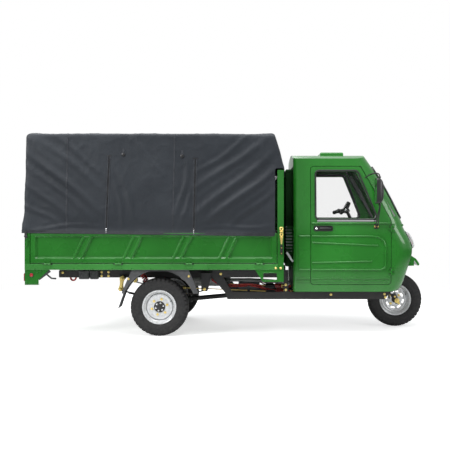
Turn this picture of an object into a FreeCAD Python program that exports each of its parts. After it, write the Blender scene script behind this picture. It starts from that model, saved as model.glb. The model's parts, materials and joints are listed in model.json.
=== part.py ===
import FreeCAD, Part
import math
import os

# Cargo auto rickshaw: a closed cab over one steered front wheel, and a dropside load bed with a canopy
# over two rear wheels. Millimetres. X points forward, Y to the left, Z up, and the tyres stand on Z = 0.

# Wheels and stance
tyre_radius = 282.0
tyre_width = 145.0
tyre_sidewall_rise = 50.0
tyre_sidewall_radius = 24.0
tyre_shoulder_drop = 12.0
tread_half_width = 67.0
rim_radius = 165.0
rim_width = 112.0
rim_flange = 14.0
rim_lip = 6.0
rim_seat_radius = 4.0
rim_well_depth = 32.0
rim_well_inner = 25.0
rim_well_outer = 31.0
rim_bend_radius = 8.0
rim_sheet = 5.0
rim_slot_radius = 9.0
rim_slot_circle = 106.0
disc_face = 8.0
disc_flat_radius = 74.0
disc_dish = 26.0
disc_dish_radius = 90.0
disc_edge_width = 14.0
disc_edge_face = 4.0
brake_drum_radius = 104.0
tread_groove_depth = 7.0
tread_groove_outer = 32.5
tread_groove_inner = 13.0
tread_groove_slope = 6.0
hub_radius = 52.0
hub_barrel_radius = 42.0
hub_cap_radius = 30.0
hub_cap_reach = 34.0
hub_inner_gap = 6.0
drum_inner_gap = 18.0
axle_stub_radius = 20.0
front_axle_x = 1708.0
rear_axle_x = -690.0
rear_wheel_y = 600.0
shaft_clearance = 0.3

# Steering
head_angle = 26.0
fork_offset = 43.0
fork_leg_y = 118.0
fork_leg_radius = 24.0
fork_clamp_reach = 303.0
fork_clamp_height = 27.0
fork_clamp_overhang = 34.0
fork_clamp_flat = 40.0
fork_clamp_corner = 14.0
fork_clamp_taper = 0.45
fork_foot_drop = 30.0
fork_cover_start = 110.0
fork_cover_wall = 7.0
axle_nut_length = 10.0
column_radius = 17.0
head_tube_radius = 36.0
head_tube_reach = 400.0
head_tube_length = 160.0
head_beam_size = 50.0
head_beam_set_back = 20.0
head_gusset_half = 20.0
handlebar_reach = 1040.0
handlebar_half_width = 320.0
handlebar_radius = 12.5
handlebar_rise = 45.0
handlebar_pullback = 95.0
handlebar_sweep = 60.0
handlebar_straight_half = 70.0
handlebar_clamp_height = 30.0
handlebar_clamp_wall = 14.0
grip_length = 125.0
grip_wall = 5.0

# Chassis rails
rail_y = 350.0
rail_width = 50.0
rail_height = 73.0
rail_low_z = 324.0
rail_high_z = 543.0
rail_front_x = 1590.0
rail_rear_x = -1735.0
high_rail_front_x = 570.0
rail_post_length = 45.0
kick_top_x = -205.0
kick_top_length = 110.0
kick_low_x = -45.0
kick_low_length = 55.0
rail_front_rake = 45.0
hanger_lap = 20.0
hanger_reach = 34.0
hanger_boss = 30.0
hanger_boss_drop = 22.0
hanger_front_reach = 70.0
hanger_plate = 6.0
hanger_web_height = 30.0
shackle_ear_length = 60.0
spring_pin_radius = 9.0
spring_side_gap = 3.0
crossmember_width = 50.0
crossmember_step = 8.0
low_crossmember_x = 1290.0
shaft_crossmember_x = 560.0
shaft_crossmember_height = 24.0
kick_crossmember_x = -60.0
kick_crossmember_z = 440.0
high_crossmember_xs = (440.0, -300.0, -1160.0, -1690.0)

tow_eye_radius = 20.0
tow_eye_thickness = 14.0
tow_eye_wall = 16.0

# Load bed
bed_rear_x = -1968.0
bed_front_x = 511.0
bed_half_width = 728.0
bed_bottom_z = 648.0
sill_height = 58.0
sill_width = 44.0
sill_edge_radius = 5.0
floor_thickness = 8.0
floor_sill_lap = 4.0
floor_groove_margin = 80.0
floor_groove_count = 9
floor_groove_width = 30.0
floor_groove_depth = 4.0
bearer_width = 50.0
bearer_count = 8
bearer_margin = 60.0
bearer_foot_half = 30.0
post_length = 49.0
post_width = 40.0
board_gap = 6.0
post_front_depth = 60.0
board_thickness = 28.0
board_top_z = 1000.0
board_rail_top = 28.0
board_rail_bottom = 45.0
board_rail_side = 45.0
board_recess_depth = 16.0
rib_count = 4
rib_width = 112.0
rib_lean = 100.0
rib_crest = 1.5
rib_edge_width = 18.0
rib_groove_depth = 6.0
rib_groove_end = 16.0
board_hinge_length = 60.0
board_hinge_plate = 5.0
board_hinge_down = 46.0
board_hinge_up = 54.0
side_hinge_count = 4
side_hinge_margin = 165.0
rear_hinge_count = 3
rear_hinge_margin = 150.0
hinge_pin_radius = 4.0
hinge_barrel_radius = 8.0
hinge_clearance = 0.3
hinge_stand_off = 9.0
headboard_top_z = 1605.0
headboard_bar_count = 7
headboard_bar_margin = 120.0
headboard_bar_size = 20.0
headboard_post_width = 48.0
headboard_rail_height = 50.0
headboard_rail_inset = 10.0
headboard_panel_inset = 20.0
corner_plate_thickness = 4.0
corner_plate_set_in = 6.0
corner_plate_bottom_z = 508.0
corner_plate_step_z = 556.0
corner_plate_length = 132.0
corner_plate_gusset = 231.0
corner_flange_width = 84.0
corner_foot_width = 54.0
post_head = 4.0
front_plate_drop = 115.0
front_plate_length = 275.0
front_plate_foot_length = 200.0
front_slot_low_z = 552.0
front_slot_high_z = 618.0
front_slot_margin = 66.0
front_slot_length = 129.0
latch_width = 24.0
latch_height = 95.0
latch_drop = 130.0
latch_plate = 4.0
latch_inset = 22.0

# Canopy
canopy_top_z = 1968.0
canopy_rear_x = -1990.0
canopy_front_x = 425.0
canopy_rear_lean = 22.0
canopy_wall = 6.0
canopy_hem_gap = 8.0
canopy_edge_radius = 60.0
canopy_front_radius = 26.0
canopy_side_lean = 5.0
canopy_crown_radius = 900.0
canopy_crown = 12.0
canopy_flap_drop = 75.0
canopy_flap_lift = 35.0
canopy_flap_radius = 30.0
hoop_tube = 25.0
hoop_count = 5
hoop_margin = 60.0
roof_frame_drop = 14.0
roof_bar_ys = (-420.0, 0.0, 420.0)
canopy_clearance = 2.0
canopy_seat = 0.3
canopy_foot_half = 30.0
canopy_foot_lap = 10.0
canopy_foot_thickness = 5.0

# Rear suspension
spring_y = 430.0
spring_width = 50.0
leaf_thickness = 8.0
leaf_count = 5
leaf_step = 0.19
spring_clip_width = 16.0
spring_clip_half_pitch = 30.0
spring_clip_side = 5.0
spring_clip_head = 14.0
spring_front_x = -268.0
spring_rear_x = -1104.0
spring_eye_z = 435.0
spring_eye_radius = 18.0
axle_tube_radius = 40.0
differential_radius = 125.0
differential_half = 110.0
differential_face_half = 45.0
differential_neck_wall = 14.0
pinion_nose_length = 150.0
pinion_nose_wide = 80.0
pinion_nose_narrow = 42.0
back_plate_radius = 100.0
back_plate_thickness = 6.0
prop_shaft_radius = 24.0
prop_joint_radius = 38.0
spring_pad_half_length = 45.0
spring_pad_half_width = 28.0
spring_pad_lift = 6.0
shackle_height = 105.0
shackle_lean = 14.0
shackle_link_half = 17.0
shackle_side_gap = 1.0
shock_radius = 26.0
shock_y = 488.0
shock_rod_radius = 14.0
shock_coil_ribs = 7
shock_coil_wire = 7.0
shock_foot_offset = 45.0
shock_lug_half = 12.0

# Mudguards
arch_radius = 360.0
mudguard_thickness = 5.0
fender_inner_y = 520.0
fender_outer_y = 702.0
front_arch_half_width = 258.0
beak_tip_x = 1960.0
beak_root_x = 1820.0
beak_half_width = 150.0
beak_tip_half_width = 95.0
beak_height = 128.0
beak_wall = 20.0
flap_width = 170.0
flap_thickness = 6.0
flap_lean = 60.0
flap_top_z = 445.0
flap_bottom_z = 275.0
skirt_bottom_z = 417.0
skirt_rear_reach = 360.0
skirt_front_reach = 385.0
skirt_top_reach = 273.0

# Cab shell
cab_rear_x = 611.0
cab_bottom_z = 422.0
cab_roof_z = 1790.0
cab_roof_edge_z = 1722.0
cab_belt_z = 1088.0
cab_wall = 30.0
cab_bow = 75.0
cab_corner_radius = 170.0
cab_rear_radius = 42.0
panel_gap = 5.0
floor_pan = 20.0
cab_lower_stations = (
    (422.0, 572.0, 1696.0),
    (520.0, 587.0, 1757.0),
    (667.0, 597.0, 1803.0),
    (790.0, 600.0, 1838.0),
    (950.0, 602.0, 1806.0),
    (1088.0, 601.0, 1742.0),
)
cab_upper_stations = (
    (1088.0, 601.0, 1742.0),
    (1426.0, 577.0, 1575.0),
    (1655.0, 556.0, 1437.0),
    (1850.0, 536.0, 1300.0),
)

# Door, seen from the side
door_rear_x = 781.0
door_front_x = 1561.0
door_bottom_z = 495.0
door_top_z = 1648.0
door_top_front_x = 1268.0
door_belt_z = 1125.0
door_corner_radius = 30.0
door_belt_radius = 60.0
door_hinge_zs = (620.0, 1040.0)
door_hinge_y = 614.0
door_hinge_length = 60.0
door_hinge_leaf = 30.0
door_hinge_leaf_depth = 26.0
window_rear_x = 836.0
window_bottom_z = 1140.0
window_top_z = 1598.0
window_top_front_x = 1230.0
window_bottom_front_x = 1424.0
window_corner_radius = 28.0
glass_thickness = 5.0
glass_setback = 9.0
glass_gap = 0.3

# Windscreen, rear window and lamps
screen_bottom_z = 1150.0
screen_top_z = 1640.0
screen_bottom_half = 485.0
screen_top_half = 430.0
screen_corner_radius = 60.0
rear_window_half = 380.0
rear_window_bottom_z = 1180.0
rear_window_top_z = 1560.0
rear_window_radius = 40.0
headlamp_y = 405.0
headlamp_z = 925.0
headlamp_width = 200.0
headlamp_height = 165.0
headlamp_stand_out = 10.0
headlamp_depth = 25.0
headlamp_radius = 30.0
roof_vent_length = 240.0
roof_vent_width = 320.0
roof_vent_height = 30.0
roof_vent_x = 1029.0
roof_vent_edge = 14.0

# Pressed panels on the doors and rear quarters, and the air intake behind the cab
pressing_depth = 6.0
pressing_rear_x = 662.0
pressing_front_x = 1517.0
pressing_bottom_z = 627.0
pressing_top_z = 978.0
pressing_top_radius = 110.0
pressing_bottom_radius = 46.0
intake_depth = 60.0
intake_width = 80.0
intake_side_y = -495.0
intake_bottom_z = 776.0
intake_top_z = 1063.0
intake_rib_count = 9
intake_rib_depth = 6.0
intake_rib_share = 0.5

# Mirrors and door handles
mirror_y = 705.0
mirror_rear_x = 1395.0
mirror_depth = 75.0
mirror_half_width = 65.0
mirror_bottom_z = 1279.0
mirror_top_z = 1529.0
mirror_edge = 22.0
mirror_tube_radius = 7.0
mirror_bracket_width = 45.0
mirror_bracket_z = 1040.0
door_top_half = 572.0
door_belt_half = 602.0
handle_rear_x = 812.0
handle_front_x = 990.0
handle_bottom_z = 1020.0
handle_height = 44.0
handle_stand_out = 20.0
handle_edge = 9.0

# Lamps at the rear
tail_lamp_depth = 20.0
tail_lamp_width = 170.0
tail_lamp_bottom_z = 530.0
tail_lamp_height = 90.0
tail_lamp_edge = 8.0
reflector_radius = 20.0
reflector_thickness = 5.0
reflector_x = -1904.0
reflector_z = 599.0

# Cab interior
seat_front_x = 1090.0
seat_base_z = 745.0
seat_half_width = 400.0
seat_box_half_width = 420.0
cushion_thickness = 105.0
backrest_height = 520.0
backrest_thickness = 95.0
interior_gap = 0.3
seat_box_wall = 4.0
seat_box_set_back = 40.0
cushion_edge = 25.0
cushion_rear_gap = 60.0
backrest_lean = 60.0
dashboard_lift = 20.0
dashboard_edge = 25.0
dashboard_gap = 1.0
dashboard_rear_x = 1440.0
dashboard_bottom_z = 900.0

# Engine block
engine_length = 340.0
gearbox_centre_height = 55.0
engine_half_width = 170.0
engine_bottom_z = 330.0
engine_top_z = 640.0
engine_rear_x = 690.0
engine_sump_drop = 60.0
engine_sump_share = 0.7
engine_mount_height = 30.0
engine_mount_length = 60.0
gearbox_radius = 50.0
gearbox_length = 40.0

V = FreeCAD.Vector
along_x = V(1, 0, 0)
along_y = V(0, 1, 0)
along_z = V(0, 0, 1)
big = 4000.0


def box(x0, x1, y0, y1, z0, z1):
    """A block between two corners."""
    return Part.makeBox(x1 - x0, y1 - y0, z1 - z0, V(x0, y0, z0))


def fuse(shapes):
    """One solid from touching or overlapping ones."""
    whole = shapes[0]
    for shape in shapes[1:]:
        whole = whole.fuse(shape)
    return whole.removeSplitter() if len(shapes) > 1 else whole


def cut(shape, tools):
    for tool in tools:
        shape = shape.cut(tool)
    return shape


def mirrored(shape):
    """The same shape on the other side of the vehicle."""
    return shape.mirror(V(0, 0, 0), along_y)


def both(shape):
    return [shape, mirrored(shape)]


def xz(a, b):
    return V(a, 0, b)


def yz(a, b):
    return V(0, a, b)


def xy(a, b):
    return V(a, b, 0)


def outline(corners, place):
    """A closed wire through corners (a, b, radius), each corner rounded by a tangent arc."""
    points = [place(c[0], c[1]) for c in corners]
    count = len(points)
    edges = []
    ends = []
    for i, corner in enumerate(corners):
        here = points[i]
        back = (points[i - 1] - here).normalize()
        ahead = (points[(i + 1) % count] - here).normalize()
        radius = corner[2] if len(corner) > 2 else 0.0
        if radius <= 0:
            ends.append((here, here, None))
            continue
        half = back.getAngle(ahead) / 2
        reach = radius / math.tan(half)
        middle = here + (back + ahead).normalize() * (radius / math.sin(half) - radius)
        ends.append((here + back * reach, here + ahead * reach, middle))
    for i in range(count):
        start, stop, middle = ends[i]
        if middle is not None:
            edges.append(Part.Arc(start, middle, stop).toShape())
        following = ends[(i + 1) % count][0]
        if stop.distanceToPoint(following) > 1e-6:
            edges.append(Part.LineSegment(stop, following).toShape())
    return Part.Wire(edges)


def side_prism(corners, y0, y1):
    """An outline in the side view, extruded across the vehicle."""
    face = Part.Face(outline(corners, xz))
    face.translate(V(0, y0, 0))
    return face.extrude(V(0, y1 - y0, 0))


def front_prism(corners, x0, x1):
    """An outline in the front view, extruded along the vehicle."""
    face = Part.Face(outline(corners, yz))
    face.translate(V(x0, 0, 0))
    return face.extrude(V(x1 - x0, 0, 0))


def plan_prism(corners, z0, z1):
    """An outline in the top view, extruded upwards."""
    face = Part.Face(outline(corners, xy))
    face.translate(V(0, 0, z0))
    return face.extrude(V(0, 0, z1 - z0))


def cylinder(base, direction, length, radius):
    return Part.makeCylinder(radius, length, base, direction)


def rod(points, radius):
    """A round bar along straight runs, with a ball at each bend."""
    pieces = []
    for start, stop in zip(points, points[1:]):
        run = stop - start
        pieces.append(cylinder(start, run, run.Length, radius))
    pieces += [Part.makeSphere(radius, p) for p in points[1:-1]]
    return fuse(pieces)


def turned(profile, centre, axis_at_y):
    """A solid of revolution about a line across the vehicle. The profile holds (y offset, radius, corner)."""
    wire = outline(profile, lambda a, b: V(0, a, b))
    solid = Part.Face(wire).revolve(V(0, 0, 0), along_y, 360)
    solid.translate(V(centre[0], axis_at_y, centre[1]))
    return solid


def hinge(length):
    """A hinge about the Z axis: its fixed barrels with their pin, its moving barrel and the bore for that."""
    third = length / 3
    barrel = third - hinge_clearance
    fixed = [cylinder(V(0, 0, -length / 2), along_z, length, hinge_pin_radius)]
    for z in (-length / 2, length / 2 - barrel):
        fixed.append(cylinder(V(0, 0, z), along_z, barrel, hinge_barrel_radius))
    moving = cylinder(V(0, 0, -barrel / 2), along_z, barrel, hinge_barrel_radius)
    bore = cylinder(V(0, 0, -length / 2), along_z, length, hinge_pin_radius + hinge_clearance)
    return fuse(fixed), moving, bore


# Wheels

wheel_z = tyre_radius


def make_tyre(x, y):
    """A block-shouldered tyre with two tread grooves, its beads seated on the rim."""
    half = tyre_width / 2
    bead = rim_radius - rim_flange + interior_gap
    seat = rim_width / 2 - interior_gap
    groove = tyre_radius - tread_groove_depth
    left_half = [
        (-seat, bead, rim_seat_radius + 1),
        (-seat, rim_radius + 1, 0),
        (-half, bead + tyre_sidewall_rise, tyre_sidewall_radius),
        (-tread_half_width, tyre_radius - tyre_shoulder_drop, tyre_shoulder_drop),
        (-tread_groove_outer, tyre_radius, 0),
        (-tread_groove_outer + tread_groove_slope, groove, 0),
        (-tread_groove_inner - tread_groove_slope, groove, 0),
        (-tread_groove_inner, tyre_radius, 0),
    ]
    right_half = [(-a, r, corner) for a, r, corner in reversed(left_half)]
    return turned(left_half + right_half, (x, wheel_z), y)


def rim_barrel():
    """The rim's section: two flanges, two bead seats and the drop well between them."""
    half = rim_width / 2
    lip = half + rim_lip
    seat = rim_radius - rim_flange
    under = seat - rim_sheet
    well = rim_radius - rim_well_depth
    bend = rim_bend_radius
    return [
        (-lip, rim_radius, 0),
        (-half, rim_radius, 0),
        (-half, seat, rim_seat_radius),
        (-rim_well_outer, well, bend),
        (rim_well_inner, well, bend),
        (half, seat, rim_seat_radius),
        (half, rim_radius, 0),
        (lip, rim_radius, 0),
        (lip, under, rim_lip),
        (rim_well_inner, well - rim_sheet, bend),
        (-rim_well_outer, well - rim_sheet, bend),
        (-lip, under, rim_lip),
    ]


def rim_disc(outward):
    """The dished disc's section, from the hub to the drop well."""
    bore = axle_stub_radius + shaft_clearance
    edge = rim_radius - rim_well_depth - rim_sheet / 2
    bend = rim_bend_radius

    def face(turn):
        return [
            (disc_face, bore, 0),
            (disc_face, disc_flat_radius, bend),
            (disc_dish, disc_dish_radius, bend),
            (disc_dish, turn, bend),
            (disc_edge_face, edge, 0),
        ]
    front = [(outward * a, r, corner) for a, r, corner in face(edge - disc_edge_width)]
    back = [(outward * (a - rim_sheet), r, corner) for a, r, corner in face(edge - disc_edge_width - 2)]
    return front + back[::-1]


def make_rim(x, y, outward, slot_count, drum):
    """A pressed steel disc wheel. Outward is the sign of the side that shows."""
    half = rim_width / 2
    bore = axle_stub_radius + shaft_clearance
    inner = -outward * (half - (drum_inner_gap if drum else hub_inner_gap))
    hub = [
        (inner, bore, 0),
        (inner, hub_barrel_radius, 0),
        (outward * disc_face, hub_barrel_radius, 0),
        (outward * hub_cap_reach, hub_cap_radius, rim_lip),
        (outward * hub_cap_reach, bore, 0),
    ]
    sections = [rim_barrel(), rim_disc(outward), hub]
    if drum:
        face = outward * (disc_edge_face - rim_sheet)
        low = hub_barrel_radius - rim_sheet
        drum_section = [(inner, low, 0), (inner, brake_drum_radius, rim_lip)]
        sections.append(drum_section + [(face, brake_drum_radius, rim_lip), (face, low, 0)])
    body = fuse([turned(section, (x, wheel_z), y) for section in sections])
    for i in range(slot_count):
        angle = 2 * math.pi * (i + 0.5) / slot_count
        across = V(rim_slot_circle * math.cos(angle), -half, rim_slot_circle * math.sin(angle))
        body = body.cut(cylinder(V(x, y, wheel_z) + across, along_y, rim_width, rim_slot_radius))
    return body


# Steering, laid out on the axis of the head tube

head_tilt = math.radians(head_angle)
axis_up = V(-math.sin(head_tilt), 0, math.cos(head_tilt))
axis_ahead = V(math.cos(head_tilt), 0, math.sin(head_tilt))
steer_centre = V(front_axle_x, 0, wheel_z) - axis_ahead * fork_offset


def on_axis(reach, ahead=0.0, y=0.0):
    """A point a reach up the steering axis from beside the wheel's centre."""
    return steer_centre + axis_up * reach + axis_ahead * ahead + V(0, y, 0)


def along_axis(base_reach, length, radius, ahead=0.0, y=0.0):
    return cylinder(on_axis(base_reach, ahead, y), axis_up, length, radius)


def clamp_plate(reach, thickness, half_width, ahead_of, behind):
    """A flat plate square to the steering axis, narrower at its rear."""
    r = fork_clamp_corner
    narrow = half_width * fork_clamp_taper
    flat_x = ahead_of - fork_clamp_flat
    left_half = [(-behind, narrow, r), (flat_x, half_width, r), (ahead_of, half_width, r)]
    right_half = [(x, -y, corner) for x, y, corner in left_half]
    plate = plan_prism(right_half + left_half[::-1], 0, thickness)
    plate.rotate(V(0, 0, 0), along_y, -head_angle)
    plate.translate(on_axis(reach))
    return plate


def make_fork():
    """Two telescopic legs with spring covers, the wheel axle between them and the clamp above the tyre."""
    over = fork_clamp_overhang
    pieces = [clamp_plate(fork_clamp_reach, fork_clamp_height, fork_leg_y + over, fork_offset + over, over)]
    for side in (-1, 1):
        y = side * fork_leg_y
        leg_length = fork_clamp_reach + fork_foot_drop
        pieces.append(along_axis(-fork_foot_drop, leg_length, fork_leg_radius, fork_offset, y))
        cover_length = fork_clamp_reach - fork_cover_start
        cover_radius = fork_leg_radius + fork_cover_wall
        pieces.append(along_axis(fork_cover_start, cover_length, cover_radius, fork_offset, y))
    axle_half = fork_leg_y + fork_leg_radius + axle_nut_length
    axle = cylinder(V(front_axle_x, -axle_half, wheel_z), along_y, 2 * axle_half, axle_stub_radius)
    pieces.append(axle)
    pieces.append(along_axis(fork_clamp_reach, handlebar_reach - fork_clamp_reach, column_radius))
    return fuse(pieces)


def make_handlebar():
    """A bar with two grips on a clamp at the head of the column."""
    top = handlebar_reach
    low = top + column_radius - 3
    high = top + handlebar_rise
    bend_y = handlebar_half_width - grip_length
    left_half = [
        on_axis(low, 0, handlebar_straight_half),
        on_axis(high, -handlebar_sweep, bend_y),
        on_axis(high, -handlebar_pullback, handlebar_half_width),
    ]
    right_half = [V(p.x, -p.y, p.z) for p in reversed(left_half)]
    pieces = [rod(right_half + left_half, handlebar_radius)]
    for outer, inner in ((right_half[0], right_half[1]), (left_half[-1], left_half[-2])):
        pieces.append(cylinder(outer, inner - outer, grip_length, handlebar_radius + grip_wall))
    pieces.append(along_axis(top, handlebar_clamp_height, column_radius + handlebar_clamp_wall))
    return fuse(pieces)


# Chassis

def make_rail(inner, outer):
    """One side of the frame: a high rail under the bed, a low one ahead, the kick between them and a post."""
    low = rail_low_z
    low_top = low + rail_height
    high = rail_high_z
    high_top = high + rail_height
    lap = 10
    high_rail = box(rail_rear_x, high_rail_front_x, inner, outer, high, high_top)
    low_rail = side_prism(
        [
            (kick_low_x, low, 0),
            (rail_front_x - rail_front_rake, low, 0),
            (rail_front_x, low_top, 0),
            (kick_low_x, low_top, 0),
        ],
        inner,
        outer,
    )
    kick = side_prism(
        [
            (kick_top_x, high + lap, 0),
            (kick_top_x + kick_top_length, high + lap, 0),
            (kick_low_x + kick_low_length, low_top - lap, 0),
            (kick_low_x, low + lap, 0),
            (kick_low_x - kick_low_length / 2, low_top, 60),
        ],
        inner,
        outer,
    )
    post = box(high_rail_front_x - rail_post_length, high_rail_front_x, inner, outer, low_top, high)
    return fuse([high_rail, low_rail, kick, post])


def shackle_pin_place():
    """Where the shackle hangs from the rail, in the side view."""
    return (spring_rear_x + shackle_lean, spring_eye_z + shackle_height)


def make_frame_rails():
    """Two kicked-up box rails, each with the brackets that hold its spring."""
    inner = rail_y - rail_width / 2
    outer = rail_y + rail_width / 2
    rail = make_rail(inner, outer)
    lap_z = rail_high_z + rail_height - hanger_lap
    boss_z = spring_eye_z - hanger_boss_drop
    hanger_corners = [
        (spring_front_x - hanger_reach, lap_z, 0),
        (spring_front_x + hanger_front_reach, lap_z, 0),
        (spring_front_x + hanger_boss, boss_z, 14),
        (spring_front_x - hanger_boss, boss_z, 14),
    ]
    ear_gap = spring_width / 2 + spring_side_gap
    far_side = spring_y + ear_gap + hanger_plate
    near_ear = side_prism(hanger_corners, outer, spring_y - ear_gap)
    far_ear = side_prism(hanger_corners, spring_y + ear_gap, far_side)
    web_start = spring_front_x - hanger_reach
    web_stop = spring_front_x + hanger_front_reach - hanger_plate - spring_side_gap
    web = box(web_start, web_stop, outer, far_side, lap_z - hanger_web_height, lap_z)
    pin_length = far_side + hanger_plate - outer
    pin = cylinder(V(spring_front_x, outer, spring_eye_z), along_y, pin_length, spring_pin_radius)
    foot_x = kick_low_x + 5
    brace = side_prism(
        [
            (foot_x, rail_low_z + 12, 0),
            (foot_x, rail_low_z + 42, 0),
            (spring_front_x, spring_eye_z - shackle_ear_length, 0),
            (spring_front_x - hanger_boss, boss_z, 0),
            (spring_front_x + hanger_boss, boss_z, 0),
        ],
        outer - 2 * hanger_plate,
        outer,
    )
    pin_x, pin_z = shackle_pin_place()
    rear_ear = side_prism(
        [
            (spring_rear_x - hanger_boss, rail_high_z + hanger_lap, 0),
            (spring_rear_x + shackle_ear_length, rail_high_z + hanger_lap, 0),
            (pin_x + hanger_lap, pin_z - 14, 10),
            (pin_x - hanger_lap, pin_z - 14, 10),
        ],
        outer,
        spring_y - ear_gap - hanger_plate - 2,
    )
    shackle_pin = cylinder(V(pin_x, outer, pin_z), along_y, far_side + 8 - outer, spring_pin_radius)
    return both(fuse([rail, web, pin, brace, rear_ear, shackle_pin, near_ear, far_ear]))


def make_crossmembers():
    """Box crossmembers between the rails, the one under the propeller shaft shallow."""
    inner = rail_y - rail_width / 2
    half = crossmember_width / 2
    step = crossmember_step
    height = rail_height - 2 * step
    places = [(low_crossmember_x, rail_low_z + step, height)]
    places.append((kick_crossmember_x, kick_crossmember_z, height))
    places.append((shaft_crossmember_x, rail_low_z, shaft_crossmember_height))
    places += [(x, rail_high_z + step, height) for x in high_crossmember_xs]
    return [box(x - half, x + half, -inner, inner, low, low + tall) for x, low, tall in places]


def head_beam_box():
    """The cross-beam behind the head tube: its X range and Z range."""
    mid = on_axis(head_tube_reach + head_tube_length / 2)
    front = mid.x - head_beam_set_back
    half = head_beam_size / 2
    return (front - head_beam_size, front, mid.z - half, mid.z + half)


def make_steering_head():
    """The head tube on a cross-beam, joined to it by a gusset."""
    x0, x1, z0, z1 = head_beam_box()
    outer = rail_y + rail_width / 2
    tube = along_axis(head_tube_reach, head_tube_length, head_tube_radius)
    beam = box(x0, x1, -outer, outer, z0, z1)
    gusset_stop = x1 + 2 * head_gusset_half
    gusset = box(x1 - head_gusset_half / 2, gusset_stop, -head_gusset_half, head_gusset_half, z0, z1)
    head = fuse([tube, beam, gusset])
    bore_reach = head_tube_reach - head_beam_size
    bore_length = head_tube_length + 2 * head_beam_size
    return head.cut(along_axis(bore_reach, bore_length, column_radius + shaft_clearance))


def make_head_struts():
    """The two struts that carry the cross-beam over the wheel arch, on the rails."""
    x0, x1, z0, z1 = head_beam_box()
    inner = rail_y - rail_width / 2
    strut = box(x0, x1, inner, inner + rail_width, rail_low_z + rail_height, z0)
    return both(strut)


def make_engine():
    """The engine and gearbox under the seat, as one block on the low crossmembers."""
    x0 = engine_rear_x
    x1 = x0 + engine_length
    split_z = engine_bottom_z + engine_sump_drop
    block = box(x0, x1, -engine_half_width, engine_half_width, split_z, engine_top_z)
    sump_half = engine_half_width * engine_sump_share
    sump = side_prism(
        [
            (x0 - 20, split_z, 0),
            (x0 + 30, engine_bottom_z, 20),
            (x1 - 80, engine_bottom_z, 20),
            (x1, split_z, 0),
        ],
        -sump_half,
        sump_half,
    )
    gearbox_start = V(x0 - gearbox_length + 10, 0, engine_bottom_z + gearbox_centre_height)
    gearbox = cylinder(gearbox_start, along_x, gearbox_length, gearbox_radius)
    mount_half = rail_y - rail_width / 2
    mount_z = rail_low_z + 20
    mounts = []
    for start in (x0 + engine_mount_length, x1 - 2 * engine_mount_length):
        stop = start + engine_mount_length
        mounts.append(box(start, stop, -mount_half, mount_half, mount_z, mount_z + engine_mount_height))
    return fuse([block, sump, gearbox] + mounts)


def make_rear_axle():
    """The axle tube with its differential, brake back plates and propeller shaft."""
    tube_half = rear_wheel_y - rim_width / 2 - 8
    tube = cylinder(V(rear_axle_x, -tube_half, wheel_z), along_y, 2 * tube_half, axle_tube_radius)
    neck = axle_tube_radius + differential_neck_wall
    half = differential_half
    flat = differential_face_half
    left_half = [(flat, differential_radius, 30), (half, neck, 20), (half, 0, 0)]
    right_half = [(-a, r, corner) for a, r, corner in reversed(left_half)]
    case = turned(right_half + left_half, (rear_axle_x, wheel_z), 0)
    nose_start = V(rear_axle_x + shock_foot_offset + 15, 0, wheel_z)
    nose = Part.makeCone(pinion_nose_wide, pinion_nose_narrow, pinion_nose_length, nose_start, along_x)
    pieces = [tube, case, nose]
    stub_end = rear_wheel_y + 30
    plate = cylinder(V(rear_axle_x, tube_half - back_plate_thickness, wheel_z), along_y,
                     back_plate_thickness, back_plate_radius)
    stub = cylinder(V(rear_axle_x, tube_half, wheel_z), along_y, stub_end - tube_half, axle_stub_radius)
    pad = box(rear_axle_x - spring_pad_half_length, rear_axle_x + spring_pad_half_length,
              spring_y - spring_pad_half_width, spring_y + spring_pad_half_width, wheel_z, spring_bottom_z())
    for piece in (plate, stub, pad):
        pieces += both(piece)
    shaft_start = nose_start + along_x * (pinion_nose_length - 5)
    shaft_stop = V(engine_rear_x - 34, 0, engine_bottom_z + gearbox_centre_height)
    run = shaft_stop - shaft_start
    pieces.append(cylinder(shaft_start, run, run.Length, prop_shaft_radius))
    pieces.append(cylinder(shaft_start - run.normalize() * 10, run, 60, prop_joint_radius))
    return fuse(pieces)


def spring_bottom_z():
    return wheel_z + axle_tube_radius + spring_pad_lift


def make_leaf_spring():
    """A stack of curved leaves over the axle, the top one rolled into an eye at each end."""
    half_width = spring_width / 2
    top_mid = spring_bottom_z() + leaf_count * leaf_thickness
    half_span = (spring_front_x - spring_rear_x) / 2
    centre_x = (spring_front_x + spring_rear_x) / 2
    rise = spring_eye_z - spring_eye_radius + leaf_thickness - top_mid
    radius = (half_span ** 2 + rise ** 2) / (2 * rise)
    centre = V(centre_x, -half_width, top_mid + radius)
    pieces = []
    for i in range(leaf_count):
        reach = half_span * (1.0 - leaf_step * i)
        inner = radius + leaf_thickness * i
        ring = cylinder(centre, along_y, spring_width, inner + leaf_thickness)
        hole = cylinder(centre, along_y, spring_width, inner)
        slab = box(centre_x - reach, centre_x + reach, -half_width, half_width, 0, spring_eye_z)
        pieces.append(ring.cut(hole).common(slab))
    eye_xs = (spring_front_x, spring_rear_x)
    for x in eye_xs:
        pieces.append(cylinder(V(x, -half_width, spring_eye_z), along_y, spring_width, spring_eye_radius))
    clip_y = half_width + spring_clip_side
    for shift in (-spring_clip_half_pitch, spring_clip_half_pitch):
        clip_x = rear_axle_x + shift - spring_clip_width / 2
        clip_top = top_mid + spring_clip_head
        pieces.append(box(clip_x, clip_x + spring_clip_width, -clip_y, clip_y, spring_bottom_z(), clip_top))
    spring = fuse(pieces)
    bore = spring_pin_radius + shaft_clearance
    for x in eye_xs:
        spring = spring.cut(cylinder(V(x, -half_width, spring_eye_z), along_y, spring_width, bore))
    spring.translate(V(0, spring_y, 0))
    return spring


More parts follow.
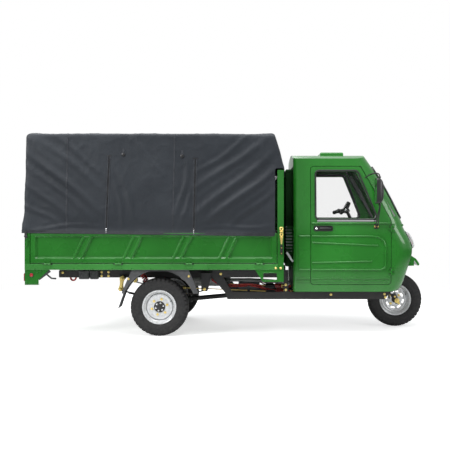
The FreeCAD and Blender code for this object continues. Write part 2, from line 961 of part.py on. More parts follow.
def make_shackle():
    """Two side links and the lower pin through the spring's rear eye."""
    low_x = spring_rear_x
    low_z = spring_eye_z
    high_x, high_z = shackle_pin_place()
    half = shackle_link_half
    ear_gap = spring_width / 2 + shackle_side_gap
    pieces = []
    for y in (spring_y - ear_gap - hanger_plate, spring_y + ear_gap):
        link = side_prism(
            [
                (low_x - half, low_z - half, 14),
                (low_x + half, low_z - half, 14),
                (high_x + half, high_z + half, 14),
                (high_x - half, high_z + half, 14),
            ],
            y,
            y + hanger_plate,
        )
        bore = cylinder(V(high_x, y, high_z), along_y, hanger_plate, spring_pin_radius + shaft_clearance)
        pieces.append(link.cut(bore))
    pin_half = ear_gap + 10
    pieces.append(cylinder(V(low_x, spring_y - pin_half, low_z), along_y, 2 * pin_half, spring_pin_radius))
    return fuse(pieces)


def bearer_places():
    return spread(bed_rear_x + sill_width, bed_front_x - post_front_depth, bearer_count, bearer_margin)


def make_shock():
    """A damper with its coil as a ribbed sleeve, from the axle tube up to a cross-bearer."""
    bearer_x = max(x for x in bearer_places() if x < rear_axle_x - 60)
    foot = V(rear_axle_x - shock_foot_offset, shock_y, wheel_z + axle_tube_radius + 14)
    head = V(bearer_x, shock_y, bed_bottom_z - 26)
    run = head - foot
    length = run.Length
    coil_start = 0.30 * length
    pitch = 0.60 * length / shock_coil_ribs
    rod_radius = shock_rod_radius
    corners = [(0, 0, 0), (rod_radius, 0, 0), (rod_radius, coil_start, 0)]
    for i in range(shock_coil_ribs):
        z = coil_start + pitch * i
        corners.append((shock_radius, z + 0.25 * pitch, 0))
        corners.append((shock_radius, z + 0.60 * pitch, 0))
        corners.append((shock_radius - shock_coil_wire, z + 0.95 * pitch, 0))
    coil_stop = coil_start + pitch * shock_coil_ribs
    corners += [(rod_radius + 1, coil_stop, 0), (rod_radius + 1, length, 0), (0, length, 0)]
    body = Part.Face(outline(corners, xz)).revolve(V(0, 0, 0), along_z, 360)
    body.Placement = FreeCAD.Placement(foot, FreeCAD.Rotation(along_z, run))
    half = shock_lug_half
    lug_low = box(foot.x - half, foot.x + 30, foot.y - half, foot.y + half, wheel_z + 20, foot.z + half)
    lug_low = lug_low.cut(cylinder(V(rear_axle_x, 0, wheel_z), along_y, big, axle_tube_radius))
    lug_high = box(head.x - 18, head.x + 18, head.y - half, head.y + half, head.z - half, bed_bottom_z)
    return fuse([body, lug_low, lug_high])


def make_rear_fender():
    """A plastic arch over the wheel with a flat skirt on its outer side."""
    x = rear_axle_x
    ceiling = bed_bottom_z - interior_gap
    outer = arch_radius + mudguard_thickness
    width = fender_outer_y - fender_inner_y
    ring = cylinder(V(x, fender_inner_y, wheel_z), along_y, width, outer)
    hole = cylinder(V(x, 0, wheel_z), along_y, big, arch_radius)
    strip = ring.common(box(x - outer, x + outer, 0, big, flap_top_z, ceiling))
    skirt = side_prism(
        [
            (x - skirt_top_reach + 15, ceiling, 0),
            (x - skirt_rear_reach, skirt_bottom_z, 12),
            (x - skirt_rear_reach + 60, skirt_bottom_z, 0),
            (x, wheel_z + arch_radius / 2, 0),
            (x + skirt_front_reach - 85, skirt_bottom_z, 0),
            (x + skirt_front_reach, skirt_bottom_z, 12),
            (x + skirt_top_reach + 15, ceiling, 0),
        ],
        fender_outer_y - mudguard_thickness,
        fender_outer_y,
    )
    return fuse([strip, skirt]).cut(hole)


def make_mud_flap():
    """The rubber flap that hangs behind the wheel from the arch's rear end."""
    outer = arch_radius + mudguard_thickness
    top_x = rear_axle_x - math.sqrt(outer ** 2 - (flap_top_z - wheel_z) ** 2) - interior_gap
    low_x = top_x - flap_lean
    return side_prism(
        [
            (top_x, flap_top_z, 0),
            (low_x, flap_bottom_z, 0),
            (low_x - flap_thickness, flap_bottom_z, 0),
            (top_x - flap_thickness, flap_top_z, 0),
        ],
        rear_wheel_y - flap_width / 2,
        rear_wheel_y + flap_width / 2,
    )


# Load bed

floor_z = bed_bottom_z + sill_height + floor_thickness - floor_sill_lap
board_bottom_z = bed_bottom_z + sill_height + board_gap
board_rear_x = bed_rear_x + post_length + board_gap
board_front_x = bed_front_x - post_front_depth - board_gap
hinge_axis_z = bed_bottom_z + sill_height
hinge_axis_y = bed_half_width + hinge_stand_off
hinge_axis_x = bed_rear_x - hinge_stand_off
tailgate_half_width = bed_half_width - post_width - board_gap


def spread(start, stop, count, margin):
    """Evenly spaced places between two ends."""
    first = start + margin
    step = (stop - start - 2 * margin) / (count - 1)
    return [first + step * i for i in range(count)]


side_hinge_xs = spread(board_rear_x, board_front_x, side_hinge_count, side_hinge_margin)
rear_hinge_ys = spread(-tailgate_half_width, tailgate_half_width, rear_hinge_count, rear_hinge_margin)


def placed_hinge(base, direction, outward):
    """A bed hinge along a direction, with a leaf down the sill and a leaf up the board."""
    fixed, moving, bore = hinge(board_hinge_length)
    half = board_hinge_length / 2
    sixth = board_hinge_length / 6
    inner = -hinge_stand_off
    face = inner + board_hinge_plate
    knuckle = hinge_barrel_radius + 1
    down = box(inner, face, -half, half, -board_hinge_down, -knuckle)
    low_web = box(inner, 0, -half, -sixth - hinge_clearance, -knuckle, -1)
    high_web = box(inner, 0, sixth + hinge_clearance, half, -knuckle, -1)
    up = box(inner, face, -half, half, knuckle, board_hinge_up)
    up_web = box(inner, 0, -sixth + 1, sixth - 1, 1, knuckle)
    for shape in (fixed, moving, bore):
        shape.rotate(V(0, 0, 0), along_x, 90)
    fixed = fuse([fixed, down, low_web, high_web])
    moving = fuse([moving, up, up_web]).cut(bore)
    angle = math.degrees(math.atan2(outward.y, outward.x))
    for shape in (fixed, moving):
        shape.rotate(V(0, 0, 0), along_z, angle)
        shape.translate(base)
    return fixed, moving


def sloped_block(low, high, low_y, high_y):
    """A block between two outlines in the side view, one at each depth."""
    wires = []
    for corners, y in ((low, low_y), (high, high_y)):
        wire = outline(corners, xz)
        wire.translate(V(0, y, 0))
        wires.append(wire)
    return Part.makeLoft(wires, True, True)


def pressed_board(length, height):
    """A dropside board standing on Z = 0, its outer face at Y = 0 and its body towards -Y, from X = 0."""
    board = box(0, length, -board_thickness, 0, 0, height)
    left = board_rail_side
    right = length - board_rail_side
    low = board_rail_bottom
    top = height - board_rail_top

    def recess_corners(inset):
        return [
            (left + inset, low + inset),
            (right - inset, low + inset),
            (right - inset, top - inset),
            (left + inset, top - inset),
        ]
    depth = board_recess_depth
    board = board.cut(sloped_block(recess_corners(0), recess_corners(depth), 0, -depth))
    return board, left, right, top


def slanted(centre, half, low, top, height, lean):
    """A slanting strip's outline across a board's recess, cut short at both ends."""
    rise = top - low

    def middle(z):
        return centre + lean * ((z - low) / rise - 0.5)
    z0 = low + height
    z1 = top - height
    return [
        (middle(z0) - half, z0),
        (middle(z0) + half, z0),
        (middle(z1) + half, z1),
        (middle(z1) - half, z1),
    ]


def ribbed(board, centres, top, lean):
    """A board with pressed stiffeners across its recess, each with a channel down its middle."""
    low = board_rail_bottom
    half = rib_width / 2
    slope = board_recess_depth * 0.8
    channel = half - slope - rib_edge_width
    ribs = []
    channels = []
    for centre in centres:
        foot = slanted(centre, half, low, top, 0, lean)
        crest = slanted(centre, half - slope, low, top, 0, lean)
        ribs.append(sloped_block(foot, crest, -board_recess_depth - 1, -rib_crest))
        end = rib_groove_end
        floor_y = -rib_crest - rib_groove_depth
        wide = slanted(centre, channel, low, top, end, lean)
        narrow = slanted(centre, channel - rib_groove_depth, low, top, end + rib_groove_depth, lean)
        channels.append(sloped_block(wide, narrow, -rib_crest, floor_y))
    return cut(fuse([board] + ribs), channels)


def make_side_board():
    """The left side board with its hinge leaves."""
    length = board_front_x - board_rear_x
    height = board_top_z - board_bottom_z
    board, left, right, top = pressed_board(length, height)
    step = (right - left) / (rib_count + 1)
    board = ribbed(board, [left + step * (i + 1) for i in range(rib_count)], top, rib_lean)
    board.translate(V(board_rear_x, bed_half_width, board_bottom_z))
    leaves = []
    for x in side_hinge_xs:
        leaves.append(placed_hinge(V(x, hinge_axis_y, hinge_axis_z), along_x, along_y)[1])
    return fuse([board] + leaves)


def make_tailgate():
    """The rear board with two upright stiffeners."""
    length = 2 * tailgate_half_width
    height = board_top_z - board_bottom_z
    board, left, right, top = pressed_board(length, height)
    step = (right - left) / 3
    board = ribbed(board, [left + step * (i + 1) for i in range(2)], top, 0.0)
    board.rotate(V(0, 0, 0), along_z, 90)
    board.translate(V(bed_rear_x, -tailgate_half_width, board_bottom_z))
    leaves = []
    for y in rear_hinge_ys:
        leaves.append(placed_hinge(V(hinge_axis_x, y, hinge_axis_z), along_y, V(-1, 0, 0))[1])
    return fuse([board] + leaves)


def make_bed_sills():
    """The two side sills and the rear sill under the boards, with the fixed hinge leaves."""
    sill_top = bed_bottom_z + sill_height
    inner = bed_half_width - sill_width
    front = bed_front_x - post_front_depth
    side = box(bed_rear_x + sill_width, front, inner, bed_half_width, bed_bottom_z, sill_top)
    outer_edges = [e for e in side.Edges if e.BoundBox.XLength > sill_width and e.BoundBox.YMin > inner + 1]
    side = side.makeFillet(sill_edge_radius, outer_edges)
    leaves = []
    for x in side_hinge_xs:
        leaves.append(placed_hinge(V(x, hinge_axis_y, hinge_axis_z), along_x, along_y)[0])
    side = fuse([side] + leaves)
    rear = box(bed_rear_x, bed_rear_x + sill_width, -bed_half_width, bed_half_width, bed_bottom_z, sill_top)
    leaves = []
    for y in rear_hinge_ys:
        leaves.append(placed_hinge(V(hinge_axis_x, y, hinge_axis_z), along_y, V(-1, 0, 0))[0])
    rear = fuse([rear] + leaves)
    return both(side) + [rear]


def make_bed_bearers():
    """Cross-bearers under the floor, each with two feet on the rails."""
    inner = bed_half_width - sill_width
    half = bearer_width / 2
    foot_y = (rail_y - bearer_foot_half, rail_y + bearer_foot_half)
    solids = []
    for x in bearer_places():
        pieces = [box(x - half, x + half, -inner, inner, bed_bottom_z, floor_z - floor_thickness)]
        if x - half > rail_rear_x and x + half < high_rail_front_x:
            foot = box(x - half, x + half, foot_y[0], foot_y[1], rail_high_z + rail_height, bed_bottom_z)
            pieces += both(foot)
        solids.append(fuse(pieces))
    return solids


def make_bed_floor():
    """The grooved floor sheet, notched at its edges for the canopy legs' feet."""
    inner = bed_half_width - sill_width
    x0 = bed_rear_x + sill_width
    x1 = bed_front_x - post_front_depth
    margin = floor_groove_margin
    sheet = box(x0, x1, -inner, inner, floor_z - floor_thickness, floor_z)
    groove_z = floor_z - floor_groove_depth
    tools = []
    for y in spread(-inner, inner, floor_groove_count, margin):
        low = y - floor_groove_width / 2
        tools.append(box(x0 + margin, x1 - margin, low, low + floor_groove_width, groove_z, big))
    notch_half = canopy_foot_half + interior_gap
    notch_y = canopy_leg_y() - hoop_tube / 2 - interior_gap
    for x in hoop_places():
        tools += both(box(x - notch_half, x + notch_half, notch_y, inner + 1, 0, big))
    return cut(sheet, tools)


def make_corner_post():
    """The left rear corner post with the plate and lamp bracket below it."""
    x0 = bed_rear_x
    outer = bed_half_width
    low = corner_plate_bottom_z
    sill_top = bed_bottom_z + sill_height
    post = box(x0, x0 + post_length, outer - post_width, outer, sill_top, board_top_z + post_head)
    face = outer - corner_plate_set_in
    sheet = corner_plate_thickness
    plate = side_prism(
        [
            (x0, bed_bottom_z, 0),
            (x0, low, 10),
            (x0 + corner_plate_length, low, 10),
            (x0 + corner_plate_length, corner_plate_step_z, 16),
            (x0 + corner_plate_gusset, bed_bottom_z, 0),
        ],
        face - sheet,
        face,
    )
    flange = box(x0, x0 + sheet, face - corner_flange_width, face, low, bed_bottom_z)
    foot = box(x0, x0 + corner_plate_length - 8, face - corner_foot_width, face, low - sheet, low)
    return [post, fuse([plate, flange, foot])]


def make_headboard():
    """The front frame of the bed: two tall posts, rails, upright bars and a flat lower panel."""
    x0 = bed_front_x - post_front_depth
    x1 = bed_front_x
    outer = bed_half_width
    inner = outer - headboard_post_width
    rail_x0 = x0 + headboard_rail_inset
    rail_x1 = x1 - headboard_rail_inset
    bar_x0 = x0 + headboard_panel_inset
    bar_x1 = bar_x0 + headboard_bar_size
    half = headboard_bar_size / 2
    top_rail_z = headboard_top_z - headboard_rail_height
    mid_rail_z = board_top_z - headboard_rail_height
    sill_top = bed_bottom_z + sill_height
    pieces = both(box(x0, x1, inner, outer, bed_bottom_z, headboard_top_z))
    pieces.append(box(rail_x0, rail_x1, -inner, inner, top_rail_z, headboard_top_z))
    pieces.append(box(rail_x0, rail_x1, -inner, inner, mid_rail_z, board_top_z))
    pieces.append(box(x0, x1, -inner, inner, bed_bottom_z, sill_top))
    pieces.append(box(bar_x0, bar_x1, -inner, inner, sill_top, mid_rail_z))
    for y in spread(-inner, inner, headboard_bar_count, headboard_bar_margin):
        pieces.append(box(bar_x0, bar_x1, y - half, y + half, board_top_z, top_rail_z))
    return fuse(pieces)


def make_front_bracket():
    """The slotted plate below the headboard's left post."""
    face = bed_half_width - corner_plate_set_in
    bottom = bed_bottom_z - front_plate_drop
    plate = side_prism(
        [
            (bed_front_x - front_plate_length, bed_bottom_z, 0),
            (bed_front_x - front_plate_foot_length, bottom, 12),
            (bed_front_x, bottom, 0),
            (bed_front_x, bed_bottom_z, 0),
        ],
        face - corner_plate_thickness,
        face,
    )
    slot_front = bed_front_x - front_slot_margin
    slot_rear = slot_front - front_slot_length
    slot = side_prism(
        [
            (slot_rear, front_slot_low_z, 6),
            (slot_front, front_slot_low_z, 6),
            (slot_front, front_slot_high_z, 6),
            (slot_rear, front_slot_high_z, 6),
        ],
        0,
        big,
    )
    return plate.cut(slot)


def make_latches():
    """A drop latch on each headboard post and each rear corner post."""
    face = bed_half_width
    front = face + latch_plate
    low = board_top_z - latch_drop
    half = latch_width / 2
    solids = []
    for x in (bed_front_x - latch_inset, bed_rear_x + latch_inset + 2):
        body = box(x - half, x + half, face, front, low, low + latch_height)
        knob = cylinder(V(x, front, low + 75), along_y, 7, 9)
        grip = box(x - 7, x + 7, front, front + 5, low + 5, low + 55)
        solids += both(fuse([body, knob, grip]))
    return solids


def canopy_profile(inset):
    """The canopy's side view, drawn in from its skin by an inset."""
    hem = board_top_z + canopy_hem_gap
    rear = canopy_rear_x + inset
    top = canopy_top_z - inset
    front = bed_front_x - post_front_depth - canopy_clearance - inset
    seat = headboard_top_z + canopy_seat
    below = hem - 10
    corners = [(rear, below if inset else hem, 0)]
    corners.append((rear + canopy_rear_lean, top, canopy_edge_radius - inset))
    corners.append((canopy_front_x - inset, top, canopy_front_radius - inset))
    if inset:
        over = seat + canopy_wall
        return corners + [(bed_front_x - 2, over, 0), (front, over, 0), (front, below, 0)]
    face = bed_front_x + canopy_seat
    flap = bed_front_x + canopy_wall
    flap_bottom = headboard_top_z - canopy_flap_drop
    return corners + [
        (flap, headboard_top_z + canopy_flap_lift, canopy_flap_radius),
        (flap, flap_bottom, 0),
        (face, flap_bottom, 0),
        (face, seat, 0),
        (front, seat, 0),
        (front, hem, 0),
    ]


def canopy_block(inset):
    """The space inside the canopy's skin, drawn in by an inset."""
    half = bed_half_width + canopy_clearance - inset
    along = side_prism(canopy_profile(inset), -half, half)
    top = canopy_top_z - inset
    edge = canopy_edge_radius - inset
    lean = canopy_side_lean
    across = front_prism(
        [
            (-half, bed_bottom_z, 0),
            (half, bed_bottom_z, 0),
            (half - lean, top - canopy_crown, edge),
            (0, top + 2, canopy_crown_radius),
            (-half + lean, top - canopy_crown, edge),
        ],
        -big,
        big,
    )
    return along.common(across)


def make_canopy():
    """The tarpaulin as a thin closed shell, open below, whose front flap hangs over the headboard."""
    return canopy_block(0.0).cut(canopy_block(canopy_wall))


def roof_frame_top():
    """The top of the roof's bows, under the canopy."""
    return canopy_top_z - canopy_wall - canopy_crown - canopy_clearance - roof_frame_drop


def make_canopy_roof_frame():
    """Bows across the roof joined by three lengthwise bars."""
    top = roof_frame_top()
    low = top - hoop_tube
    half_tube = hoop_tube / 2
    half = canopy_leg_y() + half_tube
    xs = hoop_places()
    pieces = [box(x - half_tube, x + half_tube, -half, half, low, top) for x in xs]
    for y in roof_bar_ys:
        pieces.append(box(xs[0] - half_tube, xs[-1] + half_tube, y - half_tube, y + half_tube, low, top))
    return fuse(pieces)


def hoop_places():
    return spread(bed_rear_x + sill_width, bed_front_x - post_front_depth, hoop_count, hoop_margin)


def canopy_leg_y():
    return bed_half_width - board_thickness - board_gap - hoop_tube


def make_canopy_legs():
    """Upright tubes inside the side boards, on feet that lie on the sills."""
    top = roof_frame_top() - hoop_tube
    sill_top = bed_bottom_z + sill_height
    y = canopy_leg_y()
    half = hoop_tube / 2
    foot_outer = bed_half_width - sill_width + canopy_foot_lap
    foot_top = sill_top + canopy_foot_thickness
    legs = []
    for x in hoop_places():
        leg = box(x - half, x + half, y - half, y + half, sill_top, top)
        foot = box(x - canopy_foot_half, x + canopy_foot_half, y - half, foot_outer, sill_top, foot_top)
        legs += both(fuse([leg, foot]))
    return legs


# Cab

roof_seam_z = door_top_z + panel_gap


def cab_section(z, half_width, front_x, inset):
    """The cab's outline in plan at one height, drawn in by an inset."""
    half = half_width - inset
    front = front_x - inset
    rear = cab_rear_x + inset
    corner = cab_corner_radius - inset
    rear_corner = max(cab_rear_radius - inset, 8.0)
    radius = (half_width ** 2 + cab_bow ** 2) / (2 * cab_bow) - inset
    bow_x = front - radius
    corner_x = bow_x + math.sqrt((radius - corner) ** 2 - (half - corner) ** 2)
    aim = V(corner_x - bow_x, half - corner, 0).normalize()
    bow_end = V(bow_x, 0, 0) + aim * radius
    turn = (aim + V(0, 1, 0)).normalize()
    corner_mid = V(corner_x, half - corner, 0) + turn * corner
    diagonal = rear_corner * (1 - math.sqrt(0.5))

    def low(point):
        return V(point.x, -point.y, 0)
    left_front = V(corner_x, half, 0)
    left_rear = V(rear + rear_corner, half, 0)
    rear_mid = V(rear + diagonal, half - diagonal, 0)
    rear_left = V(rear, half - rear_corner, 0)
    edges = [
        Part.LineSegment(low(left_rear), low(left_front)),
        Part.Arc(low(left_front), low(corner_mid), low(bow_end)),
        Part.Arc(low(bow_end), V(front, 0, 0), bow_end),
        Part.Arc(bow_end, corner_mid, left_front),
        Part.LineSegment(left_front, left_rear),
        Part.Arc(left_rear, rear_mid, rear_left),
        Part.LineSegment(rear_left, low(rear_left)),
        Part.Arc(low(rear_left), low(rear_mid), low(left_rear)),
    ]
    wire = Part.Wire([e.toShape() for e in edges])
    wire.translate(V(0, 0, z))
    return wire


def cab_body(inset):
    """The whole cab as one solid, drawn in by an inset from its outer skin."""
    lower = Part.makeLoft([cab_section(z, w, f, inset) for z, w, f in cab_lower_stations], True, False)
    upper = Part.makeLoft([cab_section(z, w, f, inset) for z, w, f in cab_upper_stations], True, False)
    body = lower.fuse(upper)
    roof = cab_roof_z - inset
    edge = cab_roof_edge_z - inset
    half = cab_lower_stations[0][1]
    arc = Part.Arc(V(-1000, -half, edge), V(-1000, 0, roof), V(-1000, half, edge)).toShape()
    sides = Part.makePolygon(
        [V(-1000, half, edge), V(-1000, 700, edge - 80), V(-1000, 700, 0), V(-1000, -700, 0),
         V(-1000, -700, edge - 80), V(-1000, -half, edge)]
    )
    crown = Part.Face(Part.Wire([arc] + sides.Edges)).extrude(V(4000, 0, 0))
    return body.common(crown)


def door_corners(grow):
    """The door's outline in the side view, grown outwards by an amount."""
    g = grow
    r = door_corner_radius + g
    return [
        (door_rear_x - g, door_bottom_z - g, r),
        (door_front_x + g, door_bottom_z - g, r),
        (door_front_x + g, door_belt_z, door_belt_radius),
        (door_top_front_x + g * 1.2, door_top_z + g, r),
        (door_rear_x - g, door_top_z + g, r),
    ]


def window_corners(grow):
    g = grow
    r = window_corner_radius + g
    return [
        (window_rear_x - g, window_bottom_z - g, r),
        (window_bottom_front_x + g * 1.5, window_bottom_z - g, r),
        (window_top_front_x + g * 1.1, window_top_z + g, r),
        (window_rear_x - g, window_top_z + g, r),
    ]


def screen_corners(grow):
    g = grow
    r = screen_corner_radius
    return [
        (-screen_bottom_half - g, screen_bottom_z - g, r),
        (screen_bottom_half + g, screen_bottom_z - g, r),
        (screen_top_half + g, screen_top_z + g, r),
        (-screen_top_half - g, screen_top_z + g, r),
    ]


def rear_window_corners(grow):
    half = rear_window_half + grow
    low = rear_window_bottom_z - grow
    high = rear_window_top_z + grow
    r = rear_window_radius
    return [(-half, low, r), (half, low, r), (half, high, r), (-half, high, r)]


def headlamp_corners(grow):
    """The headlamp's outline from ahead: a slanting lens, lower and wider towards the side."""
    y = headlamp_y
    z = headlamp_z
    half = headlamp_width / 2 + grow
    tall = headlamp_height / 2 + grow
    r = headlamp_radius
    return [
        (y - half, z - tall * 0.75, r),
        (y + half * 0.8, z - tall, r),
        (y + half, z + tall, r),
        (y - half * 0.8, z + tall * 0.85, r),
    ]


def wheel_well(radius, half_width):
    """The space over the front wheel, open below and ahead of the axle."""
    drum = cylinder(V(front_axle_x, -half_width, wheel_z), along_y, 2 * half_width, radius)
    ahead = box(front_axle_x, front_axle_x + 500, -half_width, half_width, 0, wheel_z + radius)
    below = box(front_axle_x - radius, front_axle_x, -half_width, half_width, 0, wheel_z)
    return fuse([drum, ahead, below])


def door_hinges():
    """The left door's hinges: the body's half and the door's half."""
    fixed_parts = []
    moving_parts = []
    half = door_hinge_length / 2
    sixth = door_hinge_length / 6
    leaf = door_hinge_leaf
    depth = door_hinge_leaf_depth
    for z in door_hinge_zs:
        fixed, moving, bore = hinge(door_hinge_length)
        low_leaf = box(0, leaf, -depth, -2, -half, -sixth - hinge_clearance)
        high_leaf = box(0, leaf, -depth, -2, sixth + hinge_clearance, half)
        moving_leaf = box(-leaf, 0, -depth, -2, -sixth + 1, sixth - 1)
        fixed = fuse([fixed, low_leaf, high_leaf])
        moving = fuse([moving, moving_leaf]).cut(bore)
        for shape, parts in ((fixed, fixed_parts), (moving, moving_parts)):
            shape.translate(V(door_front_x + panel_gap / 2, door_hinge_y, z))
            parts.append(shape)
    return fixed_parts, moving_parts


def pressed_skin():
    """The cab's outer body, with the raised panels on its sides."""
    corners = [
        (pressing_rear_x, pressing_bottom_z, 0),
        (pressing_front_x, pressing_bottom_z, pressing_bottom_radius),
        (pressing_front_x, pressing_top_z, pressing_top_radius),
        (pressing_rear_x, pressing_top_z, 0),
    ]
    panel = cab_body(-pressing_depth).common(side_opening(corners))
    return fuse([cab_body(0.0)] + both(panel))


def side_opening(corners):
    """A cutting block through the left side of the cab only."""
    return side_prism(corners, rail_y - rail_width, bed_half_width)


def make_door(shell, glass_zone):
    """The left door with its hinge leaves, and its window glass."""
    door = shell.common(side_opening(door_corners(0))).cut(side_opening(window_corners(0)))
    glass = glass_zone.common(side_opening(window_corners(-glass_gap)))
    return fuse([door] + door_hinges()[1]), glass


def make_roof_vent(inside):
    """The low box on the roof that lets air out of the cab."""
    half_length = roof_vent_length / 2
    half_width = roof_vent_width / 2
    x = roof_vent_x
    top = cab_roof_z + roof_vent_height
    vent = box(x - half_length, x + half_length, -half_width, half_width, cab_roof_edge_z, top)
    vent = vent.makeFillet(roof_vent_edge, [e for e in vent.Edges if e.BoundBox.ZMin > cab_roof_z])
    return vent.cut(inside)


def make_air_intake():
    """The ribbed duct up the cab's rear wall, beside the load bed."""
    rear = cab_rear_x - intake_depth
    far_y = intake_side_y + intake_width
    pieces = [box(rear, cab_rear_x, intake_side_y, far_y, intake_bottom_z, intake_top_z)]
    pitch = (intake_top_z - intake_bottom_z) / intake_rib_count
    for i in range(intake_rib_count):
        low = intake_bottom_z + pitch * (i + 0.5 - intake_rib_share / 2)
        high = low + pitch * intake_rib_share
        out = intake_rib_depth
        pieces.append(box(rear - out, cab_rear_x, intake_side_y - out, far_y + out, low, high))
    return fuse(pieces)


def make_floor_pan(well):
    """The floor of the cab, round the wheel's well and the struts of the steering head."""
    space = cab_body(cab_wall + interior_gap)
    pan = space.common(box(0, big, -big / 2, big / 2, cab_bottom_z, cab_bottom_z + floor_pan)).cut(well)
    x0, x1, z0, z1 = head_beam_box()
    gap = interior_gap
    inner = rail_y - rail_width / 2 - gap
    outer = rail_y + rail_width / 2 + gap
    return cut(pan, both(box(x0 - gap, x1 + gap, inner, outer, 0, z0)))


def make_cab():
    """The cab's panels and glass, cut from one body shell. Returns a dict of node names and solids."""
    inside = cab_body(cab_wall)
    well_gap = mudguard_thickness + interior_gap
    well = wheel_well(arch_radius + well_gap, front_arch_half_width + well_gap)
    shell = pressed_skin().cut(inside).cut(well)
    glass_zone = cab_body(glass_setback).cut(cab_body(glass_setback + glass_thickness))
    door, door_glass = make_door(shell, glass_zone)
    fixed_hinges = door_hinges()[0]

    nose_x = cab_lower_stations[0][2] / 2
    far = big / 2
    screen_hole = front_prism(screen_corners(0), nose_x, big)
    windscreen = glass_zone.common(front_prism(screen_corners(-glass_gap), nose_x, big))
    rear_hole = front_prism(rear_window_corners(0), 0, nose_x)
    rear_glass_x = cab_rear_x + glass_setback
    rear_glass = front_prism(rear_window_corners(-glass_gap), rear_glass_x, rear_glass_x + glass_thickness)
    lamp_holes = both(front_prism(headlamp_corners(0), nose_x, big))
    door_holes = both(side_opening(door_corners(panel_gap)))
    shell = cut(shell, [screen_hole, rear_hole] + lamp_holes + door_holes)
    lamp_zone = cab_body(-headlamp_stand_out).cut(cab_body(headlamp_depth))
    headlamp = lamp_zone.common(front_prism(headlamp_corners(-glass_gap), nose_x, big))

    roof_zone = box(0, big, -far, far, roof_seam_z, big)
    pillar_x = door_front_x + panel_gap
    front_line = [
        (pillar_x, 0, 0),
        (pillar_x, door_belt_z, 0),
        (door_top_front_x + panel_gap * 1.2, roof_seam_z, 0),
        (big, roof_seam_z, 0),
        (big, 0, 0),
    ]
    front_zone = side_prism(front_line, -far, far)
    back_half = cab_lower_stations[0][1] - cab_wall - cab_rear_radius
    back_zone = box(0, cab_rear_x + cab_wall, -back_half, back_half, 0, roof_seam_z)
    sides = cut(shell, [roof_zone, front_zone, back_zone])
    left_side = max((s for s in sides.Solids if s.CenterOfMass.y > 0), key=lambda s: s.Volume)
    return {
        "inside": inside,
        "well": well,
        "roof": fuse([shell.common(roof_zone), make_roof_vent(inside)]),
        "front": fuse([shell.common(front_zone)] + fixed_hinges + [mirrored(s) for s in fixed_hinges]),
        "back": fuse([shell.common(back_zone), make_air_intake()]),
        "side": left_side,
        "door": door,
        "door_glass": door_glass,
        "windscreen": windscreen,
        "rear_glass": rear_glass,
        "headlamp": headlamp,
    }


def make_wheel_arch():
    """The liner over the front wheel inside the cab, with a hole for the steering column."""
    outer = wheel_well(arch_radius + mudguard_thickness, front_arch_half_width + mudguard_thickness)
    liner = outer.cut(wheel_well(arch_radius, front_arch_half_width))
    space = cab_body(cab_wall + interior_gap).common(box(0, big, -big / 2, big / 2, cab_bottom_z, big))
    return liner.common(space).cut(along_axis(0, handlebar_reach, head_tube_radius + 8))


def make_cab_floor(cab):
    """The floor pan with the seat box over the engine."""
    half = seat_box_half_width
    rear = cab_rear_x + cab_wall + interior_gap
    front = seat_front_x - seat_box_set_back
    wall = seat_box_wall
    seat_box = box(rear, front, -half, half, cab_bottom_z + floor_pan, seat_base_z)
    hollow = box(rear + wall, front - wall, -half + wall, half - wall, 0, seat_base_z - wall)
    return fuse([make_floor_pan(cab["well"]), seat_box]).cut(hollow)


def make_seat():
    """The seat cushion and the leaning backrest."""
    half = seat_half_width
    rear = cab_rear_x + cab_wall + cushion_rear_gap + 20
    top = seat_base_z + cushion_thickness
    cushion = box(rear, seat_front_x, -half, half, seat_base_z, top)
    cushion = cushion.makeFillet(cushion_edge, cushion.Edges)
    base = top + interior_gap
    back_x = rear + 2
    lean = backrest_lean
    back = side_prism(
        [
            (back_x, base, 20),
            (back_x + backrest_thickness, base, 30),
            (back_x + backrest_thickness - lean, base + backrest_height, 30),
            (back_x - lean, base + backrest_height, 20),
        ],
        -half,
        half,
    )
    return [cushion, back]


def make_dashboard():
    """The dashboard shelf behind the windscreen."""
    top = cab_belt_z + dashboard_lift
    r = dashboard_edge
    shelf = side_prism(
        [
            (dashboard_rear_x + 60, dashboard_bottom_z, 20),
            (big, dashboard_bottom_z, 0),
            (big, top, 0),
            (dashboard_rear_x + 30, top, r),
            (dashboard_rear_x, top - 2 * r, r),
        ],
        -big / 2,
        big / 2,
    )
    return shelf.common(cab_body(cab_wall + dashboard_gap))


def make_front_mudguard():
    """The beak over the front wheel, fixed to the nose."""
    low = wheel_z + arch_radius + 1
    tip = beak_tip_x
    root = beak_root_x
    hidden = front_axle_x - 8
    half = beak_half_width
    wall = beak_wall
    beak = side_prism(
        [
            (hidden, low, 0),
            (tip - 14, low, 0),
            (tip, low + 12, 8),
            (tip - 46, low + 72, 60),
            (root, low + beak_height, 30),
            (hidden, low + beak_height, 0),
        ],
        -half,
        half,
    )
    left_half = [(tip, beak_tip_half_width, 60), (root + 30, half, 40), (hidden, half, 0)]
    right_half = [(x, -y, r) for x, y, r in reversed(left_half)]
    solid = beak.common(plan_prism(right_half + left_half, 0, big))
    roof = low + beak_height - wall - 8
    hollow = side_prism(
        [
            (hidden - 100, low - 5, 0),
            (tip - 24, low - 5, 0),
            (tip - 60, low + 50, 40),
            (root, roof, 30),
            (hidden - 100, roof, 0),
        ],
        -half + wall,
        half - wall,
    )
    return solid.cut(hollow).cut(cab_body(0.0))


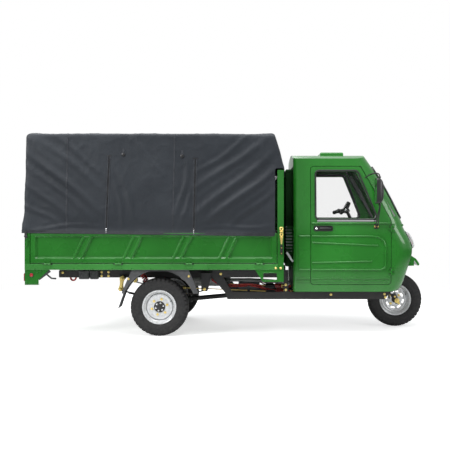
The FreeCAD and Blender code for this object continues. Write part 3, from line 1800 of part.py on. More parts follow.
def make_mirror(door):
    """The left mirror on its two stays and bracket, and the door's pull handle."""
    y = mirror_y
    x0 = mirror_rear_x
    middle = x0 + mirror_depth / 2
    half = mirror_half_width
    head = box(x0, x0 + mirror_depth, y - half, y + half, mirror_bottom_z, mirror_top_z)
    head = head.makeFillet(mirror_edge, head.Edges)
    upper = rod(
        [
            V(x0 - 83, door_top_half - 14, mirror_top_z + 6),
            V(x0 - 10, door_top_half + 78, mirror_top_z + 46),
            V(middle, y, mirror_top_z + 31),
            V(middle, y, mirror_top_z - 29),
        ],
        mirror_tube_radius,
    )
    lower = rod(
        [
            V(x0 + 23, door_belt_half - 10, mirror_bracket_z + 22),
            V(x0 + 23, door_belt_half + 38, mirror_bracket_z + 40),
            V(middle, y - 20, mirror_bottom_z - 39),
            V(middle, y, mirror_bottom_z + 21),
        ],
        mirror_tube_radius,
    )
    bracket_y = door_belt_half - 8
    bracket = box(x0, x0 + mirror_bracket_width, bracket_y, bracket_y + 14, mirror_bracket_z,
                  mirror_bracket_z + mirror_bracket_width)
    pull_y = door_belt_half - 2
    pull_stop = pull_y + handle_stand_out + 2
    handle_top_z = handle_bottom_z + handle_height
    pull = box(handle_rear_x, handle_front_x, pull_y, pull_stop, handle_bottom_z, handle_top_z)
    pull = pull.makeFillet(handle_edge, [e for e in pull.Edges if e.BoundBox.YMin > pull_y + 1])
    return [fuse([head, upper, lower, bracket]).cut(door), pull.cut(door)]


def make_tow_eye():
    """The towing eye under the rear crossmember."""
    x = high_crossmember_xs[-1]
    half = tow_eye_thickness / 2
    wall = tow_eye_wall
    outer = tow_eye_radius + wall
    z = rail_high_z - outer
    eye = cylinder(V(x, -half, z), along_y, tow_eye_thickness, outer)
    stem = box(x - wall, x + wall, -half, half, z, rail_high_z + crossmember_step)
    bore = cylinder(V(x, -half, z), along_y, tow_eye_thickness, tow_eye_radius)
    return fuse([eye, stem]).cut(bore)


def make_tail_lamp():
    """The left tail lamp behind the corner plate, and the round side reflector."""
    plate = bed_half_width - corner_plate_set_in
    lamp_y = plate - corner_plate_thickness - 20
    low = tail_lamp_bottom_z
    high = low + tail_lamp_height
    lamp = box(bed_rear_x - tail_lamp_depth, bed_rear_x, lamp_y - tail_lamp_width, lamp_y, low, high)
    lamp = lamp.makeFillet(tail_lamp_edge, [e for e in lamp.Edges if e.BoundBox.XMax < bed_rear_x - 1])
    place = V(reflector_x, plate, reflector_z)
    return [lamp, cylinder(place, along_y, reflector_thickness, reflector_radius)]


def save(name, solids):
    """One STEP file for a node."""
    solids = solids if isinstance(solids, list) else [solids]
    kept = []
    for shape in solids:
        kept += shape.Solids
    for solid in kept:
        if not solid.isValid() or solid.Volume <= 0:
            print("bad solid in", name, solid.Volume)
    shape = kept[0] if len(kept) == 1 else Part.makeCompound(kept)
    shape.exportStep("parts/" + name + ".step")
    print(name, len(kept), round(shape.Volume / 1e6, 3))


def main():
    os.makedirs("parts", exist_ok=True)
    cab = make_cab()
    save("cab_roof", cab["roof"])
    save("cab_front", cab["front"])
    save("cab_back", cab["back"])
    save("cab_side_right", mirrored(cab["side"]))
    save("cab_side_left", cab["side"])
    save("cab_floor", make_cab_floor(cab))
    save("wheel_arch", make_wheel_arch())
    save("windscreen", cab["windscreen"])
    save("rear_window", cab["rear_glass"])
    save("headlamps", both(cab["headlamp"]))
    save("seat", make_seat())
    save("dashboard", make_dashboard())
    save("front_mudguard", make_front_mudguard())
    mirror = make_mirror(cab["door"])
    for side, place in (("left", lambda s: s), ("right", mirrored)):
        save("door_" + side, place(cab["door"]))
        save("door_glass_" + side, place(cab["door_glass"]))
        save("door_fittings_" + side, [place(s) for s in mirror])
        save("side_board_" + side, place(make_side_board()))
    save("tailgate", make_tailgate())
    save("bed_sills", make_bed_sills())
    save("bed_bearers", make_bed_bearers())
    save("bed_floor", make_bed_floor())
    corner = make_corner_post()
    save("corner_posts", [s for c in corner for s in both(c)])
    save("headboard", make_headboard())
    save("front_brackets", both(make_front_bracket()))
    save("board_latches", make_latches())
    save("canopy", make_canopy())
    save("canopy_roof_frame", make_canopy_roof_frame())
    save("canopy_legs", make_canopy_legs())
    save("frame_rails", make_frame_rails())
    save("frame_crossmembers", make_crossmembers())
    save("steering_head", make_steering_head())
    save("head_struts", make_head_struts())
    save("engine", make_engine())
    save("rear_axle", make_rear_axle())
    save("leaf_springs", both(make_leaf_spring()))
    save("spring_shackles", both(make_shackle()))
    save("shock_absorbers", both(make_shock()))
    save("rear_fenders", both(make_rear_fender()) + both(make_mud_flap()))
    save("tow_eye", make_tow_eye())
    lamps = make_tail_lamp()
    save("tail_lamps", [s for c in lamps for s in both(c)])
    save("front_fork", make_fork())
    save("handlebar", make_handlebar())
    save("front_tyre", make_tyre(front_axle_x, 0))
    save("front_rim", make_rim(front_axle_x, 0, -1, 8, False))
    for side, sign in (("left", 1), ("right", -1)):
        save("rear_tyre_" + side, make_tyre(rear_axle_x, sign * rear_wheel_y))
        save("rear_rim_" + side, make_rim(rear_axle_x, sign * rear_wheel_y, sign, 5, True))


main()
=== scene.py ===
import json
import math

import bmesh
import bpy
from mathutils import Matrix, Vector, noise
from mathutils.bvhtree import BVHTree


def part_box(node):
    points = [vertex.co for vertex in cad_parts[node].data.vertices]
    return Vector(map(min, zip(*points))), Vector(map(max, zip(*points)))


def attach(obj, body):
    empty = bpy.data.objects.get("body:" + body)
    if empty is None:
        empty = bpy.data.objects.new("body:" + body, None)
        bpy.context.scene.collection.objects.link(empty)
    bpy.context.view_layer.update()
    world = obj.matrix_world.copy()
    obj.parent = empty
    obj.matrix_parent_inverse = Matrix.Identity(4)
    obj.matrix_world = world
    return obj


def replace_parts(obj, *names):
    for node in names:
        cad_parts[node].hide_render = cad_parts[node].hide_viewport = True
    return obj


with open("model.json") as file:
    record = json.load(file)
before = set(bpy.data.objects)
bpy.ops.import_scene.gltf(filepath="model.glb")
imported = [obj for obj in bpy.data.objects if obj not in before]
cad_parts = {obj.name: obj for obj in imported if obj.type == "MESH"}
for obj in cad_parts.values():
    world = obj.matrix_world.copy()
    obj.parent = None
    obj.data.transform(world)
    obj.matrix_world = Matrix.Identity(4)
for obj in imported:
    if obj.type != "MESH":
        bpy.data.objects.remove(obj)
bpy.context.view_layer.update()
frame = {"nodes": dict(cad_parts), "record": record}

# A cargo auto rickshaw. Metres, X forward, Y to the left, Z up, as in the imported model.

nodes = frame["nodes"]
scene = bpy.context.scene

# The photograph's frame and the camera that fits it
image_size = 450
focal_pixels = 708.0
camera_distance = 7.5
camera_height = 1.202
camera_x = 0.255
centre_column = 257.0
horizon_row = 212.0
sensor_width = 36.0

# Light: how bright the world lights the object, how much of the white surround and of the
# floor shines in gloss, and the floor's lift
world_strength = 0.26
gloss_share = 0.45
floor_gloss = 0.12
floor_lift = 0.6


def sum_node(operation):
    """A Socket's method that adds a Math node to it and another value."""
    def method(self, other=0.0):
        return self.graph.node("ShaderNodeMath", {"operation": operation}, {0: self, 1: other})
    return method


class Socket:
    """A shader socket that takes part in Python sums, each one adding its Math node."""

    def __init__(self, graph, link):
        self.graph = graph
        self.link = link

    __add__ = sum_node("ADD")
    __mul__ = sum_node("MULTIPLY")
    __pow__ = sum_node("POWER")
    larger = sum_node("MAXIMUM")
    smaller = sum_node("MINIMUM")
    wave = sum_node("SINE")

    def ramp(self, low, high, start=0.0, stop=1.0):
        """The value carried from low..high to start..stop, with soft ends."""
        settings = {"interpolation_type": "SMOOTHSTEP"}
        return self.graph.node("ShaderNodeMapRange", settings, {0: self, 1: low, 2: high, 3: start, 4: stop})


class Graph:
    """The nodes of a new material, or of the world when that is given."""

    def __init__(self, name, world=None):
        self.owner = world or bpy.data.materials.new(name)
        self.owner.use_nodes = True
        self.tree = self.owner.node_tree
        self.tree.nodes.clear()
        self.place = self.node("ShaderNodeTexCoord", output="Object")
        split = self.node("ShaderNodeSeparateXYZ", inputs={0: self.place})
        outputs = split.link.node.outputs
        self.x, self.y, self.z = (Socket(self, outputs[i]) for i in range(3))

    def node(self, kind, settings=None, inputs=None, output=0):
        """A node of a type, with its settings, and values or links for its sockets."""
        made = self.tree.nodes.new(kind)
        for key, value in (settings or {}).items():
            setattr(made, key, value)
        for key, value in (inputs or {}).items():
            if isinstance(value, Socket):
                self.tree.links.new(value.link, made.inputs[key])
            else:
                made.inputs[key].default_value = value
        return Socket(self, made.outputs[output]) if len(made.outputs) else None

    def noise(self, scale, detail=3.0, roughness=0.55, where=None):
        inputs = {"Vector": where or self.place, "Scale": scale, "Detail": detail, "Roughness": roughness}
        return self.node("ShaderNodeTexNoise", inputs=inputs, output="Fac")

    def cells(self, scale, feature="F1"):
        inputs = {"Vector": self.place, "Scale": scale}
        return self.node("ShaderNodeTexVoronoi", {"feature": feature}, inputs, "Distance")

    def stretched(self, x, y, z):
        """The place with each axis scaled, for grain that runs one way."""
        return self.node("ShaderNodeMapping", inputs={"Vector": self.place, "Scale": (x, y, z)})

    def mix(self, share, a, b):
        """Colour a going to colour b."""
        inputs = {0: share}
        for index, colour in ((6, a), (7, b)):
            inputs[index] = colour if isinstance(colour, Socket) else (*colour, 1.0)
        return self.node("ShaderNodeMix", {"data_type": "RGBA"}, inputs, 2)

    def bump(self, height, strength, distance, under=None):
        inputs = {"Height": height, "Strength": strength, "Distance": distance}
        if under is not None:
            inputs["Normal"] = under
        return self.node("ShaderNodeBump", inputs=inputs)

    def white_rays(self, gloss):
        """1 where the camera looks, directly or through glass, and a given share in reflections."""
        camera, through, glossy = (self.node("ShaderNodeLightPath", output="Is %s Ray" % kind)
                                   for kind in ("Camera", "Transmission", "Glossy"))
        return camera.larger(through).larger(glossy * gloss)

    def finish(self, **sockets):
        """The Principled shader with its sockets, underscores standing for spaces in their names."""
        inputs = {}
        for key, value in sockets.items():
            name = key.replace("_", " ")
            if isinstance(value, tuple) and len(value) == 3:
                value = (*value, 1.0)
            inputs[name] = value
        shader = self.node("ShaderNodeBsdfPrincipled", inputs=inputs)
        self.node("ShaderNodeOutputMaterial", inputs={"Surface": shader})
        return self.owner


def green_paint(name="green_paint", tone=(0.014, 0.15, 0.013), coat=0.45, rough=0.25, specular=0.3):
    """Glossy enamel with a faint orange peel, a little uneven in tone."""
    graph = Graph(name)
    broad = graph.noise(1.7, 2.0)
    deep = tuple(c * 0.86 for c in tone)
    light = tuple(min(1.0, c * 1.12 + 0.004) for c in tone)
    base = graph.mix(broad.ramp(0.3, 0.7), deep, light)
    peel = graph.bump(graph.noise(30.0, 1.0), 0.006, 0.0002)
    rough = graph.noise(4.0, 2.0).ramp(0.3, 0.7, rough, rough + 0.06)
    return graph.finish(Base_Color=base, Roughness=rough, Normal=peel, Coat_Weight=coat, Coat_Roughness=0.08,
                        Specular_IOR_Level=specular)


def black_paint():
    """Chassis black: satin, dusty towards the road."""
    graph = Graph("black_paint")
    dust = graph.z.ramp(0.2, 0.7, 1.0, 0.0) * graph.noise(9.0, 5.0, 0.65).ramp(0.35, 0.75)
    speck = graph.noise(60.0, 4.0)
    base = graph.mix(speck, (0.01, 0.01, 0.011), (0.022, 0.022, 0.023))
    base = graph.mix(dust * 0.1, base, (0.16, 0.14, 0.11))
    rough = speck.ramp(0.2, 0.8, 0.38, 0.55) + dust * 0.15
    return graph.finish(Base_Color=base, Roughness=rough, Normal=graph.bump(graph.noise(240.0), 0.1, 0.0008))


def tarpaulin():
    """Coated canvas: dark slate with a fine plain weave, faintly rubbed in places."""
    graph = Graph("tarpaulin")
    threads = 900.0
    across = (graph.x * threads).wave() * (graph.z * threads).wave()
    over = (graph.y * threads).wave() * (graph.x * threads).wave()
    weave = across * 0.5 + over * 0.5
    broad = graph.noise(2.2, 4.0, 0.55)
    mottle = graph.noise(70.0, 4.0)
    base = graph.mix(broad.ramp(0.35, 0.7), (0.016, 0.02, 0.026), (0.023, 0.028, 0.035))
    base = graph.mix(mottle.ramp(0.5, 0.8) * 0.15, base, (0.06, 0.068, 0.08))
    streaks = graph.noise(1.0, 4.0, 0.6, where=graph.stretched(3.0, 3.0, 30.0))
    pucker = graph.bump(graph.noise(26.0, 5.0) * 0.7 + streaks * 0.3, 0.34, 0.004)
    rough = mottle.ramp(0.2, 0.8, 0.54, 0.64)
    return graph.finish(Base_Color=base, Roughness=rough, Normal=graph.bump(weave, 0.2, 0.0005, pucker),
                        Sheen_Weight=0.06, Sheen_Roughness=0.5, Specular_IOR_Level=0.34)


def tyre_rubber():
    """Black rubber, greyed by dust in patches."""
    graph = Graph("tyre_rubber")
    grime = graph.noise(34.0, 6.0, 0.65)
    base = graph.mix(grime.ramp(0.3, 0.8), (0.014, 0.014, 0.015), (0.036, 0.035, 0.034))
    fine = graph.noise(320.0, 3.0)
    return graph.finish(Base_Color=base, Roughness=grime.ramp(0.2, 0.9, 0.62, 0.82),
                        Normal=graph.bump(fine, 0.14, 0.0009), Specular_IOR_Level=0.35)


def painted_silver():
    """The wheels' bright silver enamel with brake dust in patches."""
    graph = Graph("wheel_silver")
    mottle = graph.noise(48.0, 4.0)
    base = graph.mix(mottle.ramp(0.3, 0.7), (0.6, 0.61, 0.62), (0.74, 0.75, 0.76))
    grime = graph.noise(13.0, 5.0).ramp(0.5, 0.8)
    base = graph.mix(grime * 0.18, base, (0.25, 0.23, 0.2))
    return graph.finish(Base_Color=base, Roughness=mottle.ramp(0.2, 0.8, 0.26, 0.4), Metallic=0.35,
                        Normal=graph.bump(graph.noise(300.0), 0.04, 0.0006))


def plated(name, low, high, rough):
    """Plated steel with a slightly uneven bloom."""
    graph = Graph(name)
    bloom = graph.noise(90.0, 3.0)
    base = graph.mix(bloom, low, high)
    rough = bloom.ramp(0.2, 0.8, rough * 0.8, rough * 1.4)
    return graph.finish(Base_Color=base, Metallic=1.0, Roughness=rough,
                        Normal=graph.bump(graph.noise(420.0), 0.05, 0.0004))


def plastic(name, tone, rough, grain=650.0):
    """Moulded plastic with a fine leathery grain."""
    graph = Graph(name)
    shade = graph.noise(14.0, 4.0)
    paler = tuple(min(1.0, c * 1.5 + 0.006) for c in tone)
    base = graph.mix(shade.ramp(0.35, 0.8), tone, paler)
    pits = graph.cells(grain)
    return graph.finish(Base_Color=base, Roughness=shade.ramp(0.2, 0.8, rough * 0.85, rough * 1.2),
                        Normal=graph.bump(pits, 0.16, 0.0006))


def clear_glass():
    """Thin tinted glass, mostly see-through, with a faint smear."""
    graph = Graph("clear_glass")
    smear = graph.noise(5.0, 5.0, 0.7)
    graph.owner.surface_render_method = "BLENDED"
    return graph.finish(Base_Color=(0.14, 0.16, 0.15), Roughness=smear.ramp(0.3, 0.9, 0.02, 0.07), Alpha=0.04,
                        Specular_IOR_Level=0.7, IOR=1.5)


def lens(name, tone, alpha=1.0):
    """A moulded lamp lens with upright flutes."""
    graph = Graph(name)
    flutes = 180.0
    flute = (graph.y * flutes + graph.x * flutes).wave()
    mottle = graph.noise(30.0, 3.0)
    darker = tuple(c * 0.8 for c in tone)
    base = graph.mix(mottle.ramp(0.3, 0.7), darker, tone)
    return graph.finish(Base_Color=base, Roughness=mottle.ramp(0.2, 0.8, 0.12, 0.18), Alpha=alpha,
                        Normal=graph.bump(flute, 0.25, 0.001), Coat_Weight=0.6, Coat_Roughness=0.04)


def vinyl():
    """Seat vinyl with a creased leather grain."""
    graph = Graph("seat_vinyl")
    grain = graph.cells(260.0, feature="DISTANCE_TO_EDGE")
    worn = graph.noise(9.0, 5.0)
    base = graph.mix(worn.ramp(0.4, 0.8), (0.014, 0.014, 0.015), (0.034, 0.033, 0.032))
    return graph.finish(Base_Color=base, Roughness=worn.ramp(0.2, 0.8, 0.36, 0.52),
                        Normal=graph.bump(grain.smaller(0.25), 0.35, 0.0012))


def cast_alloy():
    """Sand-cast alloy, grimy in patches."""
    graph = Graph("engine_alloy")
    sand = graph.noise(180.0, 5.0, 0.7)
    grime = graph.noise(8.0, 5.0).ramp(0.4, 0.75)
    base = graph.mix(sand, (0.26, 0.26, 0.26), (0.42, 0.42, 0.42))
    base = graph.mix(grime * 0.6, base, (0.05, 0.045, 0.04))
    return graph.finish(Base_Color=base, Metallic=0.7, Roughness=sand.ramp(0.2, 0.8, 0.42, 0.62),
                        Normal=graph.bump(sand, 0.3, 0.0012))


def oiled_steel():
    """Dark spring steel with scale."""
    graph = Graph("spring_steel")
    scale = graph.noise(70.0, 5.0, 0.65)
    base = graph.mix(scale.ramp(0.3, 0.75), (0.016, 0.015, 0.015), (0.05, 0.042, 0.036))
    return graph.finish(Base_Color=base, Metallic=0.6, Roughness=scale.ramp(0.2, 0.8, 0.4, 0.66),
                        Normal=graph.bump(scale, 0.22, 0.001))


def woven(name, low, high):
    """Woven webbing or binding tape."""
    graph = Graph(name)
    threads = 1400.0
    weave = (graph.x * threads).wave() + (graph.z * threads).wave() * (graph.y * threads).wave()
    fade = graph.noise(20.0, 4.0)
    base = graph.mix(fade.ramp(0.3, 0.8), low, high)
    return graph.finish(Base_Color=base, Roughness=fade.ramp(0.2, 0.8, 0.55, 0.75),
                        Normal=graph.bump(weave, 0.3, 0.0006), Specular_IOR_Level=0.3)


materials = {
    "green_paint": green_paint(),
    "cab_green": green_paint("cab_green", (0.019, 0.192, 0.018)),
    "black_paint": black_paint(),
    "canvas": tarpaulin(),
    "tarp_thread": woven("tarp_thread", (0.026, 0.029, 0.035), (0.05, 0.055, 0.064)),
    "tarp_binding": woven("tarp_binding", (0.018, 0.02, 0.024), (0.034, 0.038, 0.044)),
    "tyre_rubber": tyre_rubber(),
    "wheel_silver": painted_silver(),
    "zinc": plated("yellow_zinc", (0.8, 0.58, 0.14), (0.95, 0.8, 0.34), 0.38),
    "chrome": plated("bright_steel", (0.62, 0.63, 0.65), (0.86, 0.87, 0.88), 0.12),
    "clear_glass": clear_glass(),
    "lamp_lens": lens("lamp_lens", (0.86, 0.88, 0.9), alpha=0.55),
    "seat_vinyl": vinyl(),
    "black_plastic": plastic("black_plastic", (0.014, 0.014, 0.015), 0.34),
    "grey_plastic": plastic("grey_plastic", (0.06, 0.061, 0.064), 0.55),
    "red_paint": green_paint("red_paint", (0.4, 0.02, 0.016)),
    "engine_alloy": cast_alloy(),
    "tail_red": lens("tail_red", (0.42, 0.012, 0.01)),
    "amber_lens": lens("amber_lens", (0.62, 0.16, 0.01)),
    "mirror_glass": plated("mirror_glass", (0.74, 0.77, 0.8), (0.82, 0.85, 0.88), 0.04),
    "pale_trim": plastic("pale_trim", (0.42, 0.43, 0.44), 0.5),
    "bright_red": green_paint("bright_red", (0.62, 0.02, 0.014)),
    "copper": plated("copper", (0.55, 0.3, 0.18), (0.7, 0.42, 0.28), 0.3),
    "pillar_grey": plastic("pillar_grey", (0.2, 0.2, 0.2), 0.6),
    "dark_lining": plastic("dark_lining", (0.03, 0.03, 0.032), 0.8, 900.0),
    # the cab's green painted near-black and matt: painted shade for the rear wall in the gap behind the cab
    "shade_green": green_paint("shade_green", (0.005, 0.034, 0.006), 0.0, 0.6, 0.1),
    "duct_grey": plastic("duct_grey", (0.3, 0.29, 0.32), 0.5),
    # the bed's green painted lighter for the sills: painted light, as on a face turned up towards the lamps
    "sill_green_painted_light": green_paint("sill_green_painted_light", (0.04, 0.215, 0.038)),
    "spring_steel": oiled_steel(),
}


# Nodes whose paint differs a little from their slot's: the cab's back darker as painted shade, the bed's
# sills lighter as painted light
own_finish = {"cab_back": "shade_green", "bed_sills": "sill_green_painted_light"}
own_finish.update(dict.fromkeys(("cab_roof", "cab_front", "cab_side_right", "cab_side_left", "door_right",
                                 "door_left", "front_mudguard"), "cab_green"))


def dress_frame():
    """Gives every CAD node the finish of its record slot."""
    slots = {row["node"]: row["material_slot"] for row in frame["record"]["subparts"]}
    for name, piece in nodes.items():
        piece.data.materials.clear()
        piece.data.materials.append(materials[own_finish.get(name, slots[name])])


def set_camera():
    """A level camera from the right, its frame shifted as the photograph's is."""
    data = bpy.data.cameras.new("camera")
    data.sensor_width = sensor_width
    data.lens = focal_pixels * sensor_width / image_size
    data.shift_x = (image_size / 2 - centre_column) / image_size
    data.shift_y = (horizon_row - image_size / 2) / image_size
    camera = bpy.data.objects.new("camera", data)
    camera.location = (camera_x, -camera_distance, camera_height)
    camera.rotation_euler = (math.pi / 2, 0.0, 0.0)
    scene.collection.objects.link(camera)
    scene.camera = camera


def area_lamp(name, place, aim, size, power):
    """A soft rectangular lamp that looks at a place."""
    data = bpy.data.lights.new(name, "AREA")
    data.shape = "RECTANGLE"
    data.size, data.size_y = size
    data.energy = power
    lamp = bpy.data.objects.new(name, data)
    lamp.location = place
    lamp.rotation_euler = (Vector(aim) - Vector(place)).to_track_quat("-Z", "Y").to_euler()
    scene.collection.objects.link(lamp)


def set_studio():
    """A white surround for the camera, dimmer light from all round, and soft lamps above and in front."""
    scene.view_settings.view_transform = "Standard"
    graph = Graph("studio", bpy.data.worlds.new("studio"))
    sky = (0.93, 0.96, 1.0, 1.0)
    dim = graph.node("ShaderNodeBackground", inputs={"Color": sky, "Strength": world_strength})
    white = graph.node("ShaderNodeBackground", inputs={"Color": (1.0, 1.0, 1.0, 1.0)})
    mix = graph.node("ShaderNodeMixShader", inputs={0: graph.white_rays(gloss_share), 1: dim, 2: white})
    graph.node("ShaderNodeOutputWorld", inputs={"Surface": mix})
    scene.world = graph.owner
    area_lamp("top", (-0.6, -1.2, 5.5), (0.0, 0.0, 1.0), (6.5, 3.5), 420.0)
    area_lamp("key", (-5.2, -4.0, 3.8), (-0.3, 0.0, 0.9), (2.2, 1.4), 250.0)
    area_lamp("front_fill", (5.5, -3.0, 2.6), (0.9, 0.0, 0.9), (2.0, 2.0), 80.0)
    area_lamp("back", (-1.5, 6.0, 4.2), (0.0, 0.0, 1.0), (5.0, 2.5), 190.0)


def make_floor():
    """A pale floor that keeps the object's shadow nearby and fades into the white surround further out."""
    graph = Graph("studio_floor")
    distance = (graph.x * graph.x + graph.y * graph.y) ** 0.5
    far = distance.ramp(2.6, 5.2)
    tone = graph.noise(2.0).ramp(0.2, 0.8, 0.985, 1.0)
    near_base = graph.mix(tone, (0.8, 0.8, 0.8), (0.82, 0.82, 0.82))
    base = graph.mix(far, near_base, (0.0, 0.0, 0.0))
    lift = graph.mix(far, (floor_lift,) * 3, (1.0, 1.0, 1.0))
    glow = graph.mix(graph.white_rays(floor_gloss), (0.0, 0.0, 0.0), lift)
    graph.finish(Base_Color=base, Roughness=0.9, Specular_IOR_Level=0.0, Emission_Color=glow,
                 Emission_Strength=1.0)
    mesh = bpy.data.meshes.new("studio_floor")
    reach = 40.0
    corners = [(-reach, -reach, 0), (reach, -reach, 0), (reach, reach, 0), (-reach, reach, 0)]
    mesh.from_pydata(corners, [], [(0, 1, 2, 3)])
    mesh.materials.append(graph.owner)
    floor = bpy.data.objects.new("studio_floor", mesh)
    scene.collection.objects.link(floor)


def spread(low, high, count):
    """Evenly spaced values from low to high."""
    return [low + (high - low) * i / (count - 1) for i in range(count)]


def link_piece(name, mesh, finish, body):
    """A finished mesh as a piece that rides on a body."""
    piece = bpy.data.objects.new(name, mesh)
    mesh.materials.clear()
    mesh.materials.append(materials[finish])
    scene.collection.objects.link(piece)
    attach(piece, body)
    return piece


def apply_modifiers(piece):
    """Turns the piece's modifiers into mesh."""
    graph = bpy.context.evaluated_depsgraph_get()
    mesh = bpy.data.meshes.new_from_object(piece.evaluated_get(graph))
    piece.modifiers.clear()
    piece.data = mesh


def subdivide(piece):
    """One level of smoothing, turned into mesh."""
    smooth = piece.modifiers.new("smooth", "SUBSURF")
    smooth.levels = smooth.render_levels = 1
    apply_modifiers(piece)


def run_cloth(piece, frames, gravity, **settings):
    """Makes a piece cloth and runs it from frame to frame."""
    cloth = piece.modifiers.new("cloth", "CLOTH")
    for key, value in settings.items():
        setattr(cloth.settings, key, value)
    cloth.settings.effector_weights.gravity = gravity
    cloth.collision_settings.use_collision = False
    cloth.point_cache.frame_start = 1
    cloth.point_cache.frame_end = frames
    for frame_number in range(1, frames + 1):
        scene.frame_set(frame_number)


def smooth_by_angle(mesh, degrees):
    """Smooth shading that keeps edges sharper than an angle."""
    mesh.polygons.foreach_set("use_smooth", [True] * len(mesh.polygons))
    mesh.set_sharp_from_angle(angle=math.radians(degrees))


class Shape:
    """Collects the solids of one piece and turns them into a mesh."""

    def __init__(self):
        self.mesh = bmesh.new()

    def turn_to(self, place, axis):
        """A matrix whose Z runs along the axis and whose X leans upwards."""
        up = Vector((0.0, 0.0, 1.0))
        z = Vector(axis).normalized()
        x = up - z * up.dot(z)
        if x.length < 1e-4:
            x = Vector((1.0, 0.0, 0.0)) - z * z.x
        x.normalize()
        y = z.cross(x)
        turn = Matrix((x, y, z)).transposed().to_4x4()
        return Matrix.Translation(place) @ turn

    def block(self, centre, size, round_off=0.003, turn=None):
        """A block with bevelled edges and corners."""
        half = Vector(size) / 2
        r = min(round_off, min(half) * 0.8)
        place = Matrix.Translation(centre)
        if turn is not None:
            place = place @ turn.to_4x4()
        signs = [(x, y, z) for x in (-1, 1) for y in (-1, 1) for z in (-1, 1)]
        corner = {}
        for sign in signs:
            for axis in range(3):
                at = Vector(sign[i] * (half[i] if i == axis else half[i] - r) for i in range(3))
                corner[sign, axis] = self.mesh.verts.new(place @ at)
        for axis in range(3):
            b, c = (axis + 1) % 3, (axis + 2) % 3
            for side in (-1, 1):
                ring = []
                for sb, sc in ((-1, -1), (1, -1), (1, 1), (-1, 1)):
                    sign = [0, 0, 0]
                    sign[axis], sign[b], sign[c] = side, sb, sc
                    ring.append(corner[tuple(sign), axis])
                self.mesh.faces.new(ring if side > 0 else ring[::-1])
            for sb in (-1, 1):
                for sc in (-1, 1):
                    low, high = [0, 0, 0], [0, 0, 0]
                    low[axis], high[axis] = -1, 1
                    low[b] = high[b] = sb
                    low[c] = high[c] = sc
                    ring = [corner[tuple(low), b], corner[tuple(high), b], corner[tuple(high), c],
                            corner[tuple(low), c]]
                    self.mesh.faces.new(ring if sb * sc > 0 else ring[::-1])
        for sign in signs:
            ring = [corner[sign, i] for i in range(3)]
            self.mesh.faces.new(ring if sign[0] * sign[1] * sign[2] > 0 else ring[::-1])

    def span(self, one, other, round_off=0.003):
        """A block between any two opposite corners."""
        low, high = (Vector(map(pick, one, other)) for pick in (min, max))
        self.block((low + high) / 2, high - low, round_off)

    def lathe(self, profile, place, axis, segments, closed=False):
        """Turns a line of (along, radius) pairs round an axis; a radius of 0 closes it in a point."""
        matrix = self.turn_to(place, axis)
        rings = []
        for along, radius in profile:
            if radius < 1e-6:
                rings.append([self.mesh.verts.new(matrix @ Vector((0.0, 0.0, along)))])
                continue
            ring = []
            for i in range(segments):
                a = 2 * math.pi * i / segments
                flat = (radius * math.cos(a), radius * math.sin(a), along)
                ring.append(self.mesh.verts.new(matrix @ Vector(flat)))
            rings.append(ring)
        if closed:
            rings.append(rings[0])
        self.join_rings(rings)

    def join_rings(self, rings):
        """Faces between each ring and the next; a ring of one point closes in it."""
        for a, b in zip(rings, rings[1:]):
            count = max(len(a), len(b))
            for i in range(count):
                j = (i + 1) % count
                corners = [a[i % len(a)], a[j % len(a)], b[j % len(b)], b[i % len(b)]]
                unique = list(dict.fromkeys(corners))
                if len(unique) > 2:
                    self.mesh.faces.new(unique)

    def close_rings(self, rings, round_trip=False):
        """Joins the rings, and the last one to the first or else both to a lid."""
        if round_trip:
            rings.append(rings[0])
        self.join_rings(rings)
        if not round_trip:
            self.mesh.faces.new(list(reversed(rings[0])))
            self.mesh.faces.new(rings[-1])

    def close_sheet(self, fronts, backs):
        """A closed sheet from the rows of its front and of its back."""
        for rows, flip in ((fronts, False), (backs, True)):
            for low, high in zip(rows, rows[1:]):
                for i in range(len(low) - 1):
                    ring = [low[i], low[i + 1], high[i + 1], high[i]]
                    self.mesh.faces.new(ring[::-1] if flip else ring)
        for i in range(len(fronts[0]) - 1):
            self.mesh.faces.new([fronts[0][i + 1], fronts[0][i], backs[0][i], backs[0][i + 1]])
            self.mesh.faces.new([fronts[-1][i], fronts[-1][i + 1], backs[-1][i + 1], backs[-1][i]])
        for j in range(len(fronts) - 1):
            self.mesh.faces.new([fronts[j][0], fronts[j + 1][0], backs[j + 1][0], backs[j][0]])
            self.mesh.faces.new([fronts[j + 1][-1], fronts[j][-1], backs[j][-1], backs[j + 1][-1]])

    def drum(self, place, axis, length, radius, round_off=0.002, segments=24):
        """A closed round bar that starts at a place, with rounded ends."""
        r = min(round_off, radius * 0.9, length * 0.49)
        near = [(0.0, 0.0), (0.0, radius - r), (r * 0.3, radius - r * 0.3), (r, radius)]
        far = [(length - along, rad) for along, rad in reversed(near)]
        self.lathe(near + far, place, axis, segments)

    def bolt(self, place, axis, across, height, nut=False):
        """A hexagon head on its washer, with the thread's end where it is a nut."""
        axis = Vector(axis).normalized()
        base = Vector(place)
        self.drum(base, axis, height * 0.25, across * 0.85, height * 0.08, 20)
        base = base + axis * height * 0.25
        r = across / 2 / math.cos(math.pi / 6)
        head = [(0.0, 0.0), (0.0, r), (height * 0.78, r), (height, r * 0.86), (height, 0.0)]
        self.lathe(head, base, axis, 6)
        if nut:
            self.drum(base + axis * height * 0.8, axis, height * 0.7, across * 0.27, height * 0.1, 12)

    def frames(self, points, closed=False):
        """A steady cross frame along a line of points."""
        count = len(points)
        tangents = []
        for i in range(count):
            if closed:
                step = points[(i + 1) % count] - points[i - 1]
            else:
                step = points[min(i + 1, count - 1)] - points[max(i - 1, 0)]
            tangents.append(step.normalized())
        side = tangents[0].orthogonal().normalized()
        result = []
        for tangent in tangents:
            side = (side - tangent * side.dot(tangent)).normalized()
            result.append((side, tangent.cross(side)))
        return result

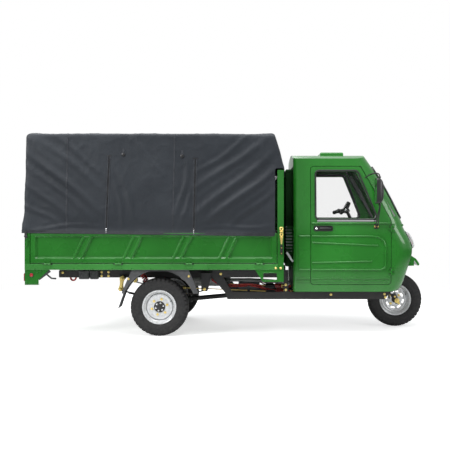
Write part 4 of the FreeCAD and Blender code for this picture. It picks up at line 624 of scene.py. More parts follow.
    def pipe(self, points, radius, segments=12, closed=False):
        """A round tube along points."""
        points = [Vector(p) for p in points]
        rings = []
        for (a, b), point in zip(self.frames(points, closed), points):
            ring = []
            for i in range(segments):
                turn = 2 * math.pi * i / segments
                place = point + a * radius * math.cos(turn) + b * radius * math.sin(turn)
                ring.append(self.mesh.verts.new(place))
            rings.append(ring)
        self.close_rings(rings, closed)

    def strip(self, line, width, thickness, closed=False):
        """A flat band along (point, normal) pairs, its back on the points."""
        points = [Vector(p) for p, _ in line]
        count = len(points)
        rings = []
        for i, (point, normal) in enumerate(line):
            if closed:
                along = points[(i + 1) % count] - points[i - 1]
            else:
                along = points[min(i + 1, count - 1)] - points[max(i - 1, 0)]
            normal = Vector(normal).normalized()
            across = along.normalized().cross(normal).normalized()
            point = Vector(point)
            edge = thickness * 0.35
            half = width / 2
            outline = [(-half, 0.0), (-half, edge), (-half + edge, thickness), (half - edge, thickness),
                       (half, edge), (half, 0.0)]
            rings.append([self.mesh.verts.new(point + across * a + normal * b) for a, b in outline])
        self.close_rings(rings, closed)

    def plate(self, outline, place, thickness, round_off=0.0015):
        """A flat plate: 2D outline points, a matrix, and a thickness along its Z, with a soft upper edge."""
        levels = [(0.0, 0.0), (thickness - round_off, 0.0), (thickness, round_off)]
        middle = Vector((sum(p[0] for p in outline) / len(outline),
                         sum(p[1] for p in outline) / len(outline)))
        rings = []
        for height, inset in levels:
            ring = []
            for point in outline:
                flat = Vector(point)
                flat = flat + (middle - flat).normalized() * inset
                ring.append(self.mesh.verts.new(place @ Vector((flat.x, flat.y, height))))
            rings.append(ring)
        self.close_rings(rings)

    def finish(self, name, finish, body="chassis", slot=None, angle=35.0, weighted=False):
        """The collected solids as a piece."""
        mesh = bpy.data.meshes.new(name)
        bmesh.ops.recalc_face_normals(self.mesh, faces=self.mesh.faces[:])
        self.mesh.to_mesh(mesh)
        self.mesh.free()
        piece = link_piece(name, mesh, finish, body)
        smooth_by_angle(piece.data, angle)
        if weighted:
            piece.modifiers.new("shade", "WEIGHTED_NORMAL").keep_sharp = True
            apply_modifiers(piece)
        return piece


def shapes(count):
    """A number of empty shapes."""
    return [Shape() for _ in range(count)]


def facing(place, outward):
    """A matrix whose Z looks outward, whose Y leans upwards and whose X runs along the surface."""
    z = Vector(outward).normalized()
    x = Vector((0.0, 0.0, 1.0)).cross(z).normalized()
    turn = Matrix((x, z.cross(x), z)).transposed().to_4x4()
    return Matrix.Translation(place) @ turn


def curve_points(points, steps):
    """A smooth open line through points, as a Catmull-Rom curve."""
    points = [Vector(p) for p in points]
    padded = points[:1] + points + points[-1:]
    result = []
    for a, b, c, d in zip(padded, padded[1:], padded[2:], padded[3:]):
        for step in range(steps):
            t = step / steps
            result.append(0.5 * (2 * b + (c - a) * t + (2 * a - 5 * b + 4 * c - d) * t * t
                                 + (3 * b - a - 3 * c + d) * t ** 3))
    return result + points[-1:]


def rounded_box(low_a, low_b, high_a, high_b, radius, steps=5):
    """A rectangle's outline with round corners."""
    corners = ((low_a, low_b), (high_a, low_b), (high_a, high_b), (low_a, high_b))
    return rounded_outline([(*corner, radius) for corner in corners], steps)


def rounded_outline(corners, steps=5):
    """A closed 2D outline of corners (a, b, radius) with round corners."""
    result = []
    count = len(corners)
    for i, (a, b, radius) in enumerate(corners):
        here = Vector((a, b))
        before = (Vector(corners[i - 1][:2]) - here).normalized()
        after = (Vector(corners[(i + 1) % count][:2]) - here).normalized()
        if radius < 1e-6:
            result.append(here)
            continue
        half = before.angle(after) / 2
        reach = radius / math.tan(half)
        centre = here + (before + after).normalized() * radius / math.sin(half)
        start = here + before * reach - centre
        stop = here + after * reach - centre
        turn = start.angle_signed(stop)
        for step in range(steps + 1):
            swing = -turn * step / steps
            result.append(centre + Vector((start.x * math.cos(swing) - start.y * math.sin(swing),
                                           start.x * math.sin(swing) + start.y * math.cos(swing))))
    return result


# Tarpaulin

hem_rear_z = 1.0
hem_front_z = 0.968
tarp_half = 0.73
tarp_top = 1.962
tarp_edge = 0.05
tarp_cell = 0.03
flap_x = 0.517
front_break_z = 1.64
front_top_set_back = 0.092
rear_lean = 0.022
zip_lines = (((-1.161, 1.725), (-1.19, 1.03)), ((-0.335, 1.699), (-0.351, 1.01)))
panel_seams = (((-0.534, 1.955), (-0.553, 0.985)), ((-1.56, 1.955), (-1.572, 1.01)))
button_places = ((-1.026, 1.752), (-0.462, 1.737))
# The hem's folded bands: how high they sit, their width and their depth
hem_bands = ((0.016, 0.03, 0.003), (0.006, 0.013, 0.005))
strap_x = -1.954
tarp_rear_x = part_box("canopy")[0].x


def hem_z(x):
    """The hem's height at a place along the vehicle."""
    return hem_rear_z + (hem_front_z - hem_rear_z) * (x - tarp_rear_x) / (flap_x - tarp_rear_x)


def tarp_lattice():
    """The tarpaulin's sewn shape: even cells over the roof, both sides, the rear and the front flap."""
    base = 1.0
    start = Vector((tarp_rear_x, -tarp_half, base))
    size = Vector((flap_x - tarp_rear_x, 2 * tarp_half, tarp_top - base))
    counts = [round(side / tarp_cell) for side in size]
    nx, ny, nz = counts
    post_column = int((0.449 - tarp_rear_x) / (size.x / nx))
    post_row = math.ceil((1.605 - base) / (size.z / nz))
    flap_row = math.ceil((1.52 - base) / (size.z / nz))
    mesh = bmesh.new()
    points = {}

    def point(i, j, k):
        if (i, j, k) not in points:
            raw = Vector((start.x + size.x * i / nx, start.y + size.y * j / ny, start.z + size.z * k / nz))
            inner = Vector((min(max(raw.x, start.x + tarp_edge), flap_x - tarp_edge * 0.4),
                            min(max(raw.y, -tarp_half + tarp_edge), tarp_half - tarp_edge),
                            min(raw.z, tarp_top - tarp_edge)))
            away = raw - inner
            if away.length > 1e-6:
                reach = tarp_edge if away.x <= 0 or abs(away.y) > 1e-6 or away.z > 1e-6 else away.length
                away = away.normalized() * min(reach, away.length)
            at = inner + away
            u = (raw.x - start.x) / size.x
            rise = max(0.0, min(1.0, (at.z - front_break_z) / (tarp_top - front_break_z)))
            at.x -= front_top_set_back * rise * max(0.0, (u - 0.55) / 0.45)
            at.x += rear_lean * (raw.z - base) / size.z * (1 - u)
            at.z += (hem_z(raw.x) - base) * (1 - (raw.z - base) / size.z)
            tail = max(0.0, 1 - 12 * u) * max(0.0, 1 - abs(raw.z - 1.05) / 0.16)
            at.x -= 0.02 * tail * tail * (3 - 2 * tail)
            if k == nz:
                at.z += 0.008 * (1 - (raw.y / tarp_half) ** 2)
            points[i, j, k] = mesh.verts.new(at)
        return points[i, j, k]

    def face(*corners):
        mesh.faces.new([point(*c) for c in corners])

    for i in range(nx):
        for k in range(nz):
            if i >= post_column and k < post_row:
                continue
            face((i, 0, k), (i + 1, 0, k), (i + 1, 0, k + 1), (i, 0, k + 1))
            face((i, ny, k), (i, ny, k + 1), (i + 1, ny, k + 1), (i + 1, ny, k))
        for j in range(ny):
            face((i, j, nz), (i + 1, j, nz), (i + 1, j + 1, nz), (i, j + 1, nz))
    for j in range(ny):
        for k in range(nz):
            face((0, j, k), (0, j, k + 1), (0, j + 1, k + 1), (0, j + 1, k))
            if k >= flap_row:
                face((nx, j, k), (nx, j + 1, k), (nx, j + 1, k + 1), (nx, j, k + 1))
    mesh.verts.index_update()
    pins = []
    bow_xs = hoop_xs()
    for (i, j, k), vert in points.items():
        on_roof = k == nz and tarp_edge < vert.co.y + tarp_half < 2 * tarp_half - tarp_edge
        near_bow = min(abs(vert.co.x - x) for x in bow_xs) < tarp_cell * 0.55
        near_bar = min(abs(vert.co.y - y) for y in (-0.42, 0.0, 0.42)) < tarp_cell * 0.55
        at_front = i == nx or (i == post_column and k <= post_row)
        along_seam = (j in (0, ny) and (k == nz or i == 0)) or (i == 0 and k == nz)
        if k == 0 or at_front or along_seam or (on_roof and (near_bow or near_bar)):
            pins.append(vert.index)
    return mesh, pins


def hoop_xs():
    """The bows' places along the vehicle, from the roof frame's ends."""
    low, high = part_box("canopy_roof_frame")
    half_tube = 0.0125
    return spread(low.x + half_tube, high.x - half_tube, 5)


def slack_cut(at):
    """Where a point of the cloth lies when it is cut: a little larger, and askew beside the zips."""
    rear_zip, front_zip = zip_lines[0][0][0], zip_lines[1][0][0]
    drop = tarp_top - at.z
    place = at.copy()
    if abs(at.y) > tarp_half - tarp_edge:
        if at.x < rear_zip:
            lean = 0.034 * math.sin(math.pi * (at.x - tarp_rear_x) / (rear_zip - tarp_rear_x)) + 0.006
        elif at.x > front_zip:
            lean = -0.034 * math.sin(math.pi * (at.x - front_zip) / (flap_x - front_zip)) - 0.006
        else:
            lean = 0.012 * math.sin(2 * math.pi * (at.x - rear_zip) / (front_zip - rear_zip))
        place.x -= lean * drop
        place.z -= 0.006 * drop
    place.x *= 1.005
    place.y *= 1.002
    return place


def drape(mesh, pins):
    """Runs the cloth until it lies still and returns the draped mesh."""
    data = bpy.data.meshes.new("tarp_cloth")
    mesh.to_mesh(data)
    mesh.free()
    cloth = bpy.data.objects.new("tarp_cloth", data)
    scene.collection.objects.link(cloth)
    cloth.shape_key_add(name="hung")
    cut = cloth.shape_key_add(name="cut")
    for i, vert in enumerate(data.vertices):
        cut.data[i].co = slack_cut(vert.co)
    cloth.vertex_groups.new(name="held").add(pins, 1.0, "REPLACE")
    run_cloth(cloth, 34, gravity=0.5, vertex_group_mass="held", rest_shape_key=cut, quality=6, mass=0.35,
              tension_stiffness=25.0, compression_stiffness=25.0, shear_stiffness=12.0, bending_stiffness=3.0,
              tension_damping=12.0, compression_damping=12.0, shear_damping=12.0, air_damping=4.0)
    view = bpy.context.evaluated_depsgraph_get()
    draped = bpy.data.meshes.new_from_object(cloth.evaluated_get(view))
    bpy.data.objects.remove(cloth)
    scene.frame_set(1)
    return draped


def make_tarp():
    mesh, pins = tarp_lattice()
    draped = drape(mesh, pins)
    tarp = link_piece("tarpaulin", draped, "canvas", "chassis")
    subdivide(tarp)
    crumple(tarp.data)
    smooth_by_angle(tarp.data, 80.0)
    return tarp


# Folds pulled across the side cloth: from (x, z) to (x, z), how far they stand out, and how wide they are
side_folds = (
    ((-1.95, 1.8), (-1.23, 1.18), 0.012, 0.045), ((-1.93, 1.66), (-1.32, 1.13), 0.01, 0.038),
    ((-1.94, 1.48), (-1.48, 1.09), 0.008, 0.034), ((-1.86, 1.93), (-1.2, 1.4), 0.009, 0.04),
    ((-1.7, 1.94), (-1.19, 1.56), 0.006, 0.03), ((-1.96, 1.28), (-1.6, 1.06), 0.008, 0.03),
    ((0.4, 1.78), (-0.31, 1.18), 0.012, 0.045), ((0.42, 1.62), (-0.2, 1.11), 0.01, 0.038),
    ((0.36, 1.93), (-0.32, 1.42), 0.009, 0.04), ((0.43, 1.43), (0.0, 1.06), 0.008, 0.034),
    ((0.2, 1.94), (-0.33, 1.58), 0.006, 0.03), ((-1.12, 1.7), (-0.9, 1.15), 0.007, 0.036),
    ((-1.11, 1.5), (-1.02, 1.06), 0.006, 0.026), ((-0.4, 1.68), (-0.52, 1.15), 0.007, 0.03),
    ((-0.39, 1.43), (-0.48, 1.05), 0.005, 0.024), ((-0.96, 1.9), (-0.62, 1.56), 0.005, 0.032),
    ((-1.9, 1.045), (-1.25, 1.075), 0.007, 0.02), ((-0.26, 1.04), (0.38, 1.08), 0.007, 0.02),
)


def fold_rise(x, z):
    """How far the side folds lift the cloth at a place; each is a soft ridge that fades at both ends."""
    rise = 0.0
    for (x0, z0), (x1, z1), height, width in side_folds:
        run_x, run_z = x1 - x0, z1 - z0
        length = math.hypot(run_x, run_z)
        along = ((x - x0) * run_x + (z - z0) * run_z) / length ** 2
        if not -0.05 < along < 1.05:
            continue
        wave = 0.018 * math.sin(along * 5.0 + x0 * 9.0)
        off = ((x - x0) * run_z - (z - z0) * run_x) / length - wave
        fade = math.sin(math.pi * min(1.0, max(0.0, (along + 0.05) / 1.1))) ** 0.6
        share = abs(off) / width
        if share < 3.0:
            valley = math.exp(-((abs(off) - width * 1.3) / width) ** 2 * 2.0)
            rise += height * fade * (math.exp(-share * share * 2.2) - 0.45 * valley)
    return rise


def crumple(mesh):
    """The long pulled folds, and small creases and puckers left by folding and by the seams."""
    normals = [v.normal.copy() for v in mesh.vertices]
    for vert, normal in zip(mesh.vertices, normals):
        at = vert.co
        fold = noise.noise(at * 5.0 + Vector((3.0, 0.0, 0.0)))
        fine = noise.noise(Vector((at.x * 22.0, at.y * 22.0, at.z * 12.0)))
        crease = 1.0 - abs(noise.noise(at * 7.5 + Vector((0.0, 9.0, 0.0)))) * 6.0
        lift = fold * 0.004 + fine * 0.0012 + max(0.0, crease) * 0.0022
        if abs(normal.y) > 0.5:
            lift += fold_rise(at.x, at.z) * abs(normal.y)
        vert.co = at + normal * lift


tarp = make_tarp()
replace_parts(tarp, "canopy")


class Skin:
    """Finds places on a finished surface by looking at it along an axis."""

    def __init__(self, *pieces):
        verts, faces = [], []
        for piece in pieces:
            mesh = piece.data
            start = len(verts)
            verts += [piece.matrix_world @ v.co for v in mesh.vertices]
            faces += [[start + i for i in p.vertices] for p in mesh.polygons]
        self.tree = BVHTree.FromPolygons(verts, faces)

    def look(self, start, direction):
        """The first place hit and the normal there, turned to the viewer."""
        direction = Vector(direction).normalized()
        place, normal, _, _ = self.tree.ray_cast(Vector(start), direction)
        if place is None:
            return None
        return (place, normal if normal.dot(direction) < 0 else -normal)

    def side(self, x, z, side):
        return self.look((x, side * 2.0, z), (0.0, -side, 0.0))

    def end(self, y, z, way):
        """Seen from ahead for 1 and from behind for -1."""
        return self.look((way * 4.0, y, z), (-way, 0.0, 0.0))

    def sides(self, places, side):
        """What is hit at each (x, z), misses left out."""
        return [hit for hit in (self.side(*place, side) for place in places) if hit]

    def ends(self, places, way=1):
        """What is hit at each (y, z), misses left out."""
        return [hit for hit in (self.end(*place, way) for place in places) if hit]

    def top(self, x, y):
        return self.look((x, y, 4.0), (0.0, 0.0, -1.0))


def on_tarp_side(skin, start, stop, side, count=60):
    """A run down the side cloth, from (x, z) to (x, z)."""
    start, stop = Vector(start), Vector(stop)
    return skin.sides([start.lerp(stop, share) for share in spread(0.0, 1.0, count)], side)


def tarp_trim(tarp):
    """Seams, zips with their pullers, buttons, the hem and the tie straps."""
    skin = Skin(tarp)
    seams, zips, pullers, buttons, hem = shapes(5)
    for side in (-1, 1):
        for start, stop in panel_seams:
            stop = (stop[0], hem_z(stop[0]) + 0.012)
            line = on_tarp_side(skin, start, stop, side)
            seams.strip(line, 0.016, 0.0022)
            for shift in (-0.006, 0.006):
                stitches = on_tarp_side(skin, (start[0] + shift, start[1]),
                                        (stop[0] + shift, stop[1]), side, 150)
                for place, normal in stitches[::2]:
                    seams.block(place + normal * 0.0026, (0.0012, 0.0012, 0.004), 0.0005)
        for start, stop in zip_lines:
            stop = (stop[0], hem_z(stop[0]) + 0.02)
            for shift in (-0.0115, 0.0115):
                fly = on_tarp_side(skin, (start[0] + shift, start[1] + 0.01),
                                   (stop[0] + shift, stop[1] - 0.012), side, 90)
                seams.strip(fly, 0.012, 0.003)
            teeth = on_tarp_side(skin, start, stop, side, 90)
            zips.strip(teeth, 0.01, 0.0036)
            for place, normal in teeth:
                zips.block(place + normal * 0.0042, (0.007, 0.0024, 0.0032), 0.0008)
            head = on_tarp_side(skin, (start[0] - 0.022, start[1] + 0.014),
                                (start[0] + 0.022, start[1] + 0.014), side, 12)
            zips.strip(head, 0.012, 0.003)
            place, normal = teeth[-4]
            pullers.block(place + normal * 0.008, (0.013, 0.007, 0.02), 0.002)
            hang = place + normal * 0.011
            pullers.pipe([hang + Vector((0, 0, 0.004)), hang + Vector((0, side * 0.004, 0)),
                          hang + Vector((0, side * 0.003, -0.01))], 0.0016, 8)
            pullers.block(hang + Vector((0.0, side * 0.003, -0.026)), (0.01, 0.0022, 0.03), 0.001)
        for x, z in button_places:
            place, normal = skin.side(x, z, side)
            buttons.lathe([(0.0, 0.0), (0.0, 0.015), (0.003, 0.0175), (0.007, 0.016), (0.01, 0.009),
                           (0.0105, 0.0)], place, normal, 24)
            strap = on_tarp_side(skin, (x, z + 0.055), (x, z - 0.012), side, 12)
            seams.strip(strap, 0.022, 0.0024)
    # the rear cover's two zips and its seams
    for y in (-0.585, 0.585):
        line = [skin.end(y, z, -1) for z in spread(1.88, hem_rear_z + 0.02, 90)]
        zips.strip(line, 0.012, 0.0036)
        for place, normal in line:
            zips.block(place + normal * 0.0042, (0.0024, 0.007, 0.0032), 0.0008)
        for shift in (-0.012, 0.012):
            zips.strip([skin.end(y + shift, z, -1) for z in spread(1.89, hem_rear_z + 0.012, 60)], 0.014,
                       0.0026)
        place, normal = line[-5]
        pullers.block(place + normal * 0.008, (0.007, 0.013, 0.02), 0.002)
        pullers.block(place + normal * 0.012 + Vector((0.0, 0.0, -0.024)), (0.0022, 0.01, 0.03), 0.001)
    seams.strip([skin.end(y, 1.905, -1) for y in spread(-0.66, 0.66, 70)], 0.018, 0.0024)
    for x in (-1.35, -0.54, 0.2):
        seams.strip([skin.top(x, y) for y in spread(-0.66, 0.66, 70)], 0.018, 0.0022)
    for y in (-0.655, 0.655):
        seams.strip([skin.top(x, y) for x in spread(-1.94, 0.38, 120)], 0.014, 0.0022)
    # the hem's folded band, on three sides
    for side in (-1, 1):
        for lift, width, depth in hem_bands:
            places = [(x, hem_z(x) + lift) for x in spread(tarp_rear_x + 0.03, 0.415, 150)]
            hem.strip(skin.sides(places, side), width, depth)
    for lift, width, depth in hem_bands:
        hem.strip([skin.end(y, hem_rear_z + lift, -1) for y in spread(-0.7, 0.7, 90)], width, depth)
    straps = Shape()
    for side in (-1, 1):
        out, drop = side * 0.0065, 0.085
        top = skin.side(strap_x, hem_rear_z + 0.022, side)[0]
        line = [top + Vector(step) for step in ((0.0, out, 0.0), (-0.002, out * 1.3, -drop * 0.4),
                                                (0.002, out * 1.1, -drop * 0.8), (0.004, out, -drop))]
        points = curve_points(line, 6)
        straps.strip([(p, Vector((0.0, side, 0.0))) for p in points], 0.022, 0.0022)
        straps.block(points[len(points) // 2] + Vector((0.0, side * 0.003, 0.0)),
                     (0.03, 0.005, 0.016), 0.0015)
    return [piece.finish(name, finish) for piece, name, finish in ((seams, "tarp_seams", "tarp_thread"),
                                                                   (zips, "tarp_zips", "black_plastic"),
                                                                   (pullers, "tarp_pullers", "chrome"),
                                                                   (buttons, "tarp_buttons", "black_plastic"),
                                                                   (hem, "tarp_hem", "tarp_binding"),
                                                                   (straps, "tarp_straps", "black_plastic"))]


tarp_trim(tarp)
# Wheels

lug_count = 40
lug_depth = 0.0085
rim_flange_radius = 0.165
rim_half_width = 0.056

# One side of the tyre's section from bead to crown: half width, radius, and how deep the tread's grooves go
tyre_section = (
    (0.0552, 0.1515, 0.0), (0.0562, 0.158, 0.0), (0.057, 0.1665, 0.0), (0.0608, 0.1698, 0.0),
    (0.0632, 0.1722, 0.0), (0.064, 0.175, 0.0), (0.0634, 0.1768, 0.0), (0.0648, 0.1795, 0.0),
    (0.0676, 0.187, 0.0), (0.07, 0.196, 0.0), (0.0712, 0.203, 0.0), (0.0722, 0.204, 0.0),
    (0.0725, 0.207, 0.0), (0.0719, 0.2082, 0.0), (0.0722, 0.217, 0.0), (0.072, 0.229, 0.0),
    (0.071, 0.238, 0.0), (0.0712, 0.2392, 0.0), (0.0708, 0.242, 0.0), (0.0698, 0.2432, 0.0),
    (0.0694, 0.25, 0.15), (0.069, 0.253, 0.75), (0.0676, 0.258, 1.0), (0.065, 0.265, 1.0),
    (0.061, 0.2712, 1.0), (0.0555, 0.2752, 1.0), (0.046, 0.2784, 0.95), (0.037, 0.28, 0.9),
    (0.03, 0.2808, 0.9), (0.0285, 0.274, 0.0), (0.0225, 0.2742, 0.0), (0.0208, 0.2814, 0.35),
    (0.01, 0.2818, 0.0), (0.0, 0.282, 0.0),
)
lug_edges = (0.0, 0.04, 0.3, 0.34, 0.5, 0.54, 0.8, 0.84)


def groove_share(part, side):
    """1 in the gap between two shoulder lugs and 0 on a lug. The tyre's two sides are half a lug apart."""
    if side < 0:
        part = (part + 0.5) % 1.0
    return 1.0 if part > 0.83 or part < 1e-6 else 0.0


def make_tyre(name, node, body):
    """A tyre with its tread's lugs and grooves, sidewall lines and beads."""
    low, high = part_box(node)
    centre = (low + high) / 2
    left = [(y, r, depth, 1) for y, r, depth in tyre_section]
    right = [(-y, r, depth, -1) for y, r, depth in reversed(tyre_section[:-1])]
    section = left + right
    shape = Shape()
    rings = []
    columns = [(i + part) / lug_count for i in range(lug_count) for part in lug_edges]
    for column in columns:
        angle = 2 * math.pi * column
        part = column * lug_count % 1.0
        zigzag = 0.0022 * math.sin(2 * math.pi * part)
        ring = []
        for y, r, depth, side in section:
            sink = lug_depth * depth * groove_share(round(part, 4) % 1.0, side)
            pull = sink * 0.75 if r < 0.27 else sink
            shift = zigzag if abs(y) < 0.032 else 0.0
            squeeze = 1.0 - (sink * 0.55 / abs(y) if 0.25 < r < 0.276 and abs(y) > 0.05 else 0.0)
            radius = r - pull
            ring.append(shape.mesh.verts.new(centre + Vector((
                radius * math.sin(angle), y * squeeze + shift, radius * math.cos(angle)))))
        rings.append(ring)
    count = len(section)
    for a, b in zip(rings, rings[1:] + rings[:1]):
        for i in range(count - 1):
            shape.mesh.faces.new((a[i], a[i + 1], b[i + 1], b[i]))
    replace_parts(shape.finish(name, "tyre_rubber", body, angle=28.0), node)


def ring_wall(shape, centre, outward, pairs, windows=0, window_rows=()):
    """A turned sheet whose listed rows of faces are open over part of each of a number of pitches."""
    segments, duty = 96, 0.58
    rings = []
    for along, radius in pairs:
        ring = []
        for i in range(segments):
            a = 2 * math.pi * i / segments
            ring.append(shape.mesh.verts.new(centre + Vector((radius * math.sin(a), outward * along,
                                                              radius * math.cos(a)))))
        rings.append(ring)
    for row, (a, b) in enumerate(zip(rings, rings[1:])):
        for i in range(segments):
            part = (i + 0.5) / segments * windows % 1.0 if windows else 1.0
            if row in window_rows and part < duty:
                continue
            j = (i + 1) % segments
            shape.mesh.faces.new((a[i], a[j], b[j], b[i]))


def thicken(piece, depth):
    """Gives a sheet its thickness and softens it."""
    made = piece.modifiers.new("sheet", "SOLIDIFY")
    made.thickness = depth
    made.offset = 0.0
    subdivide(piece)
    smooth_by_angle(piece.data, 50.0)


def spoke(share):
    """The direction at a share of the way round the wheel."""
    a = 2 * math.pi * share
    return Vector((math.sin(a), 0.0, math.cos(a)))


def make_rim(name, node, body, outward, driven):
    """A pressed wheel: barrel, dished disc, hub, nuts and valve."""
    low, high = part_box(node)
    tyre_low, tyre_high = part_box(node.replace("rim", "tyre"))
    centre = Vector(((low.x + high.x) / 2, (tyre_low.y + tyre_high.y) / 2, (low.z + high.z) / 2))
    half = rim_half_width
    seat = rim_flange_radius - 0.015
    well = rim_flange_radius - 0.034
    shape = Shape()
    barrel = [(half + 0.0055, rim_flange_radius - 0.003), (half + 0.003, rim_flange_radius),
              (half, rim_flange_radius - 0.003), (half - 0.0015, seat + 0.002), (half - 0.006, seat - 0.0015),
              (half * 0.62, seat - 0.004), (half * 0.48, well + 0.002), (half * 0.36, well),
              (-half * 0.3, well), (-half * 0.48, well + 0.003), (-half * 0.62, seat - 0.004),
              (-half + 0.006, seat - 0.0015), (-half + 0.0015, seat + 0.002),
              (-half, rim_flange_radius - 0.003), (-half - 0.003, rim_flange_radius),
              (-half - 0.0055, rim_flange_radius - 0.003)]
    ring_wall(shape, centre, outward, barrel)
    thicken(shape.finish(name + "_barrel", "wheel_silver", body), 0.0035)

    disc = Shape()
    if driven:
        rows = [(0.02, 0.126), (0.027, 0.124), (0.031, 0.1205), (0.0315, 0.113), (0.0285, 0.104),
                (0.027, 0.094), (0.0275, 0.084), (0.03, 0.074), (0.03, 0.062), (0.027, 0.05), (0.025, 0.03)]
        ring_wall(disc, centre, outward, rows)
    else:
        rows = [(0.01, 0.126), (0.018, 0.123), (0.024, 0.118), (0.026, 0.112), (0.0245, 0.104),
                (0.019, 0.098), (0.017, 0.092), (0.017, 0.084), (0.019, 0.078), (0.024, 0.07), (0.026, 0.06),
                (0.026, 0.044), (0.03, 0.034), (0.03, 0.022)]
        ring_wall(disc, centre, outward, rows, 8, (5, 6, 7))
    plate = disc.finish(name + "_disc", "wheel_silver", body)
    thicken(plate, 0.004)
    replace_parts(plate, node)

    out = Vector((0.0, outward, 0.0))
    hub, nuts, steel = shapes(3)
    face = 0.03 if driven else 0.028
    if driven:
        hub.lathe([(0.01, 0.0), (0.01, 0.054), (face + 0.004, 0.054), (face + 0.0075, 0.0515),
                   (face + 0.0085, 0.047), (face + 0.007, 0.031), (face + 0.01, 0.028), (face + 0.02, 0.0255),
                   (face + 0.0225, 0.021), (face + 0.023, 0.0)], centre, out, 48)
        hub.lathe([(-0.04, 0.0), (-0.04, 0.1), (-0.034, 0.104), (0.01, 0.104), (0.014, 0.099), (0.014, 0.0)],
                  centre, out, 64)
        for i in range(6):
            ray = spoke((i + 0.25) / 6)
            steel.bolt(centre + ray * 0.0395 + out * (face + 0.0065), out, 0.012, 0.006)
            nuts.bolt(centre + ray * 0.076 + out * face, out, 0.015, 0.009, nut=True)
    else:
        hub.lathe([(-0.046, 0.0), (-0.046, 0.052), (-0.02, 0.06), (0.004, 0.06), (0.026, 0.036),
                   (0.034, 0.034), (0.036, 0.022), (0.036, 0.0)], centre, out, 40)
        for i in range(4):
            nuts.bolt(centre + spoke((i + 0.5) / 4) * 0.06 + out * 0.0275, out, 0.015, 0.009, nut=True)
        for i in range(8):
            steel.drum(centre + spoke(i / 8) * 0.1115 + out * 0.027, out, 0.003, 0.005, 0.0014, 12)
    hub.finish(name + "_hub", "black_paint", body)
    nuts.finish(name + "_nuts", "zinc", body)
    steel.finish(name + "_studs", "chrome", body)
    valve = Shape()
    ray = spoke(64 / 360)
    foot = centre + ray * (well + 0.001) + out * 0.022
    valve.pipe(curve_points([foot, foot - ray * 0.007 + out * 0.004, foot - ray * 0.009 + out * 0.022],
                            5), 0.0032, 10)
    valve.drum(foot - ray * 0.009 + out * 0.021, out, 0.014, 0.0046, 0.001, 12)
    valve.finish(name + "_valve", "black_plastic", body)


for place, body, outward, driven in (
    ("front", "front_wheel", -1, False),
    ("rear_left", "rear_wheel_left", 1, True),
    ("rear_right", "rear_wheel_right", -1, True),
):
    split = place.split("_")
    tyre_node = "_".join([split[0], "tyre"] + split[1:])
    rim_node = "_".join([split[0], "rim"] + split[1:])
    make_tyre(place + "_tread_tyre", tyre_node, body)
    make_rim(place + "_wheel", rim_node, body, outward, driven)


# Load bed

board_face_y = 0.728
sheet_depth = 0.0195
board_thickness = 0.0275
rib_half = 0.056
rib_lean = 0.1
rib_slope = 0.015
board_side_rail = 0.045
board_low_rail = 0.045
board_top_rail = 0.028
hinge_length = 0.06
hinge_z = 0.706
rib_xs = (-1.417, -0.938, -0.46, -0.02)
bed_rear_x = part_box("corner_posts")[0].x
bed_front_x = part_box("headboard")[1].x


def pressed_profile():
    """Across a stiffener, from left to right: (offset, share of the recess's depth)."""
    half, slope, edge, channel = rib_half, rib_slope, 0.015, 0.008
    inner = half - slope - edge
    left = [(-half, 1.0), (-half + slope * 0.25, 0.93), (-half + slope * 0.8, 0.16), (-half + slope, 0.08),
            (-half + slope + edge * 0.3, 0.04), (-inner - 0.002, 0.05), (-inner, 0.09),
            (-inner + channel * 0.75, 0.52), (-inner + channel, 0.56)]
    return left + [(-a, share) for a, share in reversed(left)]


def pressed_board(length, height, rib_centres, lean, turn):
    """A dropside board as one closed pressed sheet: X along, Z up, its outer face at Y = 0, looking to -Y."""
    left, right = board_side_rail, length - board_side_rail
    low, top = board_low_rail, height - board_top_rail
    slope = 0.013
    columns = [(0.0, 0.0, 0.0), (0.004, 0.0, 0.0), (left - 0.004, 0.0, 0.0), (left, 0.06, 0.0)]
    columns += [(left + slope * 0.8, 0.92, 0.0), (left + slope, 1.0, 0.0), (left + slope + 0.02, 1.0, 0.0)]
    for centre in rib_centres:
        columns += [(centre + a, share, 1.0) for a, share in pressed_profile()]
    columns += [(right - slope - 0.02, 1.0, 0.0), (right - slope, 1.0, 0.0), (right - slope * 0.8, 0.92, 0.0)]
    columns += [(right, 0.06, 0.0), (right + 0.004, 0.0, 0.0), (length - 0.004, 0.0, 0.0), (length, 0.0, 0.0)]
    rows = [(0.0, 0.0), (0.004, 0.0), (low - 0.004, 0.0), (low, 0.06), (low + slope * 0.8, 0.92),
            (low + slope, 1.0)]
    rows += [(z, 1.0) for z in spread(low + slope + 0.012, top - slope - 0.012, 7)]
    rows += [(top - slope, 1.0), (top - slope * 0.8, 0.92), (top, 0.06), (top + 0.004, 0.0)]
    rows += [(height - 0.004, 0.0), (height, 0.0)]
    shape = Shape()
    fronts, backs = [], []
    for z, row_share in rows:
        front, back = [], []
        tilt = (z - low) / (top - low) - 0.5
        for x, share, leans in columns:
            depth = sheet_depth * share * row_share
            rim = 0.003 if (z in (0.0, height) or x in (0.0, length)) else 0.0
            at_x = x + lean * leans * min(max(tilt, -0.5), 0.5)
            front.append(shape.mesh.verts.new(turn @ Vector((at_x, -depth - rim, z))))
            back.append(shape.mesh.verts.new(turn @ Vector((at_x, -board_thickness, z))))
        fronts.append(front)
        backs.append(back)
    shape.close_sheet(fronts, backs)
    return shape


def board_turn(start, along, outward):
    """Puts a board's X along one direction and its outer face towards another."""
    up = Vector((0.0, 0.0, 1.0))
    turn = Matrix((Vector(along), Vector(outward), up)).transposed().to_4x4()
    return Matrix.Translation(start) @ turn


def hinge_places():
    """The hinges' places: along the side boards, and across the rear board."""
    low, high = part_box("side_board_right")
    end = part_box("tailgate")[1].y
    return spread(low.x + 0.165, high.x - 0.165, 4), spread(-end + 0.15, end - 0.15, 3)


